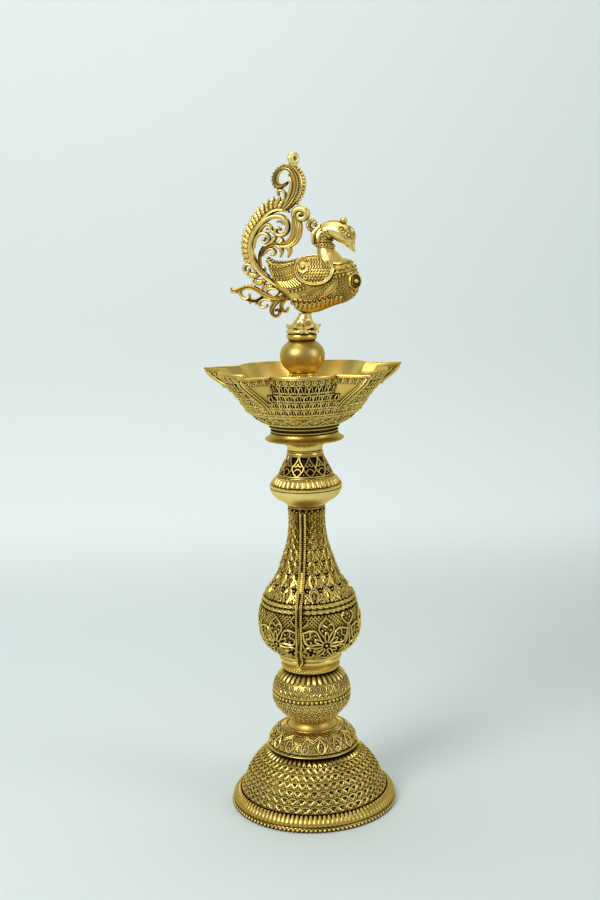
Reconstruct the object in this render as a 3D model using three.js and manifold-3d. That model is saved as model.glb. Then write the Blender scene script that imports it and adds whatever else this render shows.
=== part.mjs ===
// Peacock oil lamp: a turned and cast brass lamp in five screwed sections, with a
// five-spouted oil bowl and a peacock finial. Millimetres, +Z up, the peacock faces +X.
// The origin is the centre of the underside, on the surface that the lamp stands on.

import * as THREE from 'three';
import { mergeVertices } from 'three/addons/utils/BufferGeometryUtils.js';
import Module from 'manifold-3d';

const wasm = await Module();
wasm.setup();

// Clearances, walls and the threaded rods that hold the sections together
const SEAT_GAP = 0.3;
const WALL = 1.6;
const ROD_RADIUS = 4;
const ROD_CLEARANCE = 0.3;
const ROD_GRIP = 10;
const NUT_ACROSS_CORNERS = 15;
const NUT_HEIGHT = 6.5;
const WASHER_RADIUS = 9;
const WASHER_THICKNESS = 1.6;

// Foot
const FOOT_RADIUS = 52;
const RIM_HEIGHT = 2.6;
const RIM_WIDTH = 6;
const BASE_SHEET = 1.2;
const BAND_HEIGHT = 6.2;
const BAND_SET_IN = 0.5;
const FOOT_DOME_RADIUS = 43.8;
const FOOT_DOME_HEIGHT = 25.6;
const FOOT_DOME_TOP_RADIUS = 25.6;
const FOOT_DOME_RELIEF = 0.7;
const LIP_RADIUS = 28.2;
const LIP_HEIGHT = 2.2;
const LIP_WIDTH = 6;
const SHOULDER_RADIUS = 27.3;
const SHOULDER_HEIGHT = 11.2;
const SHOULDER_TOP_RADIUS = 16.2;
const FOOT_COLLAR_HEIGHT = 4;
const FOOT_COLLAR_RADIUS = 15.5;
const FOOT_COLLAR_TOP_RADIUS = 12.7;

// Knob
const KNOB_RADIUS = 24.8;
const KNOB_LOWER_HEIGHT = 16;
const KNOB_UPPER_HEIGHT = 13.4;
const KNOB_END_RADIUS = 12.8;
const BEAD_ROW_HEIGHT = 2.2;
const BEAD_ROW_WIDTH = 4.5;
const BEAD_PROUD = 0.9;

// Vase
const VASE_COLLAR_HEIGHT = 11.8;
const VASE_COLLAR_RADIUS = 19.5;
const VASE_COLLAR_FOOT_RADIUS = 15.2;
const BULB_RADIUS = 30.4;
const BULB_HEIGHT = 29.4;
const BULB_BASE_RADIUS = 19.2;
const ROSETTES = 6;
const ROSETTE_RADIUS = 13.6;
const ROSETTE_RELIEF = 0.9;
const ROSETTE_PETALS = 8;
const PETAL_NOTCH = 0.35;
const PETAL_GROOVE = 0.9;
const ROSETTE_ANGLE = -71.5;
const ROSETTE_HEIGHT_SHARE = 0.5;
const ROPE_RADIUS = 29.5;
const ROPE_HEIGHT = 2.8;
const ROPE_WIDTH = 3.2;
const ROPE_STEP_IN = 0.7;
const ROPE_PROUD = 2;
const VASE_NECK_HEIGHT = 55.7;
const VASE_NECK_RADIUS = 10.3;
const STRAP_WIDTH = 3.4;
const STRAP_THICKNESS = 1.2;
const STRAP_ANGLE = -100;
const STRAP_FOOT_SHARE = 0.55;
const STRAP_TOP_SHARE = 0.88;

// Crown ring and lattice
const CROWN_RADIUS = 22.3;
const CROWN_BASE_RADIUS = 11.9;
const CROWN_LOWER_HEIGHT = 10.5;
const RIDGE_HEIGHT = 2.2;
const RIDGE_WIDTH = 4.2;
const RIDGE_PROUD = 0.4;
const CROWN_UPPER_HEIGHT = 5.3;
const LATTICE_BOTTOM_RADIUS = 16.3;
const LATTICE_TOP_RADIUS = 10.8;
const LATTICE_HEIGHT = 12;
const LATTICE_THICKNESS = 1.1;
const LATTICE_WINDOWS = 12;
const WINDOW_WIDTH_SHARE = 0.8;
const WINDOW_HEIGHT_SHARE = 0.72;
const CROWN_COLLAR_RADIUS = 11.2;
const CROWN_COLLAR_HEIGHT = 2.6;
const CROWN_NECK_HEIGHT = 5.5;
const CROWN_NECK_BASE_RADIUS = 10.7;
const CROWN_NECK_RADIUS = 14.8;

// Bowl
const FLANGE_RADIUS = 23.9;
const FLANGE_TOP_RADIUS = 20.5;
const FLANGE_HEIGHT = 4.7;
const BOWL_FOOT_RADIUS = 21.4;
const BOWL_FOOT_WAIST = 19.4;
const BOWL_FOOT_HEIGHT = 5;
const BOWL_BASE_RADIUS = 19.5;
const BOWL_RADIUS = 52;
const BOWL_HEIGHT = 32.5;
const BOWL_WALL = 2;
const BOWL_FLOOR_THICKNESS = 6;
const SPOUTS = 5;
const SPOUT_REACH = 63.9;
const SPOUT_HALF_ANGLE = 12;
const SPOUT_ROOT_SHARE = 0.894;
const PANEL_THICKNESS = 1.2;
const PANEL_HALF_ANGLE = 22;
const KEEL_WIDTH = 3;
const KEEL_THICKNESS = 1.2;

// Finial below the peacock
const FINIAL_ROD_RADIUS = 2.2;
const FINIAL_NECK_RADIUS = 7;
const FINIAL_NECK_HEIGHT = 21.9;
const FINIAL_BEAD_RADIUS = 8.7;
const FINIAL_BEAD_HEIGHT = 2.4;
const BALL_RADIUS = 13.4;
const BALL_HEIGHT = 18.9;
const BALL_MOUTH_RADIUS = 7.7;
const FINIAL_RING_RADIUS = 9.2;
const FINIAL_RING_HEIGHT = 4.2;
const LEAF_CUP_HEIGHT = 11.4;
const LEAF_TIP_RADIUS = 10.4;
const LEAF_COUNT = 6;
const STEM_LEAN = 2.4;
const PEG_RADIUS = 2;
const PEG_HEIGHT = 3;

// Peacock. It is drawn as it shows from the front, and then turned towards the front. Its curves
// are drawn in millimetres for one height, and follow when the height changes
const PEACOCK_HEIGHT = 94;
const DRAWN_HEIGHT = 94;
const CURVE_SCALE = PEACOCK_HEIGHT / DRAWN_HEIGHT;
const SCROLL_STEPS = 1.5;
const BIRD_TURN = THREE.MathUtils.degToRad(-20);
const BODY_LENGTH = 54.4;
const BODY_HEIGHT = 33.5;
const BODY_WIDTH = 25;
const BODY_REAR = -19.6;
const RELIEF_THICKNESS = 1.5;
const WING_LENGTH = 22.4;
const WING_HEIGHT = 17;
const WING_X_SHARE = 0.513;
const WING_Z_SHARE = 0.758;
const WING_INSET = 3.8;
const BOSS_RADIUS = 5;
const BOSS_TURN = THREE.MathUtils.degToRad(-27);
const BOSS_X_SHARE = 0.825;
const BOSS_Z_SHARE = 0.558;
const BOSS_STUD_RADIUS = 1.6;
const NECK_RADIUS = 4.65;
const HEAD_RADIUS = 5.1;
const NECKLACE_THICKNESS = 1;
const CREST_KNOB_RADIUS = 1.95;
const CREST_KNOB_HEIGHT = 6.3;
const CREST_X = 26.1;
const CREST_FOOT = 49.3;
const CREST_CURL_DEPTH = 2.2;
const PLUME_DEPTH = 5.4;
const SCROLL_DEPTH = 4.3;
const OUTER_LEAF_DEPTH = 3.6;
const LOOP_RADIUS = 4.1;
const LOOP_WIRE_RADIUS = 1.6;
const LOOP_FOOT_RADIUS = 2.2;
const LOOP_X = -2.1;
const LOOP_TURN = THREE.MathUtils.degToRad(65);

// Facets round the turned pieces, and sides of the round rods
const FACETS_LARGE = 32;
const FACETS_SMALL = 20;
const FACETS_ROD = 10;
const FACETS_DOME = 48;
const FACETS_BULB = 60;
const BULB_ROWS = 10;

const BORE = ROD_RADIUS + ROD_CLEARANCE;
const FINIAL_BORE = FINIAL_ROD_RADIUS + ROD_CLEARANCE;

// Finishes
const BRASS = { color: 0xb08a3a, roughness: 0.34, metalness: 1 };
const BRIGHT_BRASS = { color: 0xc9a24a, roughness: 0.22, metalness: 1 };
const DARK_BRASS = { color: 0x2a2014, roughness: 0.7, metalness: 0.4 };
const STEEL = { color: 0x9a9a96, roughness: 0.4, metalness: 1 };
const FIBRE = { color: 0x6a4a32, roughness: 0.9, metalness: 0 };

const lamp = new THREE.Group();

function addPiece(name, geometry, finish) {
  const mesh = new THREE.Mesh(geometry, new THREE.MeshStandardMaterial(finish));
  mesh.name = name;
  lamp.add(mesh);
}

// Joins the vertices that coincide and drops the triangles that this closes up
function weld(geometry) {
  geometry.deleteAttribute('normal');
  geometry.deleteAttribute('uv');
  const merged = mergeVertices(geometry, 1e-3);
  const corners = merged.index.array;
  const kept = [];
  for (let i = 0; i < corners.length; i += 3) {
    const [a, b, c] = [corners[i], corners[i + 1], corners[i + 2]];
    if (a !== b && b !== c && c !== a) kept.push(a, b, c);
  }
  merged.setIndex(kept);
  return merged;
}

function toSolid(geometry) {
  const welded = weld(geometry);
  return new wasm.Manifold(new wasm.Mesh({
    numProp: 3,
    vertProperties: new Float32Array(welded.attributes.position.array),
    triVerts: new Uint32Array(welded.index.array),
  }));
}

function toGeometry(solid) {
  const mesh = solid.getMesh();
  const geometry = new THREE.BufferGeometry();
  geometry.setAttribute('position', new THREE.BufferAttribute(mesh.vertProperties, 3));
  geometry.setIndex(new THREE.BufferAttribute(mesh.triVerts, 1));
  return geometry;
}

// A value read from a list at a share of its length, straight between entries
function valueAt(list, share) {
  const place = share * (list.length - 1);
  const before = Math.min(Math.floor(place), list.length - 2);
  return list[before] + (list[before + 1] - list[before]) * (place - before);
}

// Spins a closed profile of [radius, height] pairs about the lamp's axis
function turned(profile, facets) {
  let area = 0;
  profile.forEach(([r, z], i) => {
    const [nextR, nextZ] = profile[(i + 1) % profile.length];
    area += r * nextZ - nextR * z;
  });
  const ordered = area > 0 ? [...profile] : [...profile].reverse();
  ordered.push(ordered[0]);
  const outline = ordered.map(([r, z]) => new THREE.Vector2(r, z));
  return weld(new THREE.LatheGeometry(outline, facets).rotateX(Math.PI / 2));
}

// Fits a form, drawn in shares of its width and height, between two radii and heights
function fitted(form, radiusA, radiusB, bottom, top) {
  return form.map(([u, v]) => [radiusA + u * (radiusB - radiusA), bottom + v * (top - bottom)]);
}

// Moves an outline that runs upwards away from its outer side, square to itself
function inset(outline, distance) {
  return outline.map(([r, z], i) => {
    const [rBelow, zBelow] = outline[Math.max(i - 1, 0)];
    const [rAbove, zAbove] = outline[Math.min(i + 1, outline.length - 1)];
    const length = Math.hypot(rAbove - rBelow, zAbove - zBelow);
    return [r - distance * (zAbove - zBelow) / length, z + distance * (rAbove - rBelow) / length];
  });
}

// The outline of a hollow piece. An end with a bore is closed by a flat web, an end without is
// open. The inside is cast plainer than the outside, through every other point of its outline
function shellProfile(outline, { bottomBore, topBore }) {
  const bottom = outline[0][1];
  const top = outline[outline.length - 1][1];
  const lowest = bottomBore ? bottom + WALL : bottom;
  const highest = topBore ? top - WALL : top;
  const inner = inset(outline, WALL).map(([r, z]) => [r, Math.min(Math.max(z, lowest), highest)]);
  inner[0][1] = lowest;
  inner[inner.length - 1][1] = highest;
  const inside = inner.filter((point, i) => i % 2 === 0 || i === inner.length - 1);
  const profile = [...outline];
  if (topBore) profile.push([topBore, top], [topBore, highest]);
  profile.push(...inside.reverse());
  if (bottomBore) profile.push([bottomBore, lowest], [bottomBore, bottom]);
  return profile;
}

// A hollow turned piece
function shell(outline, facets, bores) {
  return turned(shellProfile(outline, bores), facets);
}

function polar(radius, angle, z) {
  return [radius * Math.cos(angle), radius * Math.sin(angle), z];
}

function meshOf(points, triangles) {
  const geometry = new THREE.BufferGeometry();
  geometry.setAttribute('position', new THREE.Float32BufferAttribute(points.flat(), 3));
  geometry.setIndex(triangles);
  return geometry;
}

// A closed skin through rows of points, each row closed and the last row joined to the first
function wrapped(rows) {
  const count = rows[0].length;
  const triangles = [];
  rows.forEach((row, j) => {
    const next = (j + 1) % rows.length;
    row.forEach((point, i) => {
      const right = (i + 1) % count;
      const [a, b] = [j * count + i, j * count + right];
      const [c, d] = [next * count + right, next * count + i];
      triangles.push(a, b, c, a, c, d);
    });
  });
  return weld(meshOf(rows.flat(), triangles));
}

// A hollow turned piece with relief. The lift is asked for at each point of the outside, by its
// angle, its height, and its numbers around and up
function raisedShell(outline, facets, bores, liftAt) {
  const proud = inset(outline, -1);
  const rows = shellProfile(outline, bores).map(([r, z], up) => {
    const [outR, outZ] = up < outline.length ? proud[up] : [r, z];
    const row = [];
    for (let around = 0; around < facets; around++) {
      const angle = 2 * Math.PI * around / facets;
      const lift = up < outline.length ? liftAt(angle, z, around, up) : 0;
      row.push(polar(r + lift * (outR - r), angle, z + lift * (outZ - z)));
    }
    return row;
  });
  return wrapped(rows);
}

// A solid turned ring round a bore
function ring(outline, bore, facets) {
  const bottom = outline[0][1];
  const top = outline[outline.length - 1][1];
  return turned([...outline, [bore, top], [bore, bottom]], facets);
}

function rod(radius, bottom, top) {
  return turned([[0, bottom], [radius, bottom], [radius, top], [0, top]], FACETS_ROD);
}

// A ring whose outer side is rounded, as for a rope, a ridge or a row of beads
function roundedRing(radius, width, bottom, height, facets) {
  const round = Math.min(height, width) / 3;
  const top = bottom + height;
  const side = [
    [radius - round, bottom],
    [radius, bottom + round],
    [radius, top - round],
    [radius - round, top],
  ];
  return ring(side, radius - width, facets);
}

// Heights at which the pieces seat, worked out from the bottom upwards
const Z_BAND = RIM_HEIGHT + SEAT_GAP;
const Z_FOOT_DOME = Z_BAND + BAND_HEIGHT + SEAT_GAP;
const Z_LIP = Z_FOOT_DOME + FOOT_DOME_HEIGHT + SEAT_GAP;
const Z_SHOULDER = Z_LIP + LIP_HEIGHT + SEAT_GAP;
const Z_FOOT_COLLAR = Z_SHOULDER + SHOULDER_HEIGHT + SEAT_GAP;
const Z_KNOB = Z_FOOT_COLLAR + FOOT_COLLAR_HEIGHT + SEAT_GAP;
const Z_BEAD_ROW = Z_KNOB + KNOB_LOWER_HEIGHT + SEAT_GAP;
const Z_KNOB_UPPER = Z_BEAD_ROW + BEAD_ROW_HEIGHT + SEAT_GAP;
const Z_VASE = Z_KNOB_UPPER + KNOB_UPPER_HEIGHT + SEAT_GAP;
const Z_BULB = Z_VASE + VASE_COLLAR_HEIGHT + SEAT_GAP;
const Z_ROPE_LOWER = Z_BULB + BULB_HEIGHT + SEAT_GAP;
const Z_ROPE_UPPER = Z_ROPE_LOWER + ROPE_HEIGHT + SEAT_GAP;
const Z_VASE_NECK = Z_ROPE_UPPER + ROPE_HEIGHT + SEAT_GAP;
const Z_CROWN = Z_VASE_NECK + VASE_NECK_HEIGHT + SEAT_GAP;
const Z_RIDGE = Z_CROWN + CROWN_LOWER_HEIGHT + SEAT_GAP;
const Z_CROWN_UPPER = Z_RIDGE + RIDGE_HEIGHT + SEAT_GAP;
const Z_LATTICE = Z_CROWN_UPPER + CROWN_UPPER_HEIGHT + SEAT_GAP;
const Z_CROWN_COLLAR = Z_LATTICE + LATTICE_HEIGHT + SEAT_GAP;
const Z_CROWN_NECK = Z_CROWN_COLLAR + CROWN_COLLAR_HEIGHT + SEAT_GAP;
const Z_FLANGE = Z_CROWN_NECK + CROWN_NECK_HEIGHT + SEAT_GAP;
const Z_BOWL_FOOT = Z_FLANGE + FLANGE_HEIGHT + SEAT_GAP;
const Z_BOWL = Z_BOWL_FOOT + BOWL_FOOT_HEIGHT + SEAT_GAP;
const Z_SEAL = Z_BOWL + BOWL_FLOOR_THICKNESS + SEAT_GAP;
const Z_FINIAL = Z_SEAL + WASHER_THICKNESS + SEAT_GAP;
const Z_BALL = Z_FINIAL + FINIAL_NECK_HEIGHT + SEAT_GAP;
const Z_FINIAL_RING = Z_BALL + BALL_HEIGHT + SEAT_GAP;
const Z_LEAF_CUP = Z_FINIAL_RING + FINIAL_RING_HEIGHT + SEAT_GAP;
const Z_PEACOCK = Z_LEAF_CUP + LEAF_CUP_HEIGHT + SEAT_GAP;

// Forms of the turned pieces, in shares of their change of radius and their height
const BAND_FORM = [[0, 0], [0, 0.34], [0.14, 0.53], [0.45, 0.77], [0.9, 1]];
const FOOT_DOME_FORM = [
  [0, 0], [0.07, 0.21], [0.18, 0.42], [0.4, 0.65], [0.65, 0.84], [0.86, 0.97], [1, 1],
];
const SHOULDER_FORM = [[0, 0], [0, 0.18], [0.18, 0.52], [0.44, 0.77], [0.73, 0.92], [1, 1]];
const FOOT_COLLAR_FORM = [[0, 0], [0.39, 0.23], [0.79, 0.55], [1, 1]];
const KNOB_LOWER_FORM = [
  [0, 0], [0.2, 0.12], [0.48, 0.32], [0.73, 0.51], [0.92, 0.7], [0.99, 0.87], [1, 1],
];
const KNOB_UPPER_FORM = [
  [0, 0], [0.02, 0.21], [0.14, 0.48], [0.38, 0.71], [0.64, 0.88], [0.86, 0.97], [1, 1],
];
const VASE_COLLAR_FORM = [
  [0, 0], [0.56, 0.1], [0.56, 0.3], [0.42, 0.36], [0.51, 0.45], [0.93, 0.6], [0.98, 0.7],
  [0.86, 0.77], [1, 0.92], [0.93, 1],
];
const BULB_FORM = [
  [0, 0], [0.35, 0.09], [0.73, 0.24], [0.94, 0.42], [1, 0.6], [0.965, 0.81], [0.87, 1],
];
const VASE_NECK_FORM = [
  [0, 0], [0.152, 0.065], [0.376, 0.16], [0.558, 0.26], [0.709, 0.4], [0.867, 0.537],
  [0.945, 0.645], [0.994, 0.77], [1, 0.88], [0.97, 1],
];
const CROWN_LOWER_FORM = [
  [0, 0], [0.1, 0.1], [0.31, 0.24], [0.6, 0.4], [0.83, 0.6], [0.95, 0.81], [1, 1],
];
const CROWN_UPPER_FORM = [[0.14, 0], [0.32, 0.42], [0.48, 0.66], [0.73, 0.83], [0.93, 0.9], [1, 1]];
const LATTICE_FORM = [[0, 0], [0.15, 0.18], [0.42, 0.45], [0.73, 0.72], [1, 1]];
const CROWN_NECK_FORM = [[0, 0], [0.05, 0.22], [0.22, 0.51], [0.59, 0.8], [1, 1]];
const FLANGE_FORM = [
  [0.85, 0], [0.2, 0.04], [0, 0.15], [0, 0.26], [0.3, 0.38], [0.68, 0.55], [0.94, 0.81], [1, 1],
];
const BOWL_FOOT_FORM = [
  [0.75, 0], [0.4, 0.12], [0.4, 0.26], [1, 0.38], [1, 0.46], [0.1, 0.6], [0, 0.74], [0.4, 0.86],
  [0.4, 1],
];

const ROPE_SEAT_RADIUS = ROPE_RADIUS - ROPE_STEP_IN - ROPE_PROUD;
const BULB_CURVE = new THREE.SplineCurve(
  fitted(BULB_FORM, BULB_BASE_RADIUS, BULB_RADIUS, Z_BULB, Z_BULB + BULB_HEIGHT)
    .map(([r, z]) => new THREE.Vector2(r, z)),
);
const BULB_OUTLINE = BULB_CURVE.getPoints(BULB_ROWS).map(({ x, y }) => [x, y]);
const VASE_NECK_OUTLINE = fitted(
  VASE_NECK_FORM, ROPE_SEAT_RADIUS, VASE_NECK_RADIUS, Z_VASE_NECK,
  Z_VASE_NECK + VASE_NECK_HEIGHT,
);

// The domed foot, closed underneath by a flat sheet that is let into its rim
function addFoot() {
  const sheetRadius = FOOT_RADIUS - RIM_WIDTH - SEAT_GAP;
  const sheet = [[0, 0], [sheetRadius, 0], [sheetRadius, BASE_SHEET], [0, BASE_SHEET]];
  addPiece('foot_base_sheet', turned(sheet, FACETS_LARGE), BRASS);
  const rim = roundedRing(FOOT_RADIUS, RIM_WIDTH, 0, RIM_HEIGHT, FACETS_LARGE);
  addPiece('foot_bead_rim', rim, BRASS);
  const bandRadius = FOOT_RADIUS - BAND_SET_IN;
  const band = fitted(BAND_FORM, bandRadius, FOOT_DOME_RADIUS, Z_BAND, Z_BAND + BAND_HEIGHT);
  const bandSeat = { topBore: FOOT_DOME_RADIUS - 2 * WALL };
  addPiece('foot_gadroon_band', shell(band, FACETS_LARGE, bandSeat), BRASS);
  const dome = fitted(
    FOOT_DOME_FORM, FOOT_DOME_RADIUS, FOOT_DOME_TOP_RADIUS, Z_FOOT_DOME,
    Z_FOOT_DOME + FOOT_DOME_HEIGHT,
  );
  // Rows of scales, one bump to every second facet, set like bricks from row to row
  const scales = (angle, z, around, up) => {
    const inRows = up > 0 && up < dome.length - 2;
    return inRows && (around + up) % 2 === 0 ? FOOT_DOME_RELIEF : 0;
  };
  addPiece('foot_dome', raisedShell(dome, FACETS_DOME, { topBore: BORE }, scales), BRASS);
  const lip = roundedRing(LIP_RADIUS, LIP_WIDTH, Z_LIP, LIP_HEIGHT, FACETS_LARGE);
  addPiece('shoulder_lip_ring', lip, BRASS);
  const shoulder = fitted(
    SHOULDER_FORM, SHOULDER_RADIUS, SHOULDER_TOP_RADIUS, Z_SHOULDER,
    Z_SHOULDER + SHOULDER_HEIGHT,
  );
  addPiece('shoulder_dome', shell(shoulder, FACETS_LARGE, { topBore: BORE }), BRASS);
  const collar = fitted(
    FOOT_COLLAR_FORM, FOOT_COLLAR_RADIUS, FOOT_COLLAR_TOP_RADIUS, Z_FOOT_COLLAR,
    Z_FOOT_COLLAR + FOOT_COLLAR_HEIGHT,
  );
  addPiece('foot_collar', ring(collar, BORE, FACETS_SMALL), BRASS);
}

// The rod, washer and nut that clamp the foot from inside
function addFootFastening() {
  const webUnderside = Z_LIP - SEAT_GAP - WALL;
  const washerTop = webUnderside - SEAT_GAP;
  const washerBottom = washerTop - WASHER_THICKNESS;
  const washer = [[WASHER_RADIUS, washerBottom], [WASHER_RADIUS, washerTop]];
  addPiece('foot_washer', ring(washer, BORE, FACETS_SMALL), STEEL);
  const nutTop = washerBottom - SEAT_GAP;
  const nutBottom = nutTop - NUT_HEIGHT;
  const corner = NUT_ACROSS_CORNERS / 2;
  const hexBore = BORE / Math.cos(Math.PI / 6);
  addPiece('foot_nut', ring([[corner, nutBottom], [corner, nutTop]], hexBore, 6), STEEL);
  addPiece('foot_rod', rod(ROD_RADIUS, nutBottom - ROD_RADIUS / 2, Z_KNOB + ROD_GRIP), STEEL);
}

// The knob: two cast halves with a row of beads between them
function addKnob() {
  const halfRadius = KNOB_RADIUS - BEAD_PROUD;
  const lower = fitted(
    KNOB_LOWER_FORM, KNOB_END_RADIUS, halfRadius, Z_KNOB, Z_KNOB + KNOB_LOWER_HEIGHT,
  );
  addPiece('knob_lower_half', shell(lower, FACETS_SMALL, { bottomBore: BORE }), BRASS);
  const beads = roundedRing(
    KNOB_RADIUS, BEAD_ROW_WIDTH, Z_BEAD_ROW, BEAD_ROW_HEIGHT, FACETS_SMALL,
  );
  addPiece('knob_bead_row', beads, BRASS);
  const upper = fitted(
    KNOB_UPPER_FORM, halfRadius, KNOB_END_RADIUS, Z_KNOB_UPPER,
    Z_KNOB_UPPER + KNOB_UPPER_HEIGHT,
  );
  addPiece('knob_upper_half', shell(upper, FACETS_SMALL, { topBore: BORE }), BRASS);
  addPiece('knob_rod', rod(ROD_RADIUS, Z_VASE - ROD_GRIP, Z_VASE + ROD_GRIP), STEEL);
}

// How far the rosettes on the bulb stand out. Each petal is highest along its middle and reaches
// furthest there. The metal under the seam strap stays plain
function rosetteLift(angle, z) {
  const strapAngle = THREE.MathUtils.degToRad(STRAP_ANGLE);
  const fromStrap = Math.acos(Math.cos(angle - strapAngle)) * BULB_RADIUS;
  const facetWidth = 2 * Math.PI * BULB_RADIUS / FACETS_BULB;
  if (fromStrap < STRAP_WIDTH / 2 + facetWidth) return 0;
  const pitch = 2 * Math.PI / ROSETTES;
  const past = (angle - THREE.MathUtils.degToRad(ROSETTE_ANGLE)) / pitch;
  const across = (past - Math.round(past)) * pitch * BULB_RADIUS;
  const up = z - Z_BULB - ROSETTE_HEIGHT_SHARE * BULB_HEIGHT;
  const petal = (1 + Math.cos(ROSETTE_PETALS * Math.atan2(across, up))) / 2;
  const edge = ROSETTE_RADIUS * (1 - PETAL_NOTCH * (1 - petal));
  const rise = ROSETTE_RELIEF * (1 - PETAL_GROOVE * (1 - petal));
  return Math.hypot(across, up) < edge ? rise : 0;
}

// The vase: a collar, the round bulb, two rope bands and the long tapering neck
function addVase() {
  const collar = fitted(
    VASE_COLLAR_FORM, VASE_COLLAR_FOOT_RADIUS, VASE_COLLAR_RADIUS, Z_VASE,
    Z_VASE + VASE_COLLAR_HEIGHT,
  );
  addPiece('vase_collar', ring(collar, BORE, FACETS_SMALL), BRASS);
  const bulb = raisedShell(BULB_OUTLINE, FACETS_BULB, { bottomBore: BORE }, rosetteLift);
  addPiece('vase_bulb', bulb, BRASS);
  const lower = roundedRing(ROPE_RADIUS, ROPE_WIDTH, Z_ROPE_LOWER, ROPE_HEIGHT, FACETS_SMALL);
  addPiece('rope_band_lower', lower, BRASS);
  const upperRadius = ROPE_RADIUS - ROPE_STEP_IN;
  const upper = roundedRing(upperRadius, ROPE_WIDTH, Z_ROPE_UPPER, ROPE_HEIGHT, FACETS_SMALL);
  addPiece('rope_band_upper', upper, BRASS);
  addPiece('vase_neck', shell(VASE_NECK_OUTLINE, FACETS_SMALL, { topBore: BORE }), BRASS);
  addPiece('vase_rod', rod(ROD_RADIUS, Z_CROWN - ROD_GRIP, Z_CROWN + ROD_GRIP), STEEL);
}

// The strap that covers the seam: it runs down the neck, over the ropes and the bulb
function addSeamStrap() {
  const strapTop = Z_VASE_NECK + VASE_NECK_HEIGHT * STRAP_TOP_SHARE;
  const ropeEdge = Math.min(ROPE_HEIGHT, ROPE_WIDTH) / 3;
  const line = [
    [VASE_COLLAR_RADIUS, Z_VASE + VASE_COLLAR_HEIGHT * STRAP_FOOT_SHARE],
    [VASE_COLLAR_RADIUS, Z_BULB - SEAT_GAP],
    ...BULB_OUTLINE.slice(1, -1),
    [ROPE_RADIUS, Z_ROPE_LOWER + ropeEdge],
    [ROPE_RADIUS, Z_ROPE_LOWER + ROPE_HEIGHT - ropeEdge],
    [ROPE_RADIUS - ROPE_STEP_IN, Z_ROPE_UPPER + ROPE_HEIGHT - ropeEdge + SEAT_GAP],
    ...VASE_NECK_OUTLINE.slice(1, -1).filter(([, z]) => z < strapTop - STRAP_WIDTH),
    [VASE_NECK_RADIUS, strapTop],
  ];
  const under = inset(line, -SEAT_GAP);
  const over = inset(line, -SEAT_GAP - STRAP_THICKNESS);
  const outline = [...over, ...under.reverse()].map(([r, z]) => new THREE.Vector2(r, z));
  const strap = new THREE.ExtrudeGeometry(new THREE.Shape(outline), {
    depth: STRAP_WIDTH,
    bevelEnabled: false,
  });
  strap.rotateX(Math.PI / 2);
  strap.translate(0, STRAP_WIDTH / 2, 0);
  strap.rotateZ(THREE.MathUtils.degToRad(STRAP_ANGLE));
  addPiece('seam_strap', weld(strap), BRASS);
}

// One window of the lattice: a pointed leaf shape, cut straight through the cage
function latticeWindow(angle) {
  const halfWidth = Math.PI * LATTICE_TOP_RADIUS / LATTICE_WINDOWS * WINDOW_WIDTH_SHARE;
  const halfHeight = LATTICE_HEIGHT / 2 * WINDOW_HEIGHT_SHARE;
  const outline = [
    [0, -1], [1, -0.3], [0.7, 0.4], [0, 1], [-0.7, 0.4], [-1, -0.3],
  ].map(([x, y]) => new THREE.Vector2(x * halfWidth, y * halfHeight));
  const prism = new THREE.ExtrudeGeometry(new THREE.Shape(outline), {
    depth: LATTICE_BOTTOM_RADIUS,
    bevelEnabled: false,
  });
  prism.rotateX(Math.PI / 2);
  prism.translate(0, -LATTICE_TOP_RADIUS / 2, Z_LATTICE + LATTICE_HEIGHT / 2);
  prism.rotateZ(angle);
  return toSolid(prism);
}

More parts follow.
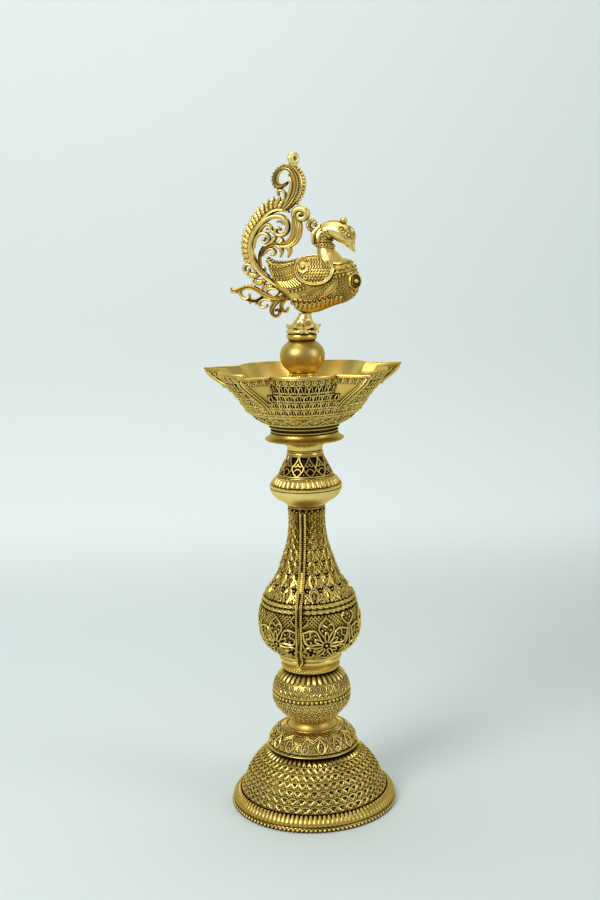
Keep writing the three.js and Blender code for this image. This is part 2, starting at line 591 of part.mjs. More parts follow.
// The crown: a ribbed ring in three pieces, and a pierced cage over a dark core
function addCrown() {
  const shellRadius = CROWN_RADIUS - RIDGE_PROUD;
  const lower = fitted(
    CROWN_LOWER_FORM, CROWN_BASE_RADIUS, shellRadius, Z_CROWN, Z_CROWN + CROWN_LOWER_HEIGHT,
  );
  addPiece('crown_lower_shell', shell(lower, FACETS_SMALL, { bottomBore: BORE }), BRASS);
  const ridge = roundedRing(CROWN_RADIUS, RIDGE_WIDTH, Z_RIDGE, RIDGE_HEIGHT, FACETS_SMALL);
  addPiece('crown_ridge', ridge, BRASS);
  const upper = fitted(
    CROWN_UPPER_FORM, shellRadius, LATTICE_BOTTOM_RADIUS + SEAT_GAP, Z_CROWN_UPPER,
    Z_CROWN_UPPER + CROWN_UPPER_HEIGHT,
  );
  addPiece('crown_upper_shell', shell(upper, FACETS_SMALL, { topBore: BORE }), BRASS);

  const cageTop = Z_LATTICE + LATTICE_HEIGHT;
  const cage = fitted(
    LATTICE_FORM, LATTICE_BOTTOM_RADIUS, LATTICE_TOP_RADIUS, Z_LATTICE, cageTop,
  );
  const inside = cage.map(([r, z]) => [r - LATTICE_THICKNESS, z]);
  let pierced = toSolid(turned([...cage, ...inside.reverse()], FACETS_SMALL));
  for (let i = 0; i < LATTICE_WINDOWS; i++) {
    pierced = pierced.subtract(latticeWindow(2 * Math.PI * i / LATTICE_WINDOWS));
  }
  addPiece('lattice_cage', toGeometry(pierced), BRASS);
  const core = cage.map(([r, z]) => [r - LATTICE_THICKNESS - SEAT_GAP, z]);
  addPiece('lattice_core', ring(core, BORE, FACETS_SMALL), DARK_BRASS);

  const collar = roundedRing(
    CROWN_COLLAR_RADIUS, CROWN_COLLAR_RADIUS - BORE, Z_CROWN_COLLAR, CROWN_COLLAR_HEIGHT,
    FACETS_SMALL,
  );
  addPiece('crown_collar', collar, BRASS);
  const neck = fitted(
    CROWN_NECK_FORM, CROWN_NECK_BASE_RADIUS, CROWN_NECK_RADIUS, Z_CROWN_NECK,
    Z_CROWN_NECK + CROWN_NECK_HEIGHT,
  );
  addPiece('crown_neck', ring(neck, BORE, FACETS_SMALL), BRASS);
  addPiece('crown_rod', rod(ROD_RADIUS, Z_FLANGE - ROD_GRIP, Z_FINIAL + ROD_GRIP), STEEL);
}

// Heights and radii of the bowl's outer wall, in shares. Each spout grows out of the round
// wall: its tip stands out by a share of its reach, and its roots are drawn in by a share
const BOWL_LEVELS = {
  height: [0, 0.083, 0.237, 0.39, 0.514, 0.668, 0.852, 1],
  width: [0.08, 0.23, 0.415, 0.535, 0.62, 0.75, 0.9, 1],
  spout: [0, 0, 0, 0, 0.21, 0.56, 0.93, 1],
  root: [0, 0, 0, 0.1, 0.4, 0.72, 0.94, 1],
};

function bowlLevel(kind, height) {
  const above = Math.max(BOWL_LEVELS.height.findIndex((h) => h >= height), 1);
  const low = BOWL_LEVELS.height[above - 1];
  const share = (height - low) / (BOWL_LEVELS.height[above] - low);
  const values = BOWL_LEVELS[kind];
  return values[above - 1] + share * (values[above] - values[above - 1]);
}

// Radius of the bowl at an angle from the nearest spout's tip, for a wall thinned by depth
function bowlRadius(height, angle, depth) {
  const half = Math.PI / SPOUTS;
  const rootAngle = THREE.MathUtils.degToRad(SPOUT_HALF_ANGLE);
  const round = BOWL_BASE_RADIUS + bowlLevel('width', height) * (BOWL_RADIUS - BOWL_BASE_RADIUS);
  const root = round * (1 - bowlLevel('root', height) * (1 - SPOUT_ROOT_SHARE));
  const tip = round + bowlLevel('spout', height) * (SPOUT_REACH - BOWL_RADIUS);
  const flare = Math.atan2(root * Math.sin(rootAngle), tip - root * Math.cos(rootAngle));
  const tipIn = tip - depth / Math.sin(flare);
  const rootIn = root - depth;
  if (angle <= rootAngle) {
    return tipIn * rootIn * Math.sin(rootAngle)
      / (tipIn * Math.sin(angle) + rootIn * Math.sin(rootAngle - angle));
  }
  const bulge = Math.sin((angle - rootAngle) / (half - rootAngle) * Math.PI / 2);
  return rootIn + (round - depth - rootIn) * bulge;
}

// A curved plate between an outer and an inner grid of points
function plate(outer, inner) {
  const count = outer[0].length;
  const inside = outer.length * count;
  const triangles = [];
  for (let j = 0; j + 1 < outer.length; j++) {
    for (let i = 0; i + 1 < count; i++) {
      const [a, b] = [j * count + i, j * count + i + 1];
      const [c, d] = [b + count, a + count];
      triangles.push(a, b, c, a, c, d);
      triangles.push(inside + a, inside + c, inside + b, inside + a, inside + d, inside + c);
    }
  }
  const edge = [];
  for (let i = 0; i < count - 1; i++) edge.push(i);
  for (let j = 0; j < outer.length - 1; j++) edge.push(j * count + count - 1);
  for (let i = count - 1; i > 0; i--) edge.push((outer.length - 1) * count + i);
  for (let j = outer.length - 1; j > 0; j--) edge.push(j * count);
  edge.forEach((from, k) => {
    const to = edge[(k + 1) % edge.length];
    triangles.push(to, from, inside + from, to, inside + from, inside + to);
  });
  return weld(meshOf([...outer.flat(), ...inner.flat()], triangles));
}

// The bowl: one spun pan with five pinched spouts, the first pointing away from the front
function addPan() {
  const half = Math.PI / SPOUTS;
  const rootAngle = THREE.MathUtils.degToRad(SPOUT_HALF_ANGLE);
  const offsets = [0, rootAngle];
  for (const share of [1, 2, 3]) offsets.push(rootAngle + share * (half - rootAngle) / 3);
  const angles = [];
  for (let spout = 0; spout < SPOUTS; spout++) {
    const tipAngle = Math.PI / 2 + 2 * half * spout;
    for (const offset of offsets) angles.push([tipAngle + offset, offset]);
    for (const offset of offsets.slice(1, -1).reverse()) {
      angles.push([tipAngle + 2 * half - offset, offset]);
    }
  }
  const rowAt = (height, depth) => angles.map(([angle, offset]) =>
    polar(bowlRadius(height, offset, depth), angle, Z_BOWL + height * BOWL_HEIGHT));
  const boreRow = (z) => angles.map(([angle]) => polar(BORE, angle, z));
  const floor = BOWL_FLOOR_THICKNESS / BOWL_HEIGHT;
  const insideHeights = [floor, ...BOWL_LEVELS.height.filter((h) => h > floor * 1.1)];
  const rows = [
    ...BOWL_LEVELS.height.map((height) => rowAt(height, 0)),
    ...insideHeights.reverse().map((height) => rowAt(height, BOWL_WALL)),
    boreRow(Z_BOWL + BOWL_FLOOR_THICKNESS),
    boreRow(Z_BOWL),
  ];
  addPiece('bowl_pan', wrapped(rows), BRIGHT_BRASS);
}

// The pierced skins that cover the round wall between the spouts
function addFiligreePanels() {
  const half = Math.PI / SPOUTS;
  const rootAngle = THREE.MathUtils.degToRad(SPOUT_HALF_ANGLE);
  const reach = THREE.MathUtils.degToRad(PANEL_HALF_ANGLE);
  const step = (half - rootAngle) / 3;
  const turns = [-reach, -2 * step, -step, 0, step, 2 * step, reach];
  const heights = [...BOWL_LEVELS.height.slice(1, -1), 1 - SEAT_GAP / BOWL_HEIGHT];
  for (let i = 0; i < SPOUTS; i++) {
    const middle = Math.PI / 2 + (2 * i + 1) * half;
    const skin = (proud) => heights.map((height) => turns.map((turn) => polar(
      bowlRadius(height, half - Math.abs(turn), 0) + proud, middle + turn,
      Z_BOWL + height * BOWL_HEIGHT,
    )));
    const panel = plate(skin(SEAT_GAP + PANEL_THICKNESS), skin(SEAT_GAP));
    addPiece(`filigree_panel_${i + 1}`, panel, BRASS);
  }
}

// The strips along the lower edges of the spouts
function addKeels() {
  const heights = BOWL_LEVELS.height.slice(3, -1);
  heights.push((heights[heights.length - 1] + 1) / 2);
  for (let i = 0; i < SPOUTS; i++) {
    const angle = Math.PI / 2 + 2 * Math.PI * i / SPOUTS;
    const skin = (proud) => heights.map((height) => [-1, 1].map((side) => {
      const out = bowlRadius(height, 0, 0) + proud;
      const across = side * KEEL_WIDTH / 2;
      return [
        out * Math.cos(angle) - across * Math.sin(angle),
        out * Math.sin(angle) + across * Math.cos(angle),
        Z_BOWL + height * BOWL_HEIGHT,
      ];
    }));
    const keel = plate(skin(SEAT_GAP + KEEL_THICKNESS), skin(SEAT_GAP));
    addPiece(`spout_keel_${i + 1}`, keel, BRASS);
  }
}

// The flange and foot rings under the bowl, and the seal on its floor
function addBowlSeat() {
  const flange = fitted(
    FLANGE_FORM, FLANGE_RADIUS, FLANGE_TOP_RADIUS, Z_FLANGE, Z_FLANGE + FLANGE_HEIGHT,
  );
  addPiece('bowl_flange', ring(flange, BORE, FACETS_SMALL), BRASS);
  const foot = fitted(
    BOWL_FOOT_FORM, BOWL_FOOT_RADIUS, BOWL_FOOT_WAIST, Z_BOWL_FOOT,
    Z_BOWL_FOOT + BOWL_FOOT_HEIGHT,
  );
  addPiece('bowl_foot_rings', ring(foot, BOWL_FOOT_RADIUS - RIM_WIDTH, FACETS_SMALL), BRASS);
  const seal = [[WASHER_RADIUS, Z_SEAL], [WASHER_RADIUS, Z_SEAL + WASHER_THICKNESS]];
  addPiece('bowl_seal', ring(seal, BORE, FACETS_SMALL), FIBRE);
}

// The finial's turned pieces, strung on a thin rod
function addFinialStem() {
  const neckTop = Z_FINIAL + FINIAL_NECK_HEIGHT;
  const rodBottom = Z_FINIAL + ROD_GRIP + 2 * WALL + SEAT_GAP;
  const neck = [
    [WASHER_RADIUS, Z_FINIAL],
    [WASHER_RADIUS, Z_FINIAL + WALL],
    [FINIAL_NECK_RADIUS, Z_FINIAL + 2 * WALL],
    [FINIAL_NECK_RADIUS, neckTop - FINIAL_BEAD_HEIGHT - WALL],
    [FINIAL_BEAD_RADIUS, neckTop - FINIAL_BEAD_HEIGHT],
    [FINIAL_BEAD_RADIUS, neckTop - WALL],
    [BALL_MOUTH_RADIUS, neckTop - WALL / 2],
    [BALL_MOUTH_RADIUS, neckTop],
    [FINIAL_BORE, neckTop],
    [FINIAL_BORE, rodBottom - SEAT_GAP],
    [0, rodBottom - SEAT_GAP],
    [0, Z_FINIAL + ROD_GRIP + WALL],
    [BORE, Z_FINIAL + ROD_GRIP + WALL],
    [BORE, Z_FINIAL],
  ];
  addPiece('finial_neck', turned(neck, FACETS_SMALL), BRIGHT_BRASS);

  const highest = Math.acos(BALL_MOUTH_RADIUS / BALL_RADIUS);
  const ballSteps = 8;
  const ball = [];
  for (let i = 0; i <= ballSteps; i++) {
    const turn = highest * (2 * i / ballSteps - 1);
    const rise = (1 + Math.sin(turn) / Math.sin(highest)) / 2;
    ball.push([BALL_RADIUS * Math.cos(turn), Z_BALL + rise * BALL_HEIGHT]);
  }
  const ballBores = { bottomBore: FINIAL_BORE, topBore: FINIAL_BORE };
  addPiece('finial_ball', shell(ball, FACETS_SMALL, ballBores), BRIGHT_BRASS);
  const collar = roundedRing(
    FINIAL_RING_RADIUS, FINIAL_RING_RADIUS - FINIAL_BORE, Z_FINIAL_RING, FINIAL_RING_HEIGHT,
    FACETS_SMALL,
  );
  addPiece('finial_ring', collar, BRIGHT_BRASS);
  const rodTop = Z_LEAF_CUP + LEAF_CUP_HEIGHT / 3;
  addPiece('finial_rod', rod(FINIAL_ROD_RADIUS, rodBottom, rodTop), STEEL);
}

// A closed skin through rings of points, with a flat cap at each end
function loft(rings) {
  const count = rings[0].length;
  const points = rings.flat();
  const triangles = [];
  for (let j = 0; j + 1 < rings.length; j++) {
    for (let i = 0; i < count; i++) {
      const right = (i + 1) % count;
      const [a, b] = [j * count + i, j * count + right];
      triangles.push(a, b, b + count, a, b + count, a + count);
    }
  }
  const middleOf = (points3) => [0, 1, 2].map(
    (axis) => points3.reduce((sum, point) => sum + point[axis], 0) / points3.length);
  const last = (rings.length - 1) * count;
  const [start, end] = [points.length, points.length + 1];
  points.push(middleOf(rings[0]), middleOf(rings[rings.length - 1]));
  for (let i = 0; i < count; i++) {
    const right = (i + 1) % count;
    triangles.push(start, right, i, end, last + i, last + right);
  }
  return weld(meshOf(points, triangles));
}

// A curve of the peacock in the lamp's middle plane, from rows of [x, height, size]
function flatCurve(rows) {
  const points = rows.map(([x, height]) => new THREE.Vector2(x * CURVE_SCALE, height * CURVE_SCALE));
  return new THREE.SplineCurve(points);
}

// A spot beside a curve of the middle plane, to the left of its direction
function besideCurve(curve, share, across) {
  const middle = curve.getPoint(share);
  const along = curve.getTangent(share);
  return new THREE.Vector2(middle.x - along.y * across, middle.y + along.x * across);
}

// A round-sided tube along a curve in the lamp's middle plane
function sweep(curve, radii, from, to, steps) {
  const rings = [];
  for (let j = 0; j <= steps; j++) {
    const share = from + (to - from) * j / steps;
    const radius = valueAt(radii, share);
    const section = [];
    for (let i = 0; i < FACETS_ROD; i++) {
      const turn = 2 * Math.PI * i / FACETS_ROD;
      const spot = besideCurve(curve, share, radius * Math.sin(turn));
      section.push([spot.x, radius * Math.cos(turn), Z_PEACOCK + spot.y]);
    }
    rings.push(section);
  }
  return loft(rings);
}

// A flat bar cut to an outline of the middle plane
function flatBar(outline, depth) {
  const bar = new THREE.ExtrudeGeometry(new THREE.Shape(outline), { depth, bevelEnabled: false });
  bar.rotateX(Math.PI / 2);
  bar.translate(0, depth / 2, Z_PEACOCK);
  return toSolid(bar);
}

// A flat scroll that follows a curve in the middle plane, wide as its rows say
function scroll(rows, depth, extra) {
  const curve = flatCurve(rows);
  const widths = rows.map(([, , width]) => width * CURVE_SCALE);
  const steps = Math.round(SCROLL_STEPS * (rows.length - 1));
  const left = [];
  const right = [];
  for (let i = 0; i <= steps; i++) {
    const half = valueAt(widths, i / steps) / 2 + extra;
    left.push(besideCurve(curve, i / steps, half));
    right.push(besideCurve(curve, i / steps, -half));
  }
  return flatBar([...right, ...left.reverse()], depth + 2 * extra);
}

// Turns a solid of the peacock from the way it is drawn to the way it stands
function turnedOut(solid) {
  return toGeometry(solid).scale(1 / Math.cos(BIRD_TURN), 1, 1).rotateZ(BIRD_TURN);
}

// The leaf cup in shares of its height and its radius. Two whorls of leaves stand out from the
// stem, and the lower leaves show between the upper ones
const LEAF_CUP_FORM = {
  height: [0, 0.07, 0.14, 0.2, 0.27, 0.36, 0.45, 0.52, 0.62, 0.8, 1],
  upper: [0.83, 0.9, 0.87, 0.8, 0.73, 0.7, 1, 0.95, 0.7, 0.45, 0.39],
  lower: [0.83, 0.9, 0.9, 0.98, 0.86, 0.65, 0.6, 0.57, 0.52, 0.44, 0.39],
  notch: [0.83, 0.9, 0.87, 0.8, 0.73, 0.65, 0.6, 0.57, 0.52, 0.44, 0.39],
};
const LEAF_CUP_BEND = 1.4;

// The leaf cup's stem leans a little forwards. It has a hole for the rod below and a peg for
// the peacock above
function addLeafCup() {
  const { height: heights, upper, lower, notch } = LEAF_CUP_FORM;
  const columns = [upper, notch, lower, notch];
  const sides = LEAF_COUNT * columns.length;
  const rings = heights.map((height, j) => {
    const section = [];
    for (let i = 0; i < sides; i++) {
      const [x, y, z] = polar(
        LEAF_TIP_RADIUS * columns[i % columns.length][j], 2 * Math.PI * i / sides,
        Z_LEAF_CUP + height * LEAF_CUP_HEIGHT,
      );
      section.push([x + STEM_LEAN * height ** LEAF_CUP_BEND, y, z]);
    }
    return section;
  });
  const holeTop = Z_LEAF_CUP + LEAF_CUP_HEIGHT / 3 + SEAT_GAP;
  const hole = toSolid(rod(FINIAL_BORE, Z_LEAF_CUP - WALL, holeTop));
  const pegBottom = Z_PEACOCK - SEAT_GAP - WALL;
  const peg = rod(PEG_RADIUS, pegBottom, Z_PEACOCK + PEG_HEIGHT).translate(STEM_LEAN, 0, 0);
  addPiece('leaf_cup', toGeometry(toSolid(loft(rings)).add(toSolid(peg)).subtract(hole)), BRASS);
}

// The peacock's body in shares of its length, height and width, from rump to breast
const BODY_FORM = {
  along: [0, 0.024, 0.085, 0.16, 0.252, 0.329, 0.419, 0.542, 0.664, 0.772, 0.862, 0.925, 0.969, 1],
  below: [
    0.965, 0.779, 0.549, 0.379, 0.245, 0.072, 0, 0.02, 0.099, 0.158, 0.218, 0.293, 0.403, 0.53,
  ],
  above: [0.985, 0.976, 0.919, 0.9, 0.91, 0.94, 0.976, 1, 0.98, 0.94, 0.942, 0.85, 0.696, 0.57],
  width: [0.06, 0.16, 0.36, 0.6, 0.8, 0.9, 0.96, 1, 0.976, 0.92, 0.8, 0.64, 0.36, 0.08],
};

// The body's solid, grown all round by an extra amount
function bodySolid(extra) {
  const sides = 16;
  const rings = BODY_FORM.along.map((along, j) => {
    const stretch = 1 + 2 * extra / BODY_LENGTH;
    const x = BODY_REAR + BODY_LENGTH * (0.5 + (along - 0.5) * stretch);
    const low = BODY_FORM.below[j] * BODY_HEIGHT - extra;
    const high = BODY_FORM.above[j] * BODY_HEIGHT + extra;
    const halfWidth = BODY_FORM.width[j] * BODY_WIDTH / 2 + extra;
    const section = [];
    for (let i = 0; i < sides; i++) {
      const turn = 2 * Math.PI * i / sides;
      const rise = (high - low) / 2 * Math.sin(turn);
      section.push([x, halfWidth * Math.cos(turn), Z_PEACOCK + (low + high) / 2 + rise]);
    }
    return section;
  });
  return toSolid(loft(rings));
}

// The neck and head follow one curve from the body to the beak. Their sizes are shares of the
// neck's radius as far as the nape, and of the head's radius from there
const NECK_CURVE = flatCurve([
  [17.6, 27], [16.4, 32], [15.6, 34.8], [15.05, 38], [14.2, 41.3], [13.9, 44.6], [16.1, 47.2],
  [19.4, 48], [22.7, 47.4], [25.8, 45.5], [27.9, 43.2], [29, 41.2], [29.8, 39.3], [30.9, 37.2],
  [32.2, 35],
]);
const NECK_SIZES = [
  ...[1.94, 1.5, 1.18, 1, 1.01, 1.05, 1.05].map((share) => share * NECK_RADIUS),
  ...[1, 1.06, 1.06, 0.92, 0.7, 0.47, 0.29, 0.07].map((share) => share * HEAD_RADIUS),
];
const HEAD_START = 0.543;
const NECKLACE_START = 0.228;
const NECKLACE_END = 0.265;

function neckSolid(extra, from, to, steps) {
  return toSolid(sweep(NECK_CURVE, NECK_SIZES.map((size) => size + extra), from, to, steps));
}

function addBody() {
  const peg = rod(PEG_RADIUS + SEAT_GAP, Z_PEACOCK - WALL, Z_PEACOCK + PEG_HEIGHT + SEAT_GAP);
  peg.translate(STEM_LEAN, 0, 0);
  const socket = toSolid(peg.rotateZ(-BIRD_TURN).scale(Math.cos(BIRD_TURN), 1, 1));
  addPiece('peacock_body', turnedOut(bodySolid(0).subtract(socket)), BRASS);

  const relief = bodySolid(SEAT_GAP + RELIEF_THICKNESS).subtract(bodySolid(SEAT_GAP));
  const neckHole = neckSolid(2 * SEAT_GAP, 0, HEAD_START, 8);
  const oval = new THREE.Shape();
  const wingX = BODY_REAR + BODY_LENGTH * WING_X_SHARE;
  const wingZ = BODY_HEIGHT * WING_Z_SHARE;
  oval.absellipse(wingX, wingZ, WING_LENGTH / 2, WING_HEIGHT / 2, 0, 2 * Math.PI, false, 0);
  // Each wing's outline is cut in the direction in which it is seen
  for (const [name, side] of [['wing_right', -1], ['wing_left', 1]]) {
    const prism = new THREE.ExtrudeGeometry(oval, {
      depth: BODY_WIDTH,
      bevelEnabled: false,
      curveSegments: 10,
    });
    prism.rotateX(Math.PI / 2);
    prism.translate(0, side < 0 ? -WING_INSET : WING_INSET + BODY_WIDTH, Z_PEACOCK);
    const slant = -side * Math.sin(BIRD_TURN);
    prism.applyMatrix4(new THREE.Matrix4().makeShear(0, 0, slant, 0, 0, 0));
    const wing = relief.intersect(toSolid(prism)).subtract(neckHole);
    addPiece(name, turnedOut(wing), BRASS);
  }

  const breastPin = (radius) => {
    const pin = turned([[0, 0], [radius, 0], [radius, BODY_LENGTH], [0, BODY_LENGTH]], FACETS_SMALL);
    pin.rotateY(Math.PI / 2).rotateZ(BOSS_TURN);
    const x = BODY_REAR + BODY_LENGTH * BOSS_X_SHARE;
    return toSolid(pin.translate(x, 0, Z_PEACOCK + BODY_HEIGHT * BOSS_Z_SHARE));
  };
  const stud = bodySolid(SEAT_GAP + 2 * RELIEF_THICKNESS).intersect(breastPin(BOSS_STUD_RADIUS));
  const disc = relief.intersect(breastPin(BOSS_RADIUS));
  addPiece('breast_boss', turnedOut(disc.add(stud.subtract(bodySolid(SEAT_GAP)))), BRASS);
}

function addNeckAndHead() {
  const neckEnd = HEAD_START - SEAT_GAP / NECK_CURVE.getLength();
  const neck = neckSolid(0, 0, neckEnd, 15).subtract(bodySolid(SEAT_GAP));
  addPiece('peacock_neck', turnedOut(neck), BRASS);
  addPiece('peacock_head', turnedOut(neckSolid(0, HEAD_START, 1, 12)), BRASS);
  const margin = (NECKLACE_END - NECKLACE_START) / 2;
  const necklace = neckSolid(SEAT_GAP + NECKLACE_THICKNESS, NECKLACE_START, NECKLACE_END, 2)
    .subtract(neckSolid(SEAT_GAP, NECKLACE_START - margin, NECKLACE_END + margin, 4));
  addPiece('neck_ring', turnedOut(necklace), BRASS);

  const grown = neckSolid(SEAT_GAP, 0, 1, 28);
  const knobForm = [[0, 0], [0.87, 0], [0.87, 0.26], [0.69, 0.34], [1, 0.62], [0.62, 0.92], [0, 1]];
  const knob = turned(knobForm.map(([reach, height]) => [
    reach * CREST_KNOB_RADIUS, Z_PEACOCK + CREST_FOOT * CURVE_SCALE + height * CREST_KNOB_HEIGHT,
  ]), FACETS_ROD);
  knob.translate(CREST_X * CURVE_SCALE, 0, 0);
  addPiece('crest_knob', turnedOut(toSolid(knob).subtract(grown)), BRASS);
  addPiece('crest_curl', turnedOut(scroll(CURL, CREST_CURL_DEPTH, 0).subtract(grown)), BRASS);
}

// The crest's curl, and the scrolls of the tail: rows of [x, height, width]
const CURL = [
  [10.9, 47, 2.2], [8.6, 47.9, 2.3], [6.4, 49.1, 2.4], [5.6, 51.3, 2.4], [6.5, 53.2, 2.3],
  [8.2, 53.8, 2.2], [9.5, 52.6, 2.1], [9.3, 50.6, 2],
];
const RIB = [
  [-12.5, 15.8, 2.6], [-17, 18.8, 2.7], [-21, 22, 3], [-25.2, 26.6, 3.4], [-28.2, 31.6, 4.2],
  [-29.4, 36.8, 4.2], [-29, 42.2, 3.6], [-27, 47.4, 3.4], [-23.9, 51.9, 3.2], [-20.7, 55.6, 3.1],
  [-16.5, 59.3, 2.9], [-12.3, 60.9, 2.7], [-8.6, 60.6, 2.2], [-5.4, 59.2, 1.2],
];
const OUTER_LEAVES = { count: 15, from: 0.29, to: 0.9, notch: 0.5, shoulder: 0.85 };
const LEAF_REACH = [4.6, 5.8, 6.3, 6.5, 7.2, 8, 6.8];
// Full as the rib: the two great volutes, the ribbed club and the spiral on its end
const DEEP_SCROLLS = [
  [
    [-27.9, 42.6, 1.6], [-26.2, 47.6, 2.4], [-23, 51.9, 2.9], [-19.2, 55.2, 3], [-14.5, 57, 3],
    [-9.7, 56.5, 3], [-6.9, 53.4, 2.8], [-6.5, 49.4, 2.6], [-8.6, 46.4, 2.5], [-11.9, 45.9, 2.3],
    [-13.8, 48, 2.1], [-12.6, 50.2, 2], [-10.9, 49.4, 1.7],
  ],
  [
    [-22.2, 34, 1.5], [-20.9, 37.6, 2], [-17.9, 39.8, 2.6], [-14.1, 40.7, 2.9], [-10.6, 40.3, 3.6],
    [-7.2, 40.4, 4.8], [-3.9, 42.4, 6.2], [-1.8, 45.8, 6.8], [-1, 50, 6.6], [-1.3, 54, 5.6],
    [-1.9, 57.3, 4.2], [-2.1, 59, 3.2],
  ],
  [
    [-2.6, 56.6, 2.8], [-2.1, 59.5, 3.1], [0.7, 61, 3.2], [3.8, 59.9, 3.2], [4.8, 57.2, 3.1],
    [3.1, 55, 3], [0.7, 55.4, 2.7], [0.1, 57.4, 2.4], [1.6, 58.5, 2.1],
  ],
];
const FLAT_SCROLLS = [
  // The small volutes inside the rib
  [
    [-27.2, 38.6, 1.6], [-26.2, 43.2, 1.6], [-24, 46.4, 1.7], [-20.8, 47.3, 1.9],
    [-18.2, 45.7, 2.1], [-18, 43, 2], [-20.2, 41.8, 1.8], [-21.4, 43.3, 1.6],
  ],
  [
    [-23.6, 47.6, 1.5], [-21.4, 51, 1.6], [-18.7, 52.6, 1.6], [-16.3, 51.2, 1.6],
    [-16.3, 48.9, 1.6], [-18.2, 48.4, 1.5],
  ],
  [[-19.6, 39.9, 2.1], [-16.5, 41.7, 2.2], [-14.2, 44.4, 2.2], [-14.2, 47, 2], [-16.4, 48.9, 1.4]],
  // The hooks that hang under the club
  [[-13.4, 39.7, 2.6], [-11, 38.4, 2.6], [-10.5, 35.7, 2], [-11.4, 32.8, 0.5]],
  [[-9.3, 39.4, 3.2], [-6.5, 38.8, 3.2], [-5.6, 36, 2.5], [-6.9, 32.6, 0.5]],
  [[-20.4, 35.4, 1.4], [-18.9, 37.4, 1.5], [-16.2, 38.1, 1.6], [-14.4, 36.6, 1.6], [-14.9, 34.7, 1.5]],
  // The strip beside the body, the volute outside the rib and the leaves under it
  [
    [-21.4, 39.6, 1.2], [-23.4, 35.6, 2], [-23.9, 30.4, 2.3], [-22.8, 25.8, 2.3],
    [-20, 21.6, 2.3], [-16.5, 17.6, 2.2], [-11.5, 13, 2], [-6.5, 9.4, 2.2],
  ],
  [
    [-26, 24.4, 1.6], [-28.6, 28.2, 1.8], [-31.8, 29.2, 1.8], [-33.4, 26.9, 1.8],
    [-32.8, 24.7, 1.7], [-30.8, 24.4, 1.6],
  ],
  [[-32.6, 25.2, 1.2], [-29.6, 23.1, 3.1], [-27.1, 22.2, 2.7], [-24, 22.6, 1.2]],
  [[-28.4, 19.1, 0.9], [-25.8, 18.3, 2.9], [-23.4, 18.2, 2.3], [-19.6, 19.8, 1.2]],
  [[-23.4, 15.4, 0.7], [-21.4, 15.2, 2.5], [-18.8, 15.8, 2], [-15.6, 17, 1.2]],
  // The long leaf at the bottom with its volutes
  [
    [-8, 9.4, 2.4], [-14, 8.8, 2.6], [-19.5, 10, 3], [-24.8, 13.2, 2.6], [-28.2, 15, 2.2],
    [-32, 15.6, 2], [-35.6, 14.6, 2.3], [-38.6, 13.1, 2.6], [-40.7, 13.7, 2.4],
    [-41.9, 15.6, 0.8],
  ],
  [[-36.8, 14, 1.5], [-35.7, 10.5, 1.6], [-33.4, 8.6, 1.7], [-31.2, 9.2, 1.4]],
  [[-33.4, 8.4, 1.2], [-30.6, 7.9, 2.3], [-27.8, 7.4, 2.6], [-25.4, 8, 2.2], [-22.4, 10.2, 1.4]],
  [[-17.4, 7.4, 1.5], [-20.2, 8.2, 1.6], [-23.3, 7.7, 1.7], [-25, 6, 1.7], [-24.4, 4.1, 1.6]],
  [
    [-7.6, 10.6, 2.6], [-12.3, 8.7, 3.4], [-15.7, 5.7, 3.4], [-17.6, 2.4, 2.7],
    [-17.2, -0.6, 2.2], [-14.9, -1.9, 2], [-12.8, -0.2, 1.9], [-13.6, 2, 1.7],
  ],
  [
    [-6.4, 9.4, 2.2], [-10.3, 6.9, 2.4], [-11.8, 4.2, 2.3], [-10.9, 1.6, 2.1], [-8.7, 1, 1.9],
    [-7.7, 2.9, 1.6],
  ],
  // Links between the bottom leaf and the rib
  [[-13.4, 14.4, 1.4], [-17.7, 14.6, 1.6], [-20.5, 12.8, 1.6], [-20.6, 10.6, 1.5]],
  [[-18.2, 9.6, 1.4], [-15, 10.6, 1.5], [-12.8, 12.4, 1.4], [-12.6, 15, 1.3]],
];
const CRESCENT = [
  [-8.6, 60.4, 3.2], [-5, 64, 5.4], [-2, 68.4, 7], [-0.5, 72.7, 7.8], [-0.3, 76.8, 7.6],
  [-1.2, 80.6, 6.6], [-3.2, 83.6, 4.8], [-5.9, 84.9, 3.5], [-8.6, 84.5, 3.1], [-11.3, 82.5, 3.1],
  [-12.8, 79.4, 3.2], [-12.6, 76.2, 3.3], [-10.7, 74.2, 3.1], [-8.2, 74.6, 2.4],
  [-6.2, 76, 1.4],
];
const BRACKET = [
  [-7.6, 62.8, 1.5], [-7.4, 67.4, 1.6], [-7.6, 70.2, 1.7], [-9.6, 72, 1.7], [-11.6, 71.4, 1.6],
  [-11.4, 69.4, 1.4],
];

// The outer leaves: a saw-toothed bar along the outside of the rib
function outerLeaves(extra) {
  const curve = flatCurve(RIB);
  const { count, from, to, notch, shoulder } = OUTER_LEAVES;
  const inner = [];
  const outer = [];
  for (let leaf = 0; leaf < count; leaf++) {
    for (const [place, share] of [[0, notch], [0.5, shoulder], [0.9, 1]]) {
      const along = (leaf + place) / count;
      const across = share * valueAt(LEAF_REACH, along) * CURVE_SCALE + extra;
      outer.push(besideCurve(curve, from + (to - from) * along, across));
    }
    inner.push(besideCurve(curve, from + (to - from) * leaf / count, -extra));
  }
  inner.push(besideCurve(curve, to, -extra));
  return flatBar([...inner, ...outer.reverse()], OUTER_LEAF_DEPTH + 2 * extra);
}

function tailSolid(extra) {
  let tail = scroll(RIB, PLUME_DEPTH, extra).add(outerLeaves(extra));
  for (const rows of DEEP_SCROLLS) tail = tail.add(scroll(rows, PLUME_DEPTH, extra));
  for (const rows of FLAT_SCROLLS) tail = tail.add(scroll(rows, SCROLL_DEPTH, extra));
  return tail;
}

function tipSolid(extra) {
  return scroll(CRESCENT, PLUME_DEPTH, extra).add(scroll(BRACKET, SCROLL_DEPTH, extra));
}

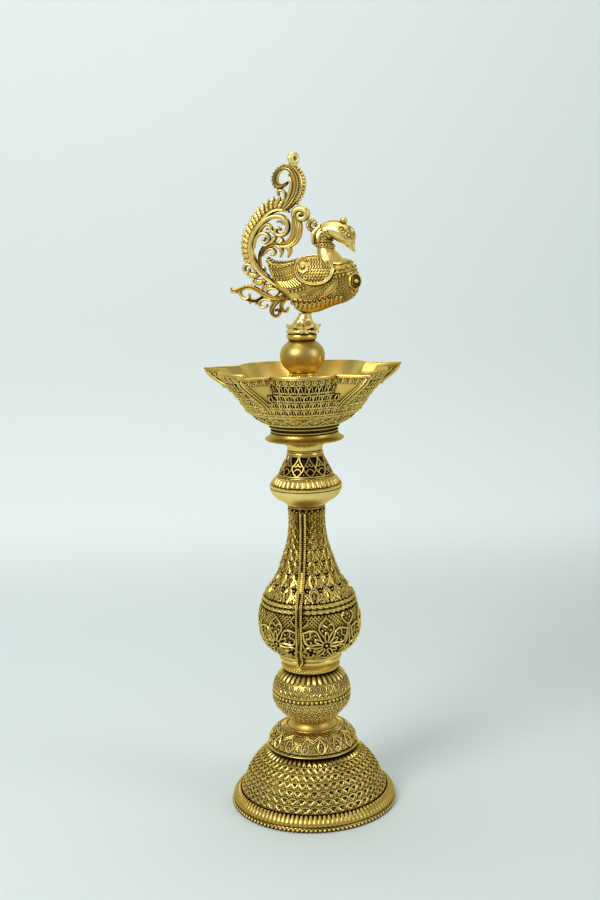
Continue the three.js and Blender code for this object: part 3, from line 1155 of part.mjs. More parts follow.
function addTail() {
  addPiece('tail_plume', turnedOut(tailSolid(0).subtract(bodySolid(SEAT_GAP))), BRASS);
  addPiece('tail_tip_scroll', turnedOut(tipSolid(0).subtract(tailSolid(SEAT_GAP))), BRASS);
  const eye = new THREE.TorusGeometry(LOOP_RADIUS - LOOP_WIRE_RADIUS, LOOP_WIRE_RADIUS, 8, 16);
  eye.rotateX(Math.PI / 2).rotateZ(LOOP_TURN);
  const foot = new THREE.SphereGeometry(LOOP_FOOT_RADIUS, 8, 6);
  foot.translate(-LOOP_FOOT_RADIUS / 4, 0, LOOP_FOOT_RADIUS / 4 - LOOP_RADIUS);
  const [x, z] = [LOOP_X * CURVE_SCALE, Z_PEACOCK + PEACOCK_HEIGHT - LOOP_RADIUS];
  const loop = toSolid(eye.translate(x, 0, z)).add(toSolid(foot.translate(x, 0, z)));
  addPiece('hanging_loop', turnedOut(loop.subtract(tipSolid(SEAT_GAP))), BRASS);
}

addFoot();
addFootFastening();
addKnob();
addVase();
addSeamStrap();
addCrown();
addBowlSeat();
addPan();
addFiligreePanels();
addKeels();
addFinialStem();
addLeafCup();
addBody();
addNeckAndHead();
addTail();

export default lamp;
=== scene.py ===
# %% [markdown]
# A peacock oil lamp in brass, dressed around its solid model
#
# The lamp is a stack of turned and cast sections on threaded rods: a domed foot, a fluted knob,
# a round-bellied vase, a small crown with a lattice, a bowl with five wick spouts, and a finial
# with a peacock. The solid model already has every size and every joint, so this script only
# adds what the eye looks for: smooth turning, wire and bead ornament, feathers and old brass.
# The lesson reads from the foot up. Sizes are in millimetres until a piece is finished, because
# that is how a maker thinks about them, and each piece is brought to metres at the very end.

# %% The solid model as a fixed frame
import math
import random

import bmesh
import bpy
from mathutils import Matrix, Vector, noise


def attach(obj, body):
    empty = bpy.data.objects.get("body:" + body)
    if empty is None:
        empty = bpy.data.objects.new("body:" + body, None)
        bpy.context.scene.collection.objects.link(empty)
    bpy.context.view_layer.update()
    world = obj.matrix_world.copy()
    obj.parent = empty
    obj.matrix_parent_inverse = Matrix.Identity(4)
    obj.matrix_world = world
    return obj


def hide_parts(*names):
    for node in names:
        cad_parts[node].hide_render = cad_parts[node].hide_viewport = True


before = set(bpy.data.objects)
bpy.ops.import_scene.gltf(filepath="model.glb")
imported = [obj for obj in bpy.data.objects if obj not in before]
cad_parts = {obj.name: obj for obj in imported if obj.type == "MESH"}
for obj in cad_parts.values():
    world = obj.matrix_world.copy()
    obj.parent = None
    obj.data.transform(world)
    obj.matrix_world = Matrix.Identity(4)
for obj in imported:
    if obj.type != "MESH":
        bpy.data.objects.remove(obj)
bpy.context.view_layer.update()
print("solid pieces:", len(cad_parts))

# %% [markdown]
# The camera stands where the photographer stood
#
# A view can be matched by eye, but ellipses give it away quickly: the rim of the bowl and the
# edge of the foot are circles, so how open they look fixes the height and the distance of the
# lens. The lamp in the picture leans a little to the left. The model stands straight, and a
# slight roll of the camera shares that lean between top and bottom.

# %% Camera
CAMERA_PLACE = (-0.0030, -0.7474, 0.3499)
CAMERA_PITCH = math.radians(90 - 9.61)
CAMERA_ROLL = math.radians(-1.6)
PHOTO_SIZE = (600, 900)

camera_data = bpy.data.cameras.new("camera")
camera_data.lens = 50
camera_data.sensor_width = 36
camera = bpy.data.objects.new("camera", camera_data)
bpy.context.scene.collection.objects.link(camera)
camera.location = CAMERA_PLACE
level_view = Matrix.Rotation(CAMERA_PITCH, 4, "X") @ Matrix.Rotation(CAMERA_ROLL, 4, "Z")
camera.rotation_euler = level_view.to_euler()
bpy.context.scene.camera = camera
bpy.context.scene.view_settings.view_transform = "Standard"
print("camera", CAMERA_PLACE)

# %% [markdown]
# Floor, backdrop and light
#
# The lamp stands on a pale table that curves up into a pale wall, as in a small studio. One
# sheet does both: a grid whose far part is bent upwards, so no line shows where they meet. Metal
# only looks like metal when it has something to mirror, so the lamps are wide panels, bright
# on the left and dimmer on the right, and the room behind the camera stays darker than the wall.

# %% Pale sheet
SHEET_SIZE = 6.0
SHEET_CELLS = 120
WALL_START = 0.40
WALL_CURVE = 0.22
# The darker table colours and the darker right-hand colours are painted shade on one pale sheet
WALL_LEFT, WALL_RIGHT = (0.81, 0.855, 0.845), (0.75, 0.81, 0.79)
FLOOR_LEFT, FLOOR_RIGHT = (0.695, 0.75, 0.735), (0.60, 0.645, 0.61)


def bend_up(point):
    """The place on the curved sheet of a point that lies flat at that distance"""
    past = point.y - WALL_START
    if past <= 0:
        return point
    turn = min(past / WALL_CURVE, math.pi / 2)
    rest = past - turn * WALL_CURVE
    y = WALL_START + WALL_CURVE * math.sin(turn)
    z = WALL_CURVE * (1 - math.cos(turn)) + rest
    return Vector((point.x, y, z))


def link(tree, source, target):
    tree.links.new(source, target)


def add_range(tree, value, from_low, from_high, to_low, to_high):
    """A smooth change from one range of values to another"""
    node = tree.nodes.new("ShaderNodeMapRange")
    node.interpolation_type = "SMOOTHSTEP"
    link(tree, value, node.inputs["Value"])
    limits = {"From Min": from_low, "From Max": from_high, "To Min": to_low, "To Max": to_high}
    for name, limit in limits.items():
        if isinstance(limit, (int, float)):
            node.inputs[name].default_value = limit
        else:
            link(tree, limit, node.inputs[name])
    return node.outputs["Result"]


def add_mix(tree, share, first, second):
    """A mix of two colours, each a socket or three plain numbers"""
    node = tree.nodes.new("ShaderNodeMix")
    node.data_type = "RGBA"
    link(tree, share, node.inputs["Factor"])
    for name, color in (("A", first), ("B", second)):
        if isinstance(color, tuple):
            node.inputs[name].default_value = (*color, 1)
        else:
            link(tree, color, node.inputs[name])
    return node.outputs["Result"]


def make_paper():
    """Pale paper with painted shade: a little darker on the table and towards the right"""
    material = bpy.data.materials.new("pale_paper")
    material.use_nodes = True
    tree = material.node_tree
    place = tree.nodes.new("ShaderNodeSeparateXYZ")
    link(tree, tree.nodes.new("ShaderNodeTexCoord").outputs["Object"], place.inputs["Vector"])
    right = add_range(tree, place.outputs["X"], -0.30, 0.45, 0.0, 1.0)
    wall = add_range(tree, place.outputs["Z"], -0.005, 0.06, 0.0, 1.0)
    floor_color = add_mix(tree, right, FLOOR_LEFT, FLOOR_RIGHT)
    far_right = add_range(tree, place.outputs["X"], -0.08, 0.52, 0.0, 1.0)
    wall_color = add_mix(tree, far_right, WALL_LEFT, WALL_RIGHT)
    shader = tree.nodes["Principled BSDF"]
    link(tree, add_mix(tree, wall, floor_color, wall_color), shader.inputs["Base Color"])
    shader.inputs["Roughness"].default_value = 0.75
    side = tree.nodes.new("ShaderNodeNewGeometry")
    clear = tree.nodes.new("ShaderNodeBsdfTransparent")
    either = tree.nodes.new("ShaderNodeMixShader")
    link(tree, side.outputs["Backfacing"], either.inputs[0])
    link(tree, shader.outputs["BSDF"], either.inputs[1])
    link(tree, clear.outputs["BSDF"], either.inputs[2])
    link(tree, either.outputs["Shader"], tree.nodes["Material Output"].inputs["Surface"])
    return material


sheet = bmesh.new()
bmesh.ops.create_grid(sheet, x_segments=SHEET_CELLS, y_segments=SHEET_CELLS, size=SHEET_SIZE / 2)
for vert in sheet.verts:
    vert.co = bend_up(vert.co)
sheet_mesh = bpy.data.meshes.new("table_and_wall")
sheet.to_mesh(sheet_mesh)
sheet.free()
sheet_mesh.shade_smooth()
sheet_mesh.materials.append(make_paper())
table_and_wall = bpy.data.objects.new("table_and_wall", sheet_mesh)
bpy.context.scene.collection.objects.link(table_and_wall)

# %% Lamps and room
ROOM_COLOR = (0.80, 0.86, 0.88, 1)
ROOM_LEVEL = 0.42


def add_panel(name, place, aim, width, height, watts, color=(1, 1, 1)):
    """A soft panel lamp that faces the point it is aimed at"""
    data = bpy.data.lights.new(name, "AREA")
    data.shape = "RECTANGLE"
    data.size = width
    data.size_y = height
    data.energy = watts
    data.color = color
    lamp = bpy.data.objects.new(name, data)
    bpy.context.scene.collection.objects.link(lamp)
    lamp.location = place
    lamp.rotation_euler = (Vector(aim) - Vector(place)).to_track_quat("-Z", "Y").to_euler()


LAMP_AIM = (0, 0, 0.2)
add_panel("left_panel", (-0.80, -0.85, 1.10), LAMP_AIM, 0.6, 0.6, 12)
add_panel("right_panel", (1.1, -0.5, 0.7), LAMP_AIM, 0.5, 0.9, 3.5)
add_panel("top_panel", (0, 0.1, 1.6), LAMP_AIM, 1.2, 0.8, 6)

world = bpy.data.worlds.new("room")
bpy.context.scene.world = world
world.use_nodes = True
world.node_tree.nodes["Background"].inputs["Color"].default_value = ROOM_COLOR
world.node_tree.nodes["Background"].inputs["Strength"].default_value = ROOM_LEVEL

# %% [markdown]
# Old brass
#
# Cast brass that is handled and wiped stays bright where cloth and fingers reach, and turns
# brown where they can't. So one effect serves every finish on the lamp: how shut in a spot is
# decides how far it goes from polished yellow to brown patina. The brown in the hollows is
# patina and also painted shade, and the palest yellow on open spots is polish and also a painted
# highlight. A slow noise makes the change uneven, and a fine noise is the skin of the casting.
# The effect is a node group that is built once. Each finish gives it its own colours, and reads
# how shut in a spot is by itself.

# %% The effect shared by every brass finish
CLOUD_SCALE = 55
CLOUD_SHARE = 0.3


def add_math(tree, operation, first, second):
    """A maths node whose inputs are sockets or plain numbers"""
    node = tree.nodes.new("ShaderNodeMath")
    node.operation = operation
    for socket, value in zip(node.inputs, (first, second)):
        if isinstance(value, (int, float)):
            socket.default_value = value
        else:
            link(tree, value, socket)
    return node.outputs[0]


def add_noise(tree, coordinates, scale, detail):
    node = tree.nodes.new("ShaderNodeTexNoise")
    node.inputs["Detail"].default_value = detail
    link(tree, coordinates, node.inputs["Vector"])
    if isinstance(scale, (int, float)):
        node.inputs["Scale"].default_value = scale
    else:
        link(tree, scale, node.inputs["Scale"])
    return node.outputs["Fac"]


def make_brass_effect():
    group = bpy.data.node_groups.new("worn_and_shaded_brass", "ShaderNodeTree")
    face = group.interface
    for name in ("Polish And Highlight", "Brass", "Patina"):
        face.new_socket(name=name, in_out="INPUT", socket_type="NodeSocketColor")
    for name in ("Openness", "Patina Reach", "Plain Roughness", "Grain Scale"):
        face.new_socket(name=name, in_out="INPUT", socket_type="NodeSocketFloat")
    face.new_socket(name="Color", in_out="OUTPUT", socket_type="NodeSocketColor")
    for name in ("Roughness", "Metallic", "Height"):
        face.new_socket(name=name, in_out="OUTPUT", socket_type="NodeSocketFloat")
    given = group.nodes.new("NodeGroupInput").outputs
    made = group.nodes.new("NodeGroupOutput").inputs
    place = group.nodes.new("ShaderNodeTexCoord").outputs["Object"]
    cloud = add_noise(group, place, CLOUD_SCALE, 3)
    grain = add_noise(group, place, given["Grain Scale"], 2)
    uneven = add_math(group, "MULTIPLY", add_math(group, "SUBTRACT", cloud, 0.5), CLOUD_SHARE)
    openness = add_math(group, "ADD", given["Openness"], uneven)
    low = add_math(group, "SUBTRACT", given["Patina Reach"], 0.36)
    # Patina, and also painted shade, where a spot is shut in
    patina_and_shade = add_range(group, openness, low, given["Patina Reach"], 1.0, 0.0)
    # Polish, and also a painted highlight, on open spots
    polish_and_highlight = add_range(group, openness, 0.72, 1.0, 0.0, 1.0)
    metal = add_mix(group, polish_and_highlight, given["Brass"], given["Polish And Highlight"])
    link(group, add_mix(group, patina_and_shade, metal, given["Patina"]), made["Color"])
    speck = add_math(group, "MULTIPLY", add_math(group, "SUBTRACT", grain, 0.5), 0.25)
    rough = add_math(group, "ADD", given["Plain Roughness"], speck)
    dull = add_math(group, "MULTIPLY", patina_and_shade, 0.3)
    link(group, add_math(group, "ADD", rough, dull), made["Roughness"])
    link(group, add_range(group, patina_and_shade, 0.0, 1.0, 1.0, 0.88), made["Metallic"])
    link(group, grain, made["Height"])
    return group


brass_effect = make_brass_effect()
print("brass effect nodes:", len(brass_effect.nodes))

# %% Finishes
SHUT_IN_REACH = 0.003
EDGE_TINT = (1.0, 0.86, 0.52, 1)


def make_brass(name, polished, brass, patina, patina_and_shade_reach, roughness, grain, bump):
    """A brass finish: three colours, how far the patina and painted shade creep out, and the casting's skin"""
    material = bpy.data.materials.new(name)
    material.use_nodes = True
    tree = material.node_tree
    shader = tree.nodes["Principled BSDF"]
    effect = tree.nodes.new("ShaderNodeGroup")
    effect.node_tree = brass_effect
    shut_in = tree.nodes.new("ShaderNodeAmbientOcclusion")
    shut_in.samples = 8
    shut_in.inputs["Distance"].default_value = SHUT_IN_REACH
    link(tree, shut_in.outputs["AO"], effect.inputs["Openness"])
    effect.inputs["Polish And Highlight"].default_value = (*polished, 1)
    effect.inputs["Brass"].default_value = (*brass, 1)
    effect.inputs["Patina"].default_value = (*patina, 1)
    effect.inputs["Patina Reach"].default_value = patina_and_shade_reach
    effect.inputs["Plain Roughness"].default_value = roughness
    effect.inputs["Grain Scale"].default_value = grain
    link(tree, effect.outputs["Color"], shader.inputs["Base Color"])
    link(tree, effect.outputs["Roughness"], shader.inputs["Roughness"])
    link(tree, effect.outputs["Metallic"], shader.inputs["Metallic"])
    shader.inputs["Specular Tint"].default_value = EDGE_TINT
    relief = tree.nodes.new("ShaderNodeBump")
    relief.inputs["Strength"].default_value = bump
    relief.inputs["Distance"].default_value = 0.0002
    link(tree, effect.outputs["Height"], relief.inputs["Height"])
    link(tree, relief.outputs["Normal"], shader.inputs["Normal"])
    return material


# The palest colour is polish and also a painted highlight
POLISH_AND_HIGHLIGHT_COLOR = (0.82, 0.60, 0.165)
GOLD = (0.59, 0.375, 0.050)
# The dark brown is patina and also painted shade in the hollows
BROWN = (0.070, 0.033, 0.0035)
cast_brass = make_brass("cast_brass", POLISH_AND_HIGHLIGHT_COLOR, GOLD, BROWN, 0.90, 0.36, 1400, 0.5)
bright_brass = make_brass("bright_brass", (0.86, 0.64, 0.19), (0.62, 0.39, 0.065), BROWN, 0.66, 0.27, 1500, 0.2)
wire_brass = make_brass("wire_brass", (0.90, 0.685, 0.22), (0.64, 0.42, 0.064), BROWN, 0.82, 0.34, 1600, 0.35)
satin_brass = make_brass("satin_brass", (0.70, 0.50, 0.13), (0.48, 0.30, 0.048), BROWN, 0.78, 0.44, 1400, 0.4)
aged_brass = make_brass("aged_brass", (0.58, 0.41, 0.10), (0.38, 0.235, 0.034), BROWN, 0.88, 0.36, 1400, 0.5)
ground_brass = make_brass("ground_brass", (0.46, 0.31, 0.065), (0.30, 0.18, 0.028), BROWN, 0.92, 0.42, 1400, 0.5)
# A darker brass for the ball: a painted reflection of the dark bowl below it
painted_reflection_brass = make_brass("painted_reflection_brass", (0.60, 0.42, 0.115), (0.42, 0.27, 0.052), BROWN, 0.76, 0.40, 1200, 0.3)
bird_brass = make_brass("bird_brass", (0.92, 0.70, 0.24), (0.63, 0.42, 0.075), BROWN, 0.80, 0.36, 1200, 0.4)
rough_brass = make_brass("rough_brass", (0.95, 0.78, 0.32), (0.76, 0.56, 0.17), BROWN, 0.64, 0.38, 900, 0.9)
# A brass a little darker than bright_brass, for the pan
darker_pan_brass = make_brass("darker_pan_brass", (0.76, 0.54, 0.14), (0.54, 0.335, 0.052), BROWN, 0.70, 0.34, 1500, 0.3)
# A near-black brass that is painted shade, for walls, a core and a skin seen through openwork
painted_shade_ground = make_brass(
    "painted_shade_ground", (0.075, 0.042, 0.007), (0.040, 0.021, 0.003), (0.010, 0.005, 0.0008), 0.95, 0.55, 1600, 0.6
)
print("finishes:", ", ".join(sorted(m.name for m in bpy.data.materials)))

# %% [markdown]
# Three ways to make almost everything here
#
# A turned section is an outline spun around the lamp's axis. Ornament is either wire, which is a
# curve with a round bevel, or shot, which is a small ball. All three follow the same outline, so
# a wire can be laid at "that turn, that share of the way up, that far out" and land on the
# metal. A band of ornament is one cell, spun as copies around the axis.

# %% Outlines and turning
MILLIMETRE = 0.001
FULL_TURN = 2 * math.pi
FRONT = -90.0
SMOOTH_STEPS = 144
ROD_BORE = 4.3


def eased(points, steps=4, closed=False):
    """More points along a smooth curve through the given ones, in two or three dimensions"""
    count = len(points)
    spans = count if closed else count - 1
    smooth = []
    for i in range(spans):
        if closed:
            four = [points[(i + k) % count] for k in (-1, 0, 1, 2)]
        else:
            four = [points[min(max(i + k, 0), count - 1)] for k in (-1, 0, 1, 2)]
        for j in range(steps):
            t = j / steps
            weights = (
                (-t + 2 * t * t - t ** 3) / 2,
                (2 - 5 * t * t + 3 * t ** 3) / 2,
                (t + 4 * t * t - 3 * t ** 3) / 2,
                (t ** 3 - t * t) / 2,
            )
            smooth.append(tuple(sum(w * p[k] for w, p in zip(weights, four)) for k in range(len(points[0]))))
    if not closed:
        smooth.append(tuple(points[-1]))
    return smooth


def spin_outline(bm, outline, steps=SMOOTH_STEPS):
    """A closed outline of (radius, height) turned once around the lamp's axis"""
    verts = [bm.verts.new((radius, 0, height)) for radius, height in outline]
    edges = [bm.edges.new(pair) for pair in zip(verts, verts[1:] + verts[:1])]
    bmesh.ops.spin(
        bm, geom=verts + edges, cent=(0, 0, 0), axis=(0, 0, 1), angle=FULL_TURN,
        steps=steps, use_merge=True, use_duplicate=False,
    )
    bmesh.ops.remove_doubles(bm, verts=bm.verts, dist=0.002)
    bmesh.ops.recalc_face_normals(bm, faces=bm.faces)


def hollow(outer, wall, low_bore=ROD_BORE, high_bore=ROD_BORE, thin_out=1):
    """The closed outline of a shell: the outer line, a floor and a roof with bores, an inner line"""
    bottom, top = outer[0][1], outer[-1][1]
    inner = [(max(r - wall, ROD_BORE), z) for r, z in outer if bottom + wall < z < top - wall][::thin_out]
    roof = [(high_bore, top), (high_bore, top - wall)]
    floor = [(low_bore, bottom + wall), (low_bore, bottom)]
    return outer + roof + inner[::-1] + floor


class Skin:
    """The outside of a turned section, measured along its outline from bottom to top"""

    def __init__(self, outline):
        self.outline = outline
        self.rises = [0.0]
        for (r0, z0), (r1, z1) in zip(outline, outline[1:]):
            self.rises.append(self.rises[-1] + math.hypot(r1 - r0, z1 - z0))
        self.length = self.rises[-1]

    def at(self, share):
        """The radius and height at a share of the way up, and the way out from there"""
        rise = min(max(share, 0.0), 1.0) * self.length
        i = 0
        while i < len(self.rises) - 2 and self.rises[i + 1] < rise:
            i += 1
        (r0, z0), (r1, z1) = self.outline[i], self.outline[i + 1]
        span = self.rises[i + 1] - self.rises[i]
        t = (rise - self.rises[i]) / span
        return r0 + (r1 - r0) * t, z0 + (z1 - z0) * t, (z1 - z0) / span, (r0 - r1) / span

    def share(self, radius, height):
        """The share of the way up of a point of the outline, or nothing for any other point"""
        gaps = [math.hypot(radius - r, height - z) for r, z in self.outline]
        nearest = min(range(len(gaps)), key=gaps.__getitem__)
        return self.rises[nearest] / self.length if gaps[nearest] < 0.01 else None

    def place(self, turn, share, lift=0.0):
        """The point at a turn in degrees, a share of the way up, lifted off the metal"""
        radius, height, out_r, out_z = self.at(share)
        angle = math.radians(turn)
        reach = radius + lift * out_r
        return Vector((reach * math.cos(angle), reach * math.sin(angle), height + lift * out_z))


# %% Wire, shot and bands
WIRE_SIDES = 6
SHOT_SEGMENTS = 8
SHOT_RINGS = 6


def add_wires(bm, paths, thickness, sides=WIRE_SIDES, closed=False):
    """Round wires along paths. A fourth number at a point widens or narrows the wire there."""
    curve = bpy.data.curves.new("wire", "CURVE")
    curve.dimensions = "3D"
    curve.fill_mode = "FULL"
    curve.bevel_depth = thickness
    curve.bevel_resolution = (sides - 4) // 2
    curve.use_fill_caps = True
    for path in paths:
        spline = curve.splines.new("POLY")
        spline.points.add(len(path) - 1)
        for point, place in zip(spline.points, path):
            point.co = (*place[:3], 1)
            point.radius = place[3] if len(place) > 3 else 1
        spline.use_cyclic_u = closed
    holder = bpy.data.objects.new("wire", curve)
    mesh = bpy.data.meshes.new_from_object(holder)
    bm.from_mesh(mesh)
    bpy.data.objects.remove(holder)
    bpy.data.curves.remove(curve)
    bpy.data.meshes.remove(mesh)


def join_part(bm, part):
    """Adds a finished part to a piece. This is far quicker than making it in a large bmesh."""
    mesh = bpy.data.meshes.new("part")
    part.to_mesh(mesh)
    part.free()
    bm.from_mesh(mesh)
    bpy.data.meshes.remove(mesh)


def add_shot(bm, place, radius, segments=SHOT_SEGMENTS, rings=SHOT_RINGS):
    """A small ball of brass"""
    ball = bmesh.new()
    spot = Matrix.Translation(place)
    bmesh.ops.create_uvsphere(ball, u_segments=segments, v_segments=rings, radius=radius, matrix=spot)
    join_part(bm, ball)


def add_band(bm, cell, count):
    """One cell of ornament, copied around the axis, and added to a piece"""
    bmesh.ops.spin(
        cell, geom=cell.verts[:] + cell.edges[:] + cell.faces[:], cent=(0, 0, 0), axis=(0, 0, 1),
        angle=FULL_TURN * (count - 1) / count, steps=count - 1, use_duplicate=True,
    )
    join_part(bm, cell)


def shot_band(bm, radius, height, size, count, start=FRONT):
    """A ring of shot"""
    angle = math.radians(start)
    cell = bmesh.new()
    add_shot(cell, (radius * math.cos(angle), radius * math.sin(angle), height), size)
    add_band(bm, cell, count)


def on_skin(skin, path, turn, pitch, low, high, lift):
    """A flat path, across in shares of the pitch and up in shares of the row, laid on a skin"""
    laid = []
    for across, up, *width in path:
        spot = skin.place(turn + across * pitch, low + up * (high - low), lift)
        laid.append((*spot, *width))
    return laid


def wire_row(bm, skin, paths, count, low, high, thickness, lift=0.0, offset=0.0, sides=WIRE_SIDES):
    """A row of one flat motif, repeated around a skin"""
    pitch = 360 / count
    cell = bmesh.new()
    turn = FRONT + offset * pitch
    add_wires(cell, [on_skin(skin, path, turn, pitch, low, high, lift) for path in paths], thickness, sides)
    add_band(bm, cell, count)


def shot_row(bm, skin, count, share, size, lift=0.0, offset=0.0):
    """A row of shot around a skin"""
    cell = bmesh.new()
    add_shot(cell, skin.place(FRONT + offset * 360 / count, share, lift), size)
    add_band(bm, cell, count)


def ring_wire(bm, skin, share, thickness, lift=0.0, steps=SMOOTH_STEPS):
    """A plain wire all the way around a skin"""
    path = [skin.place(360 * i / steps, share, lift) for i in range(steps)]
    add_wires(bm, [path], thickness, closed=True)


def flute(bm, count, depth, low, high, blend=1.0, sharpness=1.0):
    """Presses flutes between rounded ribs into the outside, between two heights"""
    for vert in bm.verts:
        fade = min((vert.co.z - low) / blend, (high - vert.co.z) / blend, 1.0)
        if fade <= 0:
            continue
        angle = math.atan2(vert.co.y, vert.co.x)
        groove = 1 - abs(math.cos(count * angle / 2)) ** sharpness
        reach = math.hypot(vert.co.x, vert.co.y)
        share = 1 - depth * fade * groove / reach
        vert.co.x *= share
        vert.co.y *= share


def emboss(bm, skin, lift_at):
    """Moves the outside of a turned shell straight out or in, by a rule of turn and share"""
    shares = {}
    for vert in bm.verts:
        reach = math.hypot(vert.co.x, vert.co.y)
        spot = (round(reach, 3), round(vert.co.z, 3))
        if spot not in shares:
            shares[spot] = skin.share(*spot)
        if shares[spot] is None:
            continue
        _, _, out_r, out_z = skin.at(shares[spot])
        lift = lift_at(math.degrees(math.atan2(vert.co.y, vert.co.x)), shares[spot])
        vert.co.x *= 1 + lift * out_r / reach
        vert.co.y *= 1 + lift * out_r / reach
        vert.co.z += lift * out_z


def in_cell(turn, count, offset):
    """How far across its cell a turn is, from -0.5 to 0.5"""
    return ((turn - FRONT) * count / 360 - offset + 0.5) % 1 - 0.5


def bump_at(across, up, wide, tall):
    """A round bump: 1 at its centre and 0 past its edge"""
    away = (across / wide) ** 2 + (up / tall) ** 2
    return math.sqrt(max(1 - away, 0.0))


# %% Finishing a piece
CREASE = math.radians(38)
total = {"triangles": 0, "pieces": 0}


def finish_piece(bm, name, body, slot, material, replaces=()):
    """Brings a bmesh to metres and makes it a piece that rides on a section of the lamp"""
    bmesh.ops.scale(bm, vec=(MILLIMETRE,) * 3, verts=bm.verts)
    mesh = bpy.data.meshes.new(name)
    bm.to_mesh(mesh)
    bm.free()
    mesh.shade_smooth()
    mesh.set_sharp_from_angle(angle=CREASE)
    mesh.materials.append(material)
    piece = bpy.data.objects.new(name, mesh)
    bpy.context.scene.collection.objects.link(piece)
    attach(piece, body)
    if replaces:
        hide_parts(*replaces)
    triangles = sum(len(polygon.vertices) - 2 for polygon in mesh.polygons)
    total["triangles"] += triangles
    total["pieces"] += 1
    print(f"{name}: {triangles} triangles")
    return piece


# %% [markdown]
# The foot
#
# The foot is a stack of its own: a ring of shot on the table, a gadrooned band like the edge of
# a pie, a dome, a lip twisted like rope, a second smaller dome and a plain hollow collar. The
# gadroons are close together and shallow, so they are pressed into a turned band whose spin has
# six steps to a rib. The alternative, a hundred separate ribs, would hide the band under joins.

# %% Foot: shot rim and gadroon band
RIM_SHOT_COUNT = 118
RIM_SHOT_RADIUS = 1.22
GADROON_COUNT = 108
STEPS_PER_RIB = 8
RIB_TIP = 0.52
GROOVE_SHALLOW, GROOVE_DEEP = 0.30, 2.6

rim = bmesh.new()
spin_outline(rim, [(46, 0), (50.2, 0), (50.6, 0.5), (50.6, 2.1), (50.2, 2.6), (46, 2.6)])
shot_band(rim, 50.7, 1.3, RIM_SHOT_RADIUS, RIM_SHOT_COUNT)
finish_piece(rim, "foot_shot_rim", "foot", "cast_brass", wire_brass, ["foot_bead_rim"])

band_line = eased([
    (50.0, 2.9), (50.7, 3.4), (50.9, 4.4), (50.4, 5.8), (49.2, 7.2), (47.7, 8.6), (46.7, 9.2), (46.0, 8.9),
    (45.8, 7.8),
], 4)
band_skin = Skin(band_line)


def groove_at(turn, share):
    """Shallow grooves low down, and deep notches between the round tips of the ribs"""
    across = abs(in_cell(turn, GADROON_COUNT, 0)) * 2
    tip = min(max((share - RIB_TIP) / (1 - RIB_TIP), 0.0), 1.0)
    depth = GROOVE_SHALLOW + (GROOVE_DEEP - GROOVE_SHALLOW) * tip
    return -depth * across ** (3.4 - 2.0 * tip)


gadroons = bmesh.new()
spin_outline(gadroons, [(42.0, 2.9)] + band_line + [(42.0, 6.8)], GADROON_COUNT * STEPS_PER_RIB)
emboss(gadroons, band_skin, groove_at)
finish_piece(gadroons, "foot_gadroons", "foot", "cast_brass", aged_brass, ["foot_gadroon_band"])

# %% [markdown]
# The lower dome carries six rows of small arches under a collar of pleats. Seen closely each
# cell is a bright arch over a pit so deep that it reads as black, with a round boss below it and
# drops of shot between. A pit can't be made of wire, so the shell itself is turned in fine steps
# and pressed: in at the pits, out at the bosses. The arches are wires laid over them. Half a
# pitch of offset from row to row sets the arches like fish scales.

# %% Foot: lower dome
DOME_CELLS = 50
DOME_ROWS = 6
STEPS_PER_CELL = 12
PLEAT_COUNT = 60
PLEAT_START = 0.84
PIT_FOOT, PIT_TOP, PIT_HALF, PIT_DEPTH = 0.34, 0.74, 0.46, 1.15
PIT_CHANCE = (1.0, 0.7, 0.9, 1.15, 0.6, 1.05, 0.8, 1.1, 0.75, 0.95, 0.65)
BOSS_UP, BOSS_WIDE, BOSS_TALL, BOSS_RISE = 0.20, 0.26, 0.22, 0.75
dome_line = eased([
    (45.2, 8.9), (44.2, 11.6), (42.7, 14.7), (40.5, 20.2), (36.6, 26.0), (32.0, 31.0), (28.2, 34.2),
    (25.6, 35.0),
], 12)
dome_skin = Skin(dome_line)


def pit_depth(turn, row):
    """The pits are crisp on the right and shallow on the left, and no two are quite alike"""
    cell = math.floor((turn - FRONT) * DOME_CELLS / 360 - 0.5 * (row % 2) + 0.5)
    side = 0.62 + 0.38 * math.sin(math.radians(turn - FRONT - 10))
    return PIT_DEPTH * side * PIT_CHANCE[(7 * row + cell) % len(PIT_CHANCE)]


def dome_relief(turn, share):
    """Pits under the arches and bosses below the pits, then pleats at the top"""
    if share > PLEAT_START:
        across = in_cell(turn, PLEAT_COUNT, 0)
        return -0.9 * (2 * abs(across)) ** 1.5
    up = share / PLEAT_START * DOME_ROWS
    row = min(int(up), DOME_ROWS - 1)
    up -= row
    across = in_cell(turn, DOME_CELLS, 0.5 * (row % 2))
    lift = BOSS_RISE * bump_at(across, up - BOSS_UP, BOSS_WIDE, BOSS_TALL)
    reach = (up - PIT_FOOT) / (PIT_TOP - PIT_FOOT)
    if 0 < reach < 1.15:
        inside = 1 - abs(across) / (PIT_HALF * min(reach, 1.0) + 0.02)
        lift -= pit_depth(turn, row) * min(max(2.2 * inside, 0.0), 1.0) * min(1.0, (1.15 - reach) / 0.15)
    return lift


dome = bmesh.new()
spin_outline(dome, hollow(dome_line, 2.6, 42.6, 23.0, 6), DOME_CELLS * STEPS_PER_CELL)
emboss(dome, dome_skin, dome_relief)
finish_piece(dome, "foot_dome_shell", "foot", "cast_brass", cast_brass, ["foot_dome"])

draw = random.Random(7)


def scatter_shot(bm, skin, count, low, high, grains, sizes, lift=0.1):
    """Grains scattered over one cell between two shares of the way up, copied around a skin"""
    cell = bmesh.new()
    for _ in range(grains):
        turn = FRONT + draw.uniform(-0.5, 0.5) * 360 / count
        add_shot(cell, skin.place(turn, draw.uniform(low, high), lift), draw.uniform(*sizes), 6, 4)
    add_band(bm, cell, count)


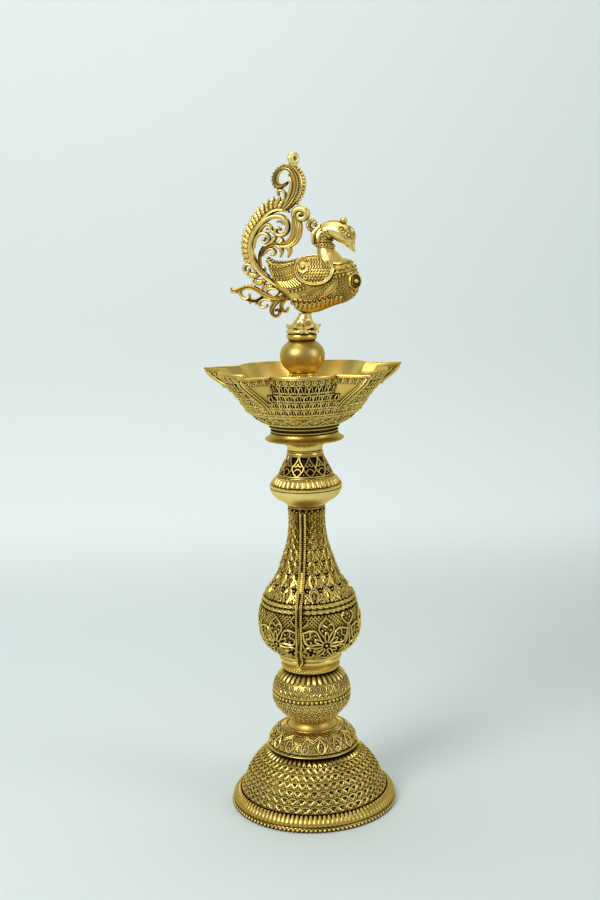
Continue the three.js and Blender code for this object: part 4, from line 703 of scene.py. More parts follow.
ARCH = eased([(-0.5, 0.50), (-0.42, 0.70), (-0.24, 0.83), (0, 0.87), (0.24, 0.83), (0.42, 0.70), (0.5, 0.50)], 2)
PIT_EDGE = [(-0.46, 0.70, 0.9), (-0.14, 0.28, 0.8)]
PIT_EDGE_BACK = [(-across, up, width) for across, up, width in PIT_EDGE]
dome_wires = bmesh.new()
for row in range(DOME_ROWS):
    low = PLEAT_START * row / DOME_ROWS
    high = PLEAT_START * (row + 1) / DOME_ROWS
    offset = 0.5 * (row % 2)
    cell_wires = [ARCH, PIT_EDGE, PIT_EDGE_BACK]
    wire_row(dome_wires, dome_skin, cell_wires, DOME_CELLS, low, high, 0.44, 0.25, offset, 4)
    for across, up, size in ((0.5, 0.36, 0.62), (-0.30, 0.12, 0.45), (0.30, 0.12, 0.45)):
        shot_row(dome_wires, dome_skin, DOME_CELLS, low + up * (high - low), size, 0.3, offset + across)
scatter_shot(dome_wires, dome_skin, 10, 0.02, PLEAT_START, 260, (0.26, 0.44), 0.05)
PLEAT = [(-0.16, 0.0, 0.9), (0, 0.30, 1.3), (0, 0.75, 1.0), (0, 1.0, 0.6)]
PLEAT_SIDE = [(0.5, -0.02, 0.6), (0.2, 0.30, 0.7)]
wire_row(dome_wires, dome_skin, [PLEAT, PLEAT_SIDE], PLEAT_COUNT, PLEAT_START, 1.0, 0.52, 0.2, 0.0, 4)
finish_piece(dome_wires, "foot_dome_lattice", "foot", "cast_brass", wire_brass)

# %% [markdown]
# The lip is a plain round edge with fine shot along its inside. The upper dome above it is the
# busiest part of the foot. A doubled zigzag runs around it, with long drops hung from its peaks
# and crossed wires between them, and fine rays run from it to the collar. Every gap is filled
# with grains of brass, which are scattered by a seeded random draw, because even rows of grains
# would look machined.

# %% Foot: lip and upper dome
ROPE_SIDES = 12
SHOULDER_CELLS = 16
LIP_SHOT_COUNT = 150


def add_rope(bm, radius, height, thickness, twists, strands=2, depth=0.16):
    """A ring of twisted rope: a round section pinched between the strands, turned as it is spun"""
    steps = twists * 6
    section = []
    for i in range(ROPE_SIDES):
        turn = FULL_TURN * i / ROPE_SIDES
        section.append((radius + thickness * math.cos(turn), height + thickness * math.sin(turn)))
    rope = bmesh.new()
    spin_outline(rope, section, steps)
    for vert in rope.verts:
        around = math.atan2(vert.co.y, vert.co.x)
        reach = math.hypot(vert.co.x, vert.co.y)
        turn = math.atan2(vert.co.z - height, reach - radius)
        pinch = 1 - depth * (1 - abs(math.cos((strands * turn + twists * around) / 2)))
        new_reach = radius + (reach - radius) * pinch
        vert.co.x *= new_reach / reach
        vert.co.y *= new_reach / reach
        vert.co.z = height + (vert.co.z - height) * pinch
    join_part(bm, rope)


lip = bmesh.new()
lip_line = eased([(25.2, 35.3), (25.8, 35.9), (26.9, 36.6), (28.1, 36.9), (28.5, 37.2), (28.2, 37.55), (27.4, 37.65)], 3)
spin_outline(lip, [(21, 35.3)] + lip_line + [(21, 37.65)])
shot_band(lip, 27.45, 37.75, 0.48, LIP_SHOT_COUNT)
finish_piece(lip, "shoulder_beaded_lip", "foot", "cast_brass", wire_brass, ["shoulder_lip_ring"])

shoulder_line = eased([
    (26.6, 37.8), (26.9, 39.8), (25.3, 43.4), (22.5, 46.3), (19.2, 48.1), (16.2, 49.0),
])
shoulder_skin = Skin(shoulder_line)
shoulder = bmesh.new()
spin_outline(shoulder, hollow(shoulder_line, 1.6))
finish_piece(shoulder, "shoulder_shell", "foot", "cast_brass", wire_brass, ["shoulder_dome"])


def flat_circle(across, up, wide, tall, count=10, start=0.0):
    """A closed loop, flat, in shares of a cell"""
    turns = [start + FULL_TURN * i / count for i in range(count + 1)]
    return [(across + wide * math.sin(turn), up + tall * math.cos(turn)) for turn in turns]


lotus = bmesh.new()
ZIGZAG = [(-0.5, 1.0), (0, 0.0), (0.5, 1.0)]
CROSSED = [(-0.34, 0.0), (-0.18, 0.45), (0, 1.0), (0.18, 0.45), (0.34, 0.0)]
DROP = eased([(0, 1.0), (-0.13, 0.72), (-0.21, 0.42), (-0.15, 0.12), (0, 0.0), (0.15, 0.12), (0.21, 0.42), (0.13, 0.72), (0, 1.0)], 2)
wire_row(lotus, shoulder_skin, [ZIGZAG], SHOULDER_CELLS, 0.55, 0.73, 0.52, 0.55)
wire_row(lotus, shoulder_skin, [ZIGZAG], SHOULDER_CELLS, 0.47, 0.655, 0.52, 0.55)
wire_row(lotus, shoulder_skin, [CROSSED], SHOULDER_CELLS, 0.13, 0.47, 0.48, 0.45)
wire_row(lotus, shoulder_skin, [DROP], SHOULDER_CELLS, 0.10, 0.60, 0.50, 0.60, 0.5)
wire_row(lotus, shoulder_skin, [flat_circle(0, 0.5, 0.09, 0.5)], SHOULDER_CELLS, 0.12, 0.27, 0.40, 0.70, 0.5)
wire_row(lotus, shoulder_skin, [flat_circle(0, 0.5, 0.10, 0.5)], SHOULDER_CELLS, 0.10, 0.26, 0.42, 0.40)
shot_spots = [(0.5, 0.36, 0.72), (0.5, 0.46, 0.6), (0.5, 0.19, 0.5), (0, 0.18, 0.55), (0.24, 0.40, 0.6), (-0.24, 0.40, 0.6)]
shot_spots += [(0, 0.64, 0.62), (-0.14, 0.73, 0.5), (0.14, 0.73, 0.5), (0, 0.74, 0.5), (0.33, 0.75, 0.45), (-0.33, 0.75, 0.45), (0.5, 0.76, 0.5)]
for across, share, size in shot_spots:
    shot_row(lotus, shoulder_skin, SHOULDER_CELLS, share, size, 0.25, across)
scatter_shot(lotus, shoulder_skin, SHOULDER_CELLS, 0.05, 0.52, 52, (0.32, 0.52))
scatter_shot(lotus, shoulder_skin, SHOULDER_CELLS, 0.66, 0.80, 10, (0.28, 0.42))
RAY = [(0, 0.0, 1.0), (0, 1.0, 0.8)]
wire_row(lotus, shoulder_skin, [RAY], 5 * SHOULDER_CELLS, 0.79, 0.97, 0.40, 0.20, 0.5)
ring_wire(lotus, shoulder_skin, 0.985, 0.42, 0.1)
finish_piece(lotus, "shoulder_lotus", "foot", "cast_brass", bird_brass)

collar_line = eased([(15.5, 49.3), (14.4, 50.2), (13.3, 51.5), (12.8, 52.6), (12.7, 53.3)], 3)
foot_collar = bmesh.new()
spin_outline(foot_collar, hollow(collar_line, 1.6))
finish_piece(foot_collar, "foot_hollow_collar", "foot", "bright_brass", satin_brass, ["foot_collar"])

# %% [markdown]
# The knob
#
# The knob is the grip that a lamp is lifted by. Two cups meet at a ring of shot. The upper cup
# is drawn into pleats that open like a purse around its mouth, and both cups are covered in rows
# of small cast flowers. The pleats are thick wires that thin towards the mouth, so real gaps lie
# between them and fill with patina and painted shade.

# %% Knob
KNOB_CELLS = 36
KNOB_SHOT_COUNT = 54
SCALLOP = eased([(-0.46, 0.1), (-0.30, 0.62), (0, 0.86), (0.30, 0.62), (0.46, 0.1)], 2)
KNOB_PLEAT = [(0, 0.0, 0.5), (0, 0.14, 1.25), (0, 0.45, 1.2), (0, 0.8, 0.85), (0, 1.0, 0.6)]

lower_line = eased([
    (12.8, 53.6), (15.0, 55.5), (18.1, 58.7), (20.9, 61.8), (23.0, 64.8), (23.8, 67.6), (23.9, 69.6),
])
lower_skin = Skin(lower_line)
knob_lower = bmesh.new()
spin_outline(knob_lower, hollow(lower_line, 1.6))
finish_piece(knob_lower, "knob_lower_cup", "knob", "cast_brass", wire_brass, ["knob_lower_half"])

upper_line = eased([
    (23.7, 72.4), (23.5, 75.2), (22.2, 78.8), (19.5, 81.9), (16.6, 84.2), (14.2, 85.4), (12.8, 85.8),
])
upper_skin = Skin(upper_line)
knob_upper = bmesh.new()
spin_outline(knob_upper, hollow(upper_line, 1.6))
finish_piece(knob_upper, "knob_upper_cup", "knob", "cast_brass", wire_brass, ["knob_upper_half"])

knob_ring = bmesh.new()
spin_outline(knob_ring, [(19, 69.9), (23.2, 69.9), (23.6, 71.0), (23.2, 72.1), (19, 72.1)])
shot_band(knob_ring, 23.7, 71.0, 1.15, KNOB_SHOT_COUNT)
finish_piece(knob_ring, "knob_shot_row", "knob", "cast_brass", wire_brass, ["knob_bead_row"])

knob_relief = bmesh.new()
for row, (low, high) in enumerate([(0.20, 0.40), (0.40, 0.60), (0.60, 0.80), (0.80, 1.0)]):
    offset = 0.5 * (row % 2)
    wire_row(knob_relief, lower_skin, [SCALLOP], KNOB_CELLS, low, high, 0.40, 0.2, offset, 4)
    shot_row(knob_relief, lower_skin, KNOB_CELLS, low + 0.07, 0.72, 0.2, offset)
scatter_shot(knob_relief, lower_skin, 12, 0.05, 0.97, 110, (0.32, 0.60))
ring_wire(knob_relief, lower_skin, 0.17, 0.35, 0.1)
shot_row(knob_relief, lower_skin, 2 * KNOB_CELLS, 0.10, 0.42, 0.1)
wire_row(knob_relief, upper_skin, [KNOB_PLEAT], KNOB_CELLS, 0.47, 0.98, 1.05, 0.25, 0.5, 8)
wire_row(knob_relief, upper_skin, [SCALLOP], KNOB_CELLS, 0.02, 0.24, 0.42, 0.2, 0.5, 4)
shot_row(knob_relief, upper_skin, KNOB_CELLS, 0.09, 0.75, 0.2, 0.5)
wire_row(knob_relief, upper_skin, [flat_circle(0, 0.5, 0.34, 0.46)], KNOB_CELLS, 0.24, 0.44, 0.38, 0.25, 0, 4)
shot_row(knob_relief, upper_skin, KNOB_CELLS, 0.34, 0.55, 0.25)
shot_row(knob_relief, upper_skin, KNOB_CELLS, 0.26, 0.5, 0.3, 0.5)
finish_piece(knob_relief, "knob_flowers_and_pleats", "knob", "cast_brass", bird_brass)

# %% [markdown]
# The vase
#
# The vase is filigree: open wirework over an inner wall whose near-black colour is painted shade,
# the dark that shows through the openwork. The belly has six large rosettes of six ogee petals,
# with a fine net behind their tops. Two ropes mark the widest ring, and the long neck carries rows
# of pendants on crossed stems that shrink with the radius, so every pendant keeps its proportions.
# The wirework is built flat in polar shares and laid on the wall, which is quicker and cleaner
# than bending straight parts one by one.

# %% Vase: collar, belly wall and ropes
BELLY_FOOT = 98.2
vase_collar_line = [(15.2, 86.1), (16.8, 86.4), (17.6, 87.3), (17.6, 89.6), (17.0, 90.3)]
vase_collar_line += [(17.4, 91.4), (18.6, 92.4), (19.2, 93.2), (19.4, 94.4), (18.9, 95.2), (19.3, 96.0)]
vase_collar_line += [(19.5, 97.0), (19.2, 97.9)]
vase_collar = bmesh.new()
spin_outline(vase_collar, hollow(vase_collar_line, 2.0))
shot_band(vase_collar, 17.5, 88.5, 0.85, 62)
finish_piece(vase_collar, "vase_bottom_collar", "vase", "cast_brass", wire_brass, ["vase_collar"])

belly_line = eased([
    (19.2, 98.2), (23.1, 100.8), (27.4, 105.2), (29.7, 110.6), (30.4, 116.0), (30.0, 122.0),
    (28.9, 127.6),
])
belly_skin = Skin(belly_line)
belly = bmesh.new()
spin_outline(belly, hollow(belly_line, 1.6))
# The belly wall's near-black colour is painted shade seen through the wirework
finish_piece(belly, "vase_belly_wall", "vase", "cast_brass", painted_shade_ground, ["vase_bulb"])

ROPE_TWISTS = 45
ropes = (("rope_lower", "rope_band_lower", 129.35, 28.2), ("rope_upper", "rope_band_upper", 132.45, 27.5))
for name, node, height, core_radius in ropes:
    rope_ring = bmesh.new()
    low, high = height - 1.3, height + 1.3
    spin_outline(rope_ring, [(24, low), (core_radius, low), (core_radius, high), (24, high)])
    add_rope(rope_ring, core_radius, height, 1.5, ROPE_TWISTS, 3, 0.62)
    finish_piece(rope_ring, name, "vase", "cast_brass", wire_brass, [node])

# %% Vase: rosettes on the belly
ROSETTE_COUNT = 6
ROSETTE_TURN = FRONT + 18.5
ROSETTE_HEIGHT = 0.455
ROSETTE_REACH = 16.2
PETAL_COUNT = 6
PETAL_EDGE = eased([
    (0.15, 0.40), (0.30, 0.54), (0.45, 0.72), (0.58, 0.84), (0.70, 0.80), (0.80, 0.62), (0.88, 0.38),
    (0.95, 0.14), (1.04, 0.0),
], 3)
PETAL_STEM = eased([(0.15, 0.48), (0.30, 0.42), (0.42, 0.28), (0.485, 0.12), (0.495, 0.0)], 2)
PETAL_LOBE = eased([(0.73, 0.80), (0.79, 0.52), (0.80, 0.30), (0.72, 0.14), (0.70, 0.0)], 2)
EDGE_WIRE, INNER_WIRE = 0.56, 0.46


def petal_paths(shape):
    """One petal's wire and its mirror image, in polar shares of the rosette"""
    return [shape, [(reach, -side) for reach, side in shape]]


def on_rosette(path, petal, turn, share, reach, lift):
    """A polar path laid on the belly around a rosette's centre"""
    laid = []
    for along, side in path:
        angle = FULL_TURN * (petal + side / 2) / PETAL_COUNT
        across = reach * along * math.sin(angle)
        up = reach * along * math.cos(angle)
        radius = belly_skin.at(share + up / belly_skin.length)[0]
        spot_turn = turn + math.degrees(across / radius)
        laid.append(belly_skin.place(spot_turn, share + up / belly_skin.length, lift))
    return laid


def rosette_wires(shapes, lift):
    """The same wires for every petal of the rosette in front"""
    laid = []
    for petal in range(PETAL_COUNT):
        for shape in shapes:
            for path in petal_paths(shape):
                laid.append(on_rosette(path, petal, ROSETTE_TURN, ROSETTE_HEIGHT, ROSETTE_REACH, lift))
    return laid


rosettes = bmesh.new()
rosette = bmesh.new()
add_wires(rosette, rosette_wires([PETAL_EDGE], 1.15), EDGE_WIRE)
add_wires(rosette, rosette_wires([PETAL_STEM, PETAL_LOBE], 0.9), INNER_WIRE)
for petal in range(PETAL_COUNT):
    for along, side, size in ((0.15, 1.0, 0.62), (0.60, 0.52, 0.75), (0.60, -0.52, 0.75), (0.86, 0.0, 0.5)):
        spot = on_rosette([(along, side)], petal, ROSETTE_TURN, ROSETTE_HEIGHT, ROSETTE_REACH, 1.0)[0]
        add_shot(rosette, spot, size)
add_shot(rosette, belly_skin.place(ROSETTE_TURN, ROSETTE_HEIGHT, 1.1), 0.95, 12, 8)
add_band(rosettes, rosette, ROSETTE_COUNT)
finish_piece(rosettes, "vase_rosettes", "vase", "cast_brass", wire_brass)

# %% Vase: weave and leaves between the rosettes
WEAVE_COUNT = 84
WEAVE_START = 0.50
between = (ROSETTE_TURN - FRONT) / (360 / ROSETTE_COUNT) + 0.5
weave = bmesh.new()
THREAD = [(-3.7 + 7.4 * i / 12, i / 12) for i in range(13)]
THREAD_BACK = [(-across, up) for across, up in THREAD]
wire_row(weave, belly_skin, [THREAD, THREAD_BACK], WEAVE_COUNT, WEAVE_START, 0.99, 0.34, 0.25, 0, 4)
TOP_LEAF = eased([(-0.10, 1.0), (-0.155, 0.72), (-0.14, 0.44), (-0.05, 0.12), (0, 0.0)], 3)
TOP_LEAF_BACK = [(-across, up) for across, up in TOP_LEAF]
STALK = eased([(0.022, 1.0), (0.022, 0.55), (0.05, 0.30), (0.10, 0.0)], 3)
STALK_BACK = [(-across, up) for across, up in STALK]
wire_row(weave, belly_skin, [TOP_LEAF, TOP_LEAF_BACK], ROSETTE_COUNT, 0.77, 0.99, 0.52, 1.0, between)
wire_row(weave, belly_skin, [STALK, STALK_BACK], ROSETTE_COUNT, 0.34, 0.77, 0.46, 0.9, between)
leaf_shot = ((0.94, 0, 0.7), (0.875, -0.045, 0.7), (0.875, 0.045, 0.7), (0.83, 0, 0.6), (0.36, 0, 0.8))
for share, side, size in leaf_shot + ((0.24, -0.03, 0.6), (0.24, 0.03, 0.6), (0.15, 0, 0.7)):
    shot_row(weave, belly_skin, ROSETTE_COUNT, share, size, 0.7, between + side)
ring_wire(weave, belly_skin, 0.04, 0.45, 0.3)
finish_piece(weave, "vase_weave_and_leaves", "vase", "cast_brass", wire_brass)

# %% Vase: neck wall and pendants
NECK_CELLS = 18
NECK_SHIFT = 0.37
ROW_LOW, ROW_HIGH = 1.05, 1.50
neck_line = eased([
    (26.8, 134.1), (24.3, 137.7), (20.6, 143.0), (17.6, 148.6), (15.1, 156.3), (12.5, 164.0),
    (11.2, 170.0), (10.4, 177.0), (10.3, 183.0), (10.8, 189.8),
])
neck_skin = Skin(neck_line)
neck = bmesh.new()
spin_outline(neck, hollow(neck_line, 1.6))
# The neck wall's near-black colour is painted shade seen through the pendants
finish_piece(neck, "vase_neck_wall", "vase", "cast_brass", painted_shade_ground, ["vase_neck"])



def both_sides(*paths):
    """Flat paths and their mirror images"""
    return [path for given in paths for path in (given, [(-point[0], *point[1:]) for point in given])]


STEM = eased([(0.03, 0.95), (0.18, 0.91), (0.30, 0.75), (0.32, 0.50), (0.22, 0.22), (0.16, 0.0)], 2)
INNER_STEM = eased([(0.10, 0.88), (0.21, 0.74), (0.23, 0.50), (0.14, 0.24), (0.07, 0.04)], 2)
CROSSING = eased([(0.34, 0.56), (0.50, 0.40), (0.66, 0.24), (0.86, 0.04)], 2)
SMALL_ARCH = eased([(0.5, 0.27), (0.43, 0.23), (0.38, 0.10), (0.37, -0.04)], 2)
SMALL_LEAF = [(0.04, 0.84, 0.7), (0.12, 0.72, 1.7), (0.20, 0.60, 0.8)]
PENDANT = [(0, 0.82, 0.5), (0, 0.64, 1.1), (0, 0.46, 2.1), (0, 0.34, 2.4), (0, 0.24, 1.2)]
scales = bmesh.new()
share, row = 0.0, 0
while share < 0.95:
    radius = neck_skin.at(share)[0]
    slim = min(max((radius - 11) / 14, 0.0), 1.0)
    proportion = ROW_HIGH + (ROW_LOW - ROW_HIGH) * slim
    height = proportion * FULL_TURN * radius / NECK_CELLS / neck_skin.length
    high = share + height
    size = 0.16 + 0.0095 * radius
    motif = [PENDANT] + both_sides(STEM, INNER_STEM, CROSSING, SMALL_ARCH, SMALL_LEAF)
    cut = min(1.0, (0.995 - share) / height)
    motif = [path for path in motif if max(point[1] for point in path) <= cut + 0.02]
    wire_row(scales, neck_skin, motif, NECK_CELLS, share, high, size, 0.6, NECK_SHIFT, 4)
    for across, up, swell in ((0, 0.95, 2.0), (0.5, 0.58, 2.1), (0.5, 0.80, 1.6), (0.5, 0.06, 1.8)):
        if up < cut:
            spot = share + up * height
            shot_row(scales, neck_skin, NECK_CELLS, spot, swell * size, 0.7, NECK_SHIFT + across)
    share, row = high, row + 1
ring_wire(scales, neck_skin, 0.99, 0.5, 0.3)
print("rows of pendants:", row)
finish_piece(scales, "vase_neck_pendants", "vase", "cast_brass", cast_brass)

# %% [markdown]
# The sheet that the vase is rolled from meets at the front, and a strap covers the seam. It is a
# flat strip with a line of shot on each edge, and its lower end is folded into a small hook. It
# stands clear of the ropes, so its line is its own and not the skin's.

# %% Vase: seam strap
STRAP_TURN = FRONT - 12.5
STRAP_FOOT_TURN = -7.0
STRAP_WIDTH = 4.0
STRAP_SHOT_PITCH = 1.25
strap_line = eased([
    (20.4, 92.4), (20.8, 97.2), (25.1, 100.4), (29.0, 105.2), (31.4, 110.8), (32.0, 116.5),
    (31.6, 122.5), (30.9, 128.0), (30.0, 132.6), (27.2, 136.4), (23.0, 142.4), (19.6, 148.6),
    (16.6, 156.6), (14.3, 164.4), (13.0, 170.4), (12.2, 177.0), (12.1, 186.4),
], 5)
strap_skin = Skin(strap_line)
strap = bmesh.new()


def strap_spot(share, across, lift):
    """A point of the strap, whose lowest part leans to the left"""
    lean = STRAP_FOOT_TURN * max(1 - share / 0.22, 0.0)
    radius = strap_skin.at(share)[0]
    return strap_skin.place(STRAP_TURN + lean + math.degrees(across / radius), share, lift)


def groove_floor(share):
    """The groove between the rails is filled at the strap's foot and for a stretch of the neck"""
    return -0.1 if share < 0.08 or 0.52 < share < 0.66 else -0.85


STRAP_STEPS = 100
rows_of_strap = []
for step in range(STRAP_STEPS + 1):
    share = step / STRAP_STEPS
    half = STRAP_WIDTH / 2
    floor = groove_floor(share)
    corners = ((-half, -0.9), (half, -0.9), (half, 0.3), (0.75, 0.3), (0.6, floor), (-0.5, floor), (-0.65, 0.3), (-half, 0.3))
    loop = [strap.verts.new(strap_spot(share, across, lift)) for across, lift in corners]
    rows_of_strap.append([strap.edges.new(pair) for pair in zip(loop, loop[1:] + loop[:1])])
for below, above in zip(rows_of_strap, rows_of_strap[1:]):
    bmesh.ops.bridge_loops(strap, edges=below + above)
for loop in (rows_of_strap[0], rows_of_strap[-1]):
    bmesh.ops.contextual_create(strap, geom=loop)
bmesh.ops.recalc_face_normals(strap, faces=strap.faces)
shots = int(strap_skin.length / STRAP_SHOT_PITCH)
for i in range(2, shots):
    for across in (-1.35, 1.4):
        add_shot(strap, strap_spot(i / shots, across, 0.4), 0.6, 6, 4)
hook = [strap_spot(0.0, 0, -0.2), strap_spot(0.0, 0.2, 0.5)]
hook += [strap_spot(0.012, 0.9, 1.1), strap_spot(0.035, 1.5, 1.1), strap_spot(0.05, 1.4, 0.3)]
add_wires(strap, [[(*spot, 1) for spot in eased(hook, 4)]], 0.55)
finish_piece(strap, "vase_seam_strap", "vase", "cast_brass", cast_brass, ["seam_strap"])

# %% [markdown]
# The crown
#
# A small onion sits between the vase and the bowl: a smooth flared cup, a bright ridge, a reeded
# shoulder, and a cage of wire over a core painted near black as shade, so that it reads as a hole.
# The cage is real openwork here, so it stays open from every side, and the core behind it is turned.

# %% Crown: shells and ridge
REED_COUNT = 38
crown_lower_line = eased([
    (11.9, 190.1), (12.9, 191.1), (15.0, 192.6), (17.9, 194.3), (20.2, 196.4), (21.4, 198.6), (21.9, 200.6),
])
crown_lower = bmesh.new()
spin_outline(crown_lower, hollow(crown_lower_line, 1.6), REED_COUNT * 4)
flute(crown_lower, REED_COUNT / 2, 0.3, 195.4, 201.5, 2.5)
finish_piece(crown_lower, "crown_lower_cup", "crown", "cast_brass", bird_brass, ["crown_lower_shell"])

ridge = bmesh.new()
ridge_line = [(21.2, 200.9), (22.0, 201.2), (22.3, 201.8), (22.3, 202.3), (21.8, 202.8), (21.0, 203.0)]
spin_outline(ridge, hollow(ridge_line, 4, 17, 17))
finish_piece(ridge, "crown_bright_ridge", "crown", "bright_brass", bright_brass, ["crown_ridge"])

crown_upper_line = eased([(21.1, 203.4), (20.9, 204.2), (20.1, 205.6), (19.2, 206.9), (17.8, 207.8)])
crown_upper_line += [(16.9, 207.7), (16.8, 208.1), (16.6, 208.5), (16.2, 208.7)]
crown_upper_skin = Skin(crown_upper_line)
crown_upper = bmesh.new()
spin_outline(crown_upper, hollow(crown_upper_line, 1.6), REED_COUNT * STEPS_PER_RIB)
flute(crown_upper, REED_COUNT, 0.9, 203.2, 207.9, 0.5, 0.8)
shot_row(crown_upper, crown_upper_skin, 2 * REED_COUNT, 0.03, 0.36, 0.1)
finish_piece(crown_upper, "crown_reeded_shoulder", "crown", "cast_brass", bird_brass, ["crown_upper_shell"])

# %% Crown: cage, core, collar and neck
CAGE_CELLS = 12
cage_line = eased([(16.3, 209.1), (15.5, 211.2), (14.0, 214.4), (12.3, 217.6), (10.8, 220.9)])
cage_skin = Skin(cage_line)
CAGE_LEAF = eased([
    (0, 0.02), (0.26, 0.17), (0.5, 0.42), (0.33, 0.60), (0.15, 0.76), (0.06, 0.90), (0, 1.0),
], 2)
CAGE_LEAF_BACK = [(-across, up) for across, up in CAGE_LEAF]
CAGE_BROW = eased([(-0.30, 0.24), (-0.16, 0.36), (0, 0.39), (0.16, 0.36), (0.30, 0.24)], 2)
CAGE_LIP = eased([(-0.34, 0.58), (-0.20, 0.50), (-0.06, 0.56), (0, 0.66), (0.06, 0.56), (0.20, 0.50), (0.34, 0.58)], 2)
cage = bmesh.new()
wire_row(cage, cage_skin, [CAGE_LEAF, CAGE_LEAF_BACK], CAGE_CELLS, 0.0, 1.0, 0.42, 0.0, 0.35)
wire_row(cage, cage_skin, [CAGE_BROW, CAGE_LIP], CAGE_CELLS, 0.0, 1.0, 0.34, 0.0, 0.35, 4)
shot_row(cage, cage_skin, CAGE_CELLS, 0.12, 0.5, -0.2, 0.85)
ring_wire(cage, cage_skin, 0.0, 0.55)
ring_wire(cage, cage_skin, 1.0, 0.5)
finish_piece(cage, "lattice_wire_cage", "crown", "cast_brass", satin_brass, ["lattice_cage"])

# The core's near-black colour is painted shade inside the cage
core = bmesh.new()
core_line = [(14.3, 209.1), (13.5, 211.2), (12.0, 214.4), (10.4, 217.6), (9.0, 220.9)]
spin_outline(core, [(ROD_BORE, 209.1)] + core_line + [(ROD_BORE, 220.9)])
finish_piece(core, "lattice_dark_core", "crown", "dark_brass", painted_shade_ground, ["lattice_core"])

crown_collar = bmesh.new()
crown_collar_line = [(10.0, 221.3), (10.9, 221.5), (11.2, 222.1), (11.0, 222.6), (10.5, 222.8), (10.8, 223.1), (10.9, 223.5), (10.4, 223.9)]
spin_outline(crown_collar, [(ROD_BORE, 221.3)] + crown_collar_line + [(ROD_BORE, 223.9)])
finish_piece(crown_collar, "crown_double_collar", "crown", "bright_brass", bright_brass, ["crown_collar"])

crown_neck = bmesh.new()
crown_neck_line = eased([(10.7, 224.2), (10.9, 225.4), (11.6, 227.0), (13.1, 228.6), (14.8, 229.7)], 3)
spin_outline(crown_neck, [(ROD_BORE, 224.2)] + crown_neck_line + [(ROD_BORE, 229.7)])
finish_piece(crown_neck, "crown_short_neck", "crown", "bright_brass", bright_brass, ["crown_neck"])

# %% [markdown]
# The bowl
#
# The bowl is a turned dish whose rim is pinched outwards into five wick spouts. So it is made as
# a smith makes it: turn the dish first, then push every point in or out by a rule that knows how
# high it is and how far it lies from the nearest spout. The same rule gives the place and the
# outward direction of any spot on the wall, and that is what the ornament is laid on.

# %% Bowl: the rule for its wall
SPOUTS = 5
SPOUT_TURN = 360 / SPOUTS
FIRST_SPOUT = 90.0
ROOT_TURN = 12.0
ROOT_SHARE = 0.894
BOWL_BASE = 19.5
BOWL_ROUND = 52.0
SPOUT_EXTRA = 11.9
BOWL_BOTTOM = 240.3
BOWL_TALL = 32.5
BOWL_WALL = 2.0
BOWL_FLOOR = 6.0
BOWL_LEVELS = eased([
    (0, 0.08, 0, 0), (0.083, 0.23, 0, 0), (0.237, 0.415, 0, 0), (0.39, 0.535, 0, 0.10),
    (0.514, 0.62, 0.21, 0.40), (0.668, 0.75, 0.56, 0.72), (0.852, 0.90, 0.93, 0.94), (1, 1, 1, 1),
], 3)


def bowl_level(height):
    """How far the wall, the spouts and their roots have grown at a share of the height"""
    height = min(max(height, 0.0), 1.0)
    i = 0
    while i < len(BOWL_LEVELS) - 2 and BOWL_LEVELS[i + 1][0] < height:
        i += 1
    low, high = BOWL_LEVELS[i], BOWL_LEVELS[i + 1]
    t = (height - low[0]) / (high[0] - low[0])
    return [low[k] + t * (high[k] - low[k]) for k in (1, 2, 3)]


def from_spout(turn):
    """The angle from the nearest spout's tip, in degrees"""
    past = (turn - FIRST_SPOUT) % SPOUT_TURN
    return min(past, SPOUT_TURN - past)


def bowl_radius(height, turn, depth=0.0):
    """The wall's radius in a direction, for the outside or for a wall that deep"""
    width, spout, root = bowl_level(height)
    offset = math.radians(from_spout(turn))
    limit, half = math.radians(ROOT_TURN), math.radians(SPOUT_TURN / 2)
    round_wall = BOWL_BASE + width * (BOWL_ROUND - BOWL_BASE)
    root_wall = round_wall * (1 - root * (1 - ROOT_SHARE))
    tip_wall = round_wall + spout * SPOUT_EXTRA
    flare = math.atan2(root_wall * math.sin(limit), tip_wall - root_wall * math.cos(limit))
    tip_in = tip_wall - depth / math.sin(flare)
    root_in = root_wall - depth
    if offset <= limit:
        return tip_in * root_in * math.sin(limit) / (
            tip_in * math.sin(offset) + root_in * math.sin(limit - offset))
    bulge = math.sin((offset - limit) / (half - limit) * math.pi / 2)
    return root_in + (round_wall - depth - root_in) * bulge


def bowl_spot(turn, height):
    radius, angle = bowl_radius(height, turn), math.radians(turn)
    return Vector((radius * math.cos(angle), radius * math.sin(angle), BOWL_BOTTOM + height * BOWL_TALL))


def on_bowl(turn, height, lift=0.0):
    """The spot on the bowl's outside, lifted straight off the metal"""
    around = bowl_spot(turn + 0.5, height) - bowl_spot(turn - 0.5, height)
    upward = bowl_spot(turn, min(height + 0.01, 1)) - bowl_spot(turn, max(height - 0.01, 0))
    return bowl_spot(turn, height) + lift * around.cross(upward).normalized()


# %% Bowl: the pan
PAN_STEPS = 240
pan = bmesh.new()
wall_depth = pan.verts.layers.float.new("wall_depth")
heights = [level[0] for level in BOWL_LEVELS]
inner_heights = [h for h in heights if h * BOWL_TALL > BOWL_FLOOR + 1][::-1]
outline = [(h, 0.0) for h in heights] + [(h, BOWL_WALL) for h in inner_heights]
outline.append((BOWL_FLOOR / BOWL_TALL, BOWL_WALL + 2))
pan_verts = []
for height, depth in outline:
    vert = pan.verts.new((30, 0, BOWL_BOTTOM + height * BOWL_TALL))
    vert[wall_depth] = depth
    pan_verts.append(vert)
for height in (BOWL_FLOOR / BOWL_TALL, 0):
    vert = pan.verts.new((ROD_BORE, 0, BOWL_BOTTOM + height * BOWL_TALL))
    vert[wall_depth] = -1
    pan_verts.append(vert)
pan_edges = [pan.edges.new(pair) for pair in zip(pan_verts, pan_verts[1:] + pan_verts[:1])]
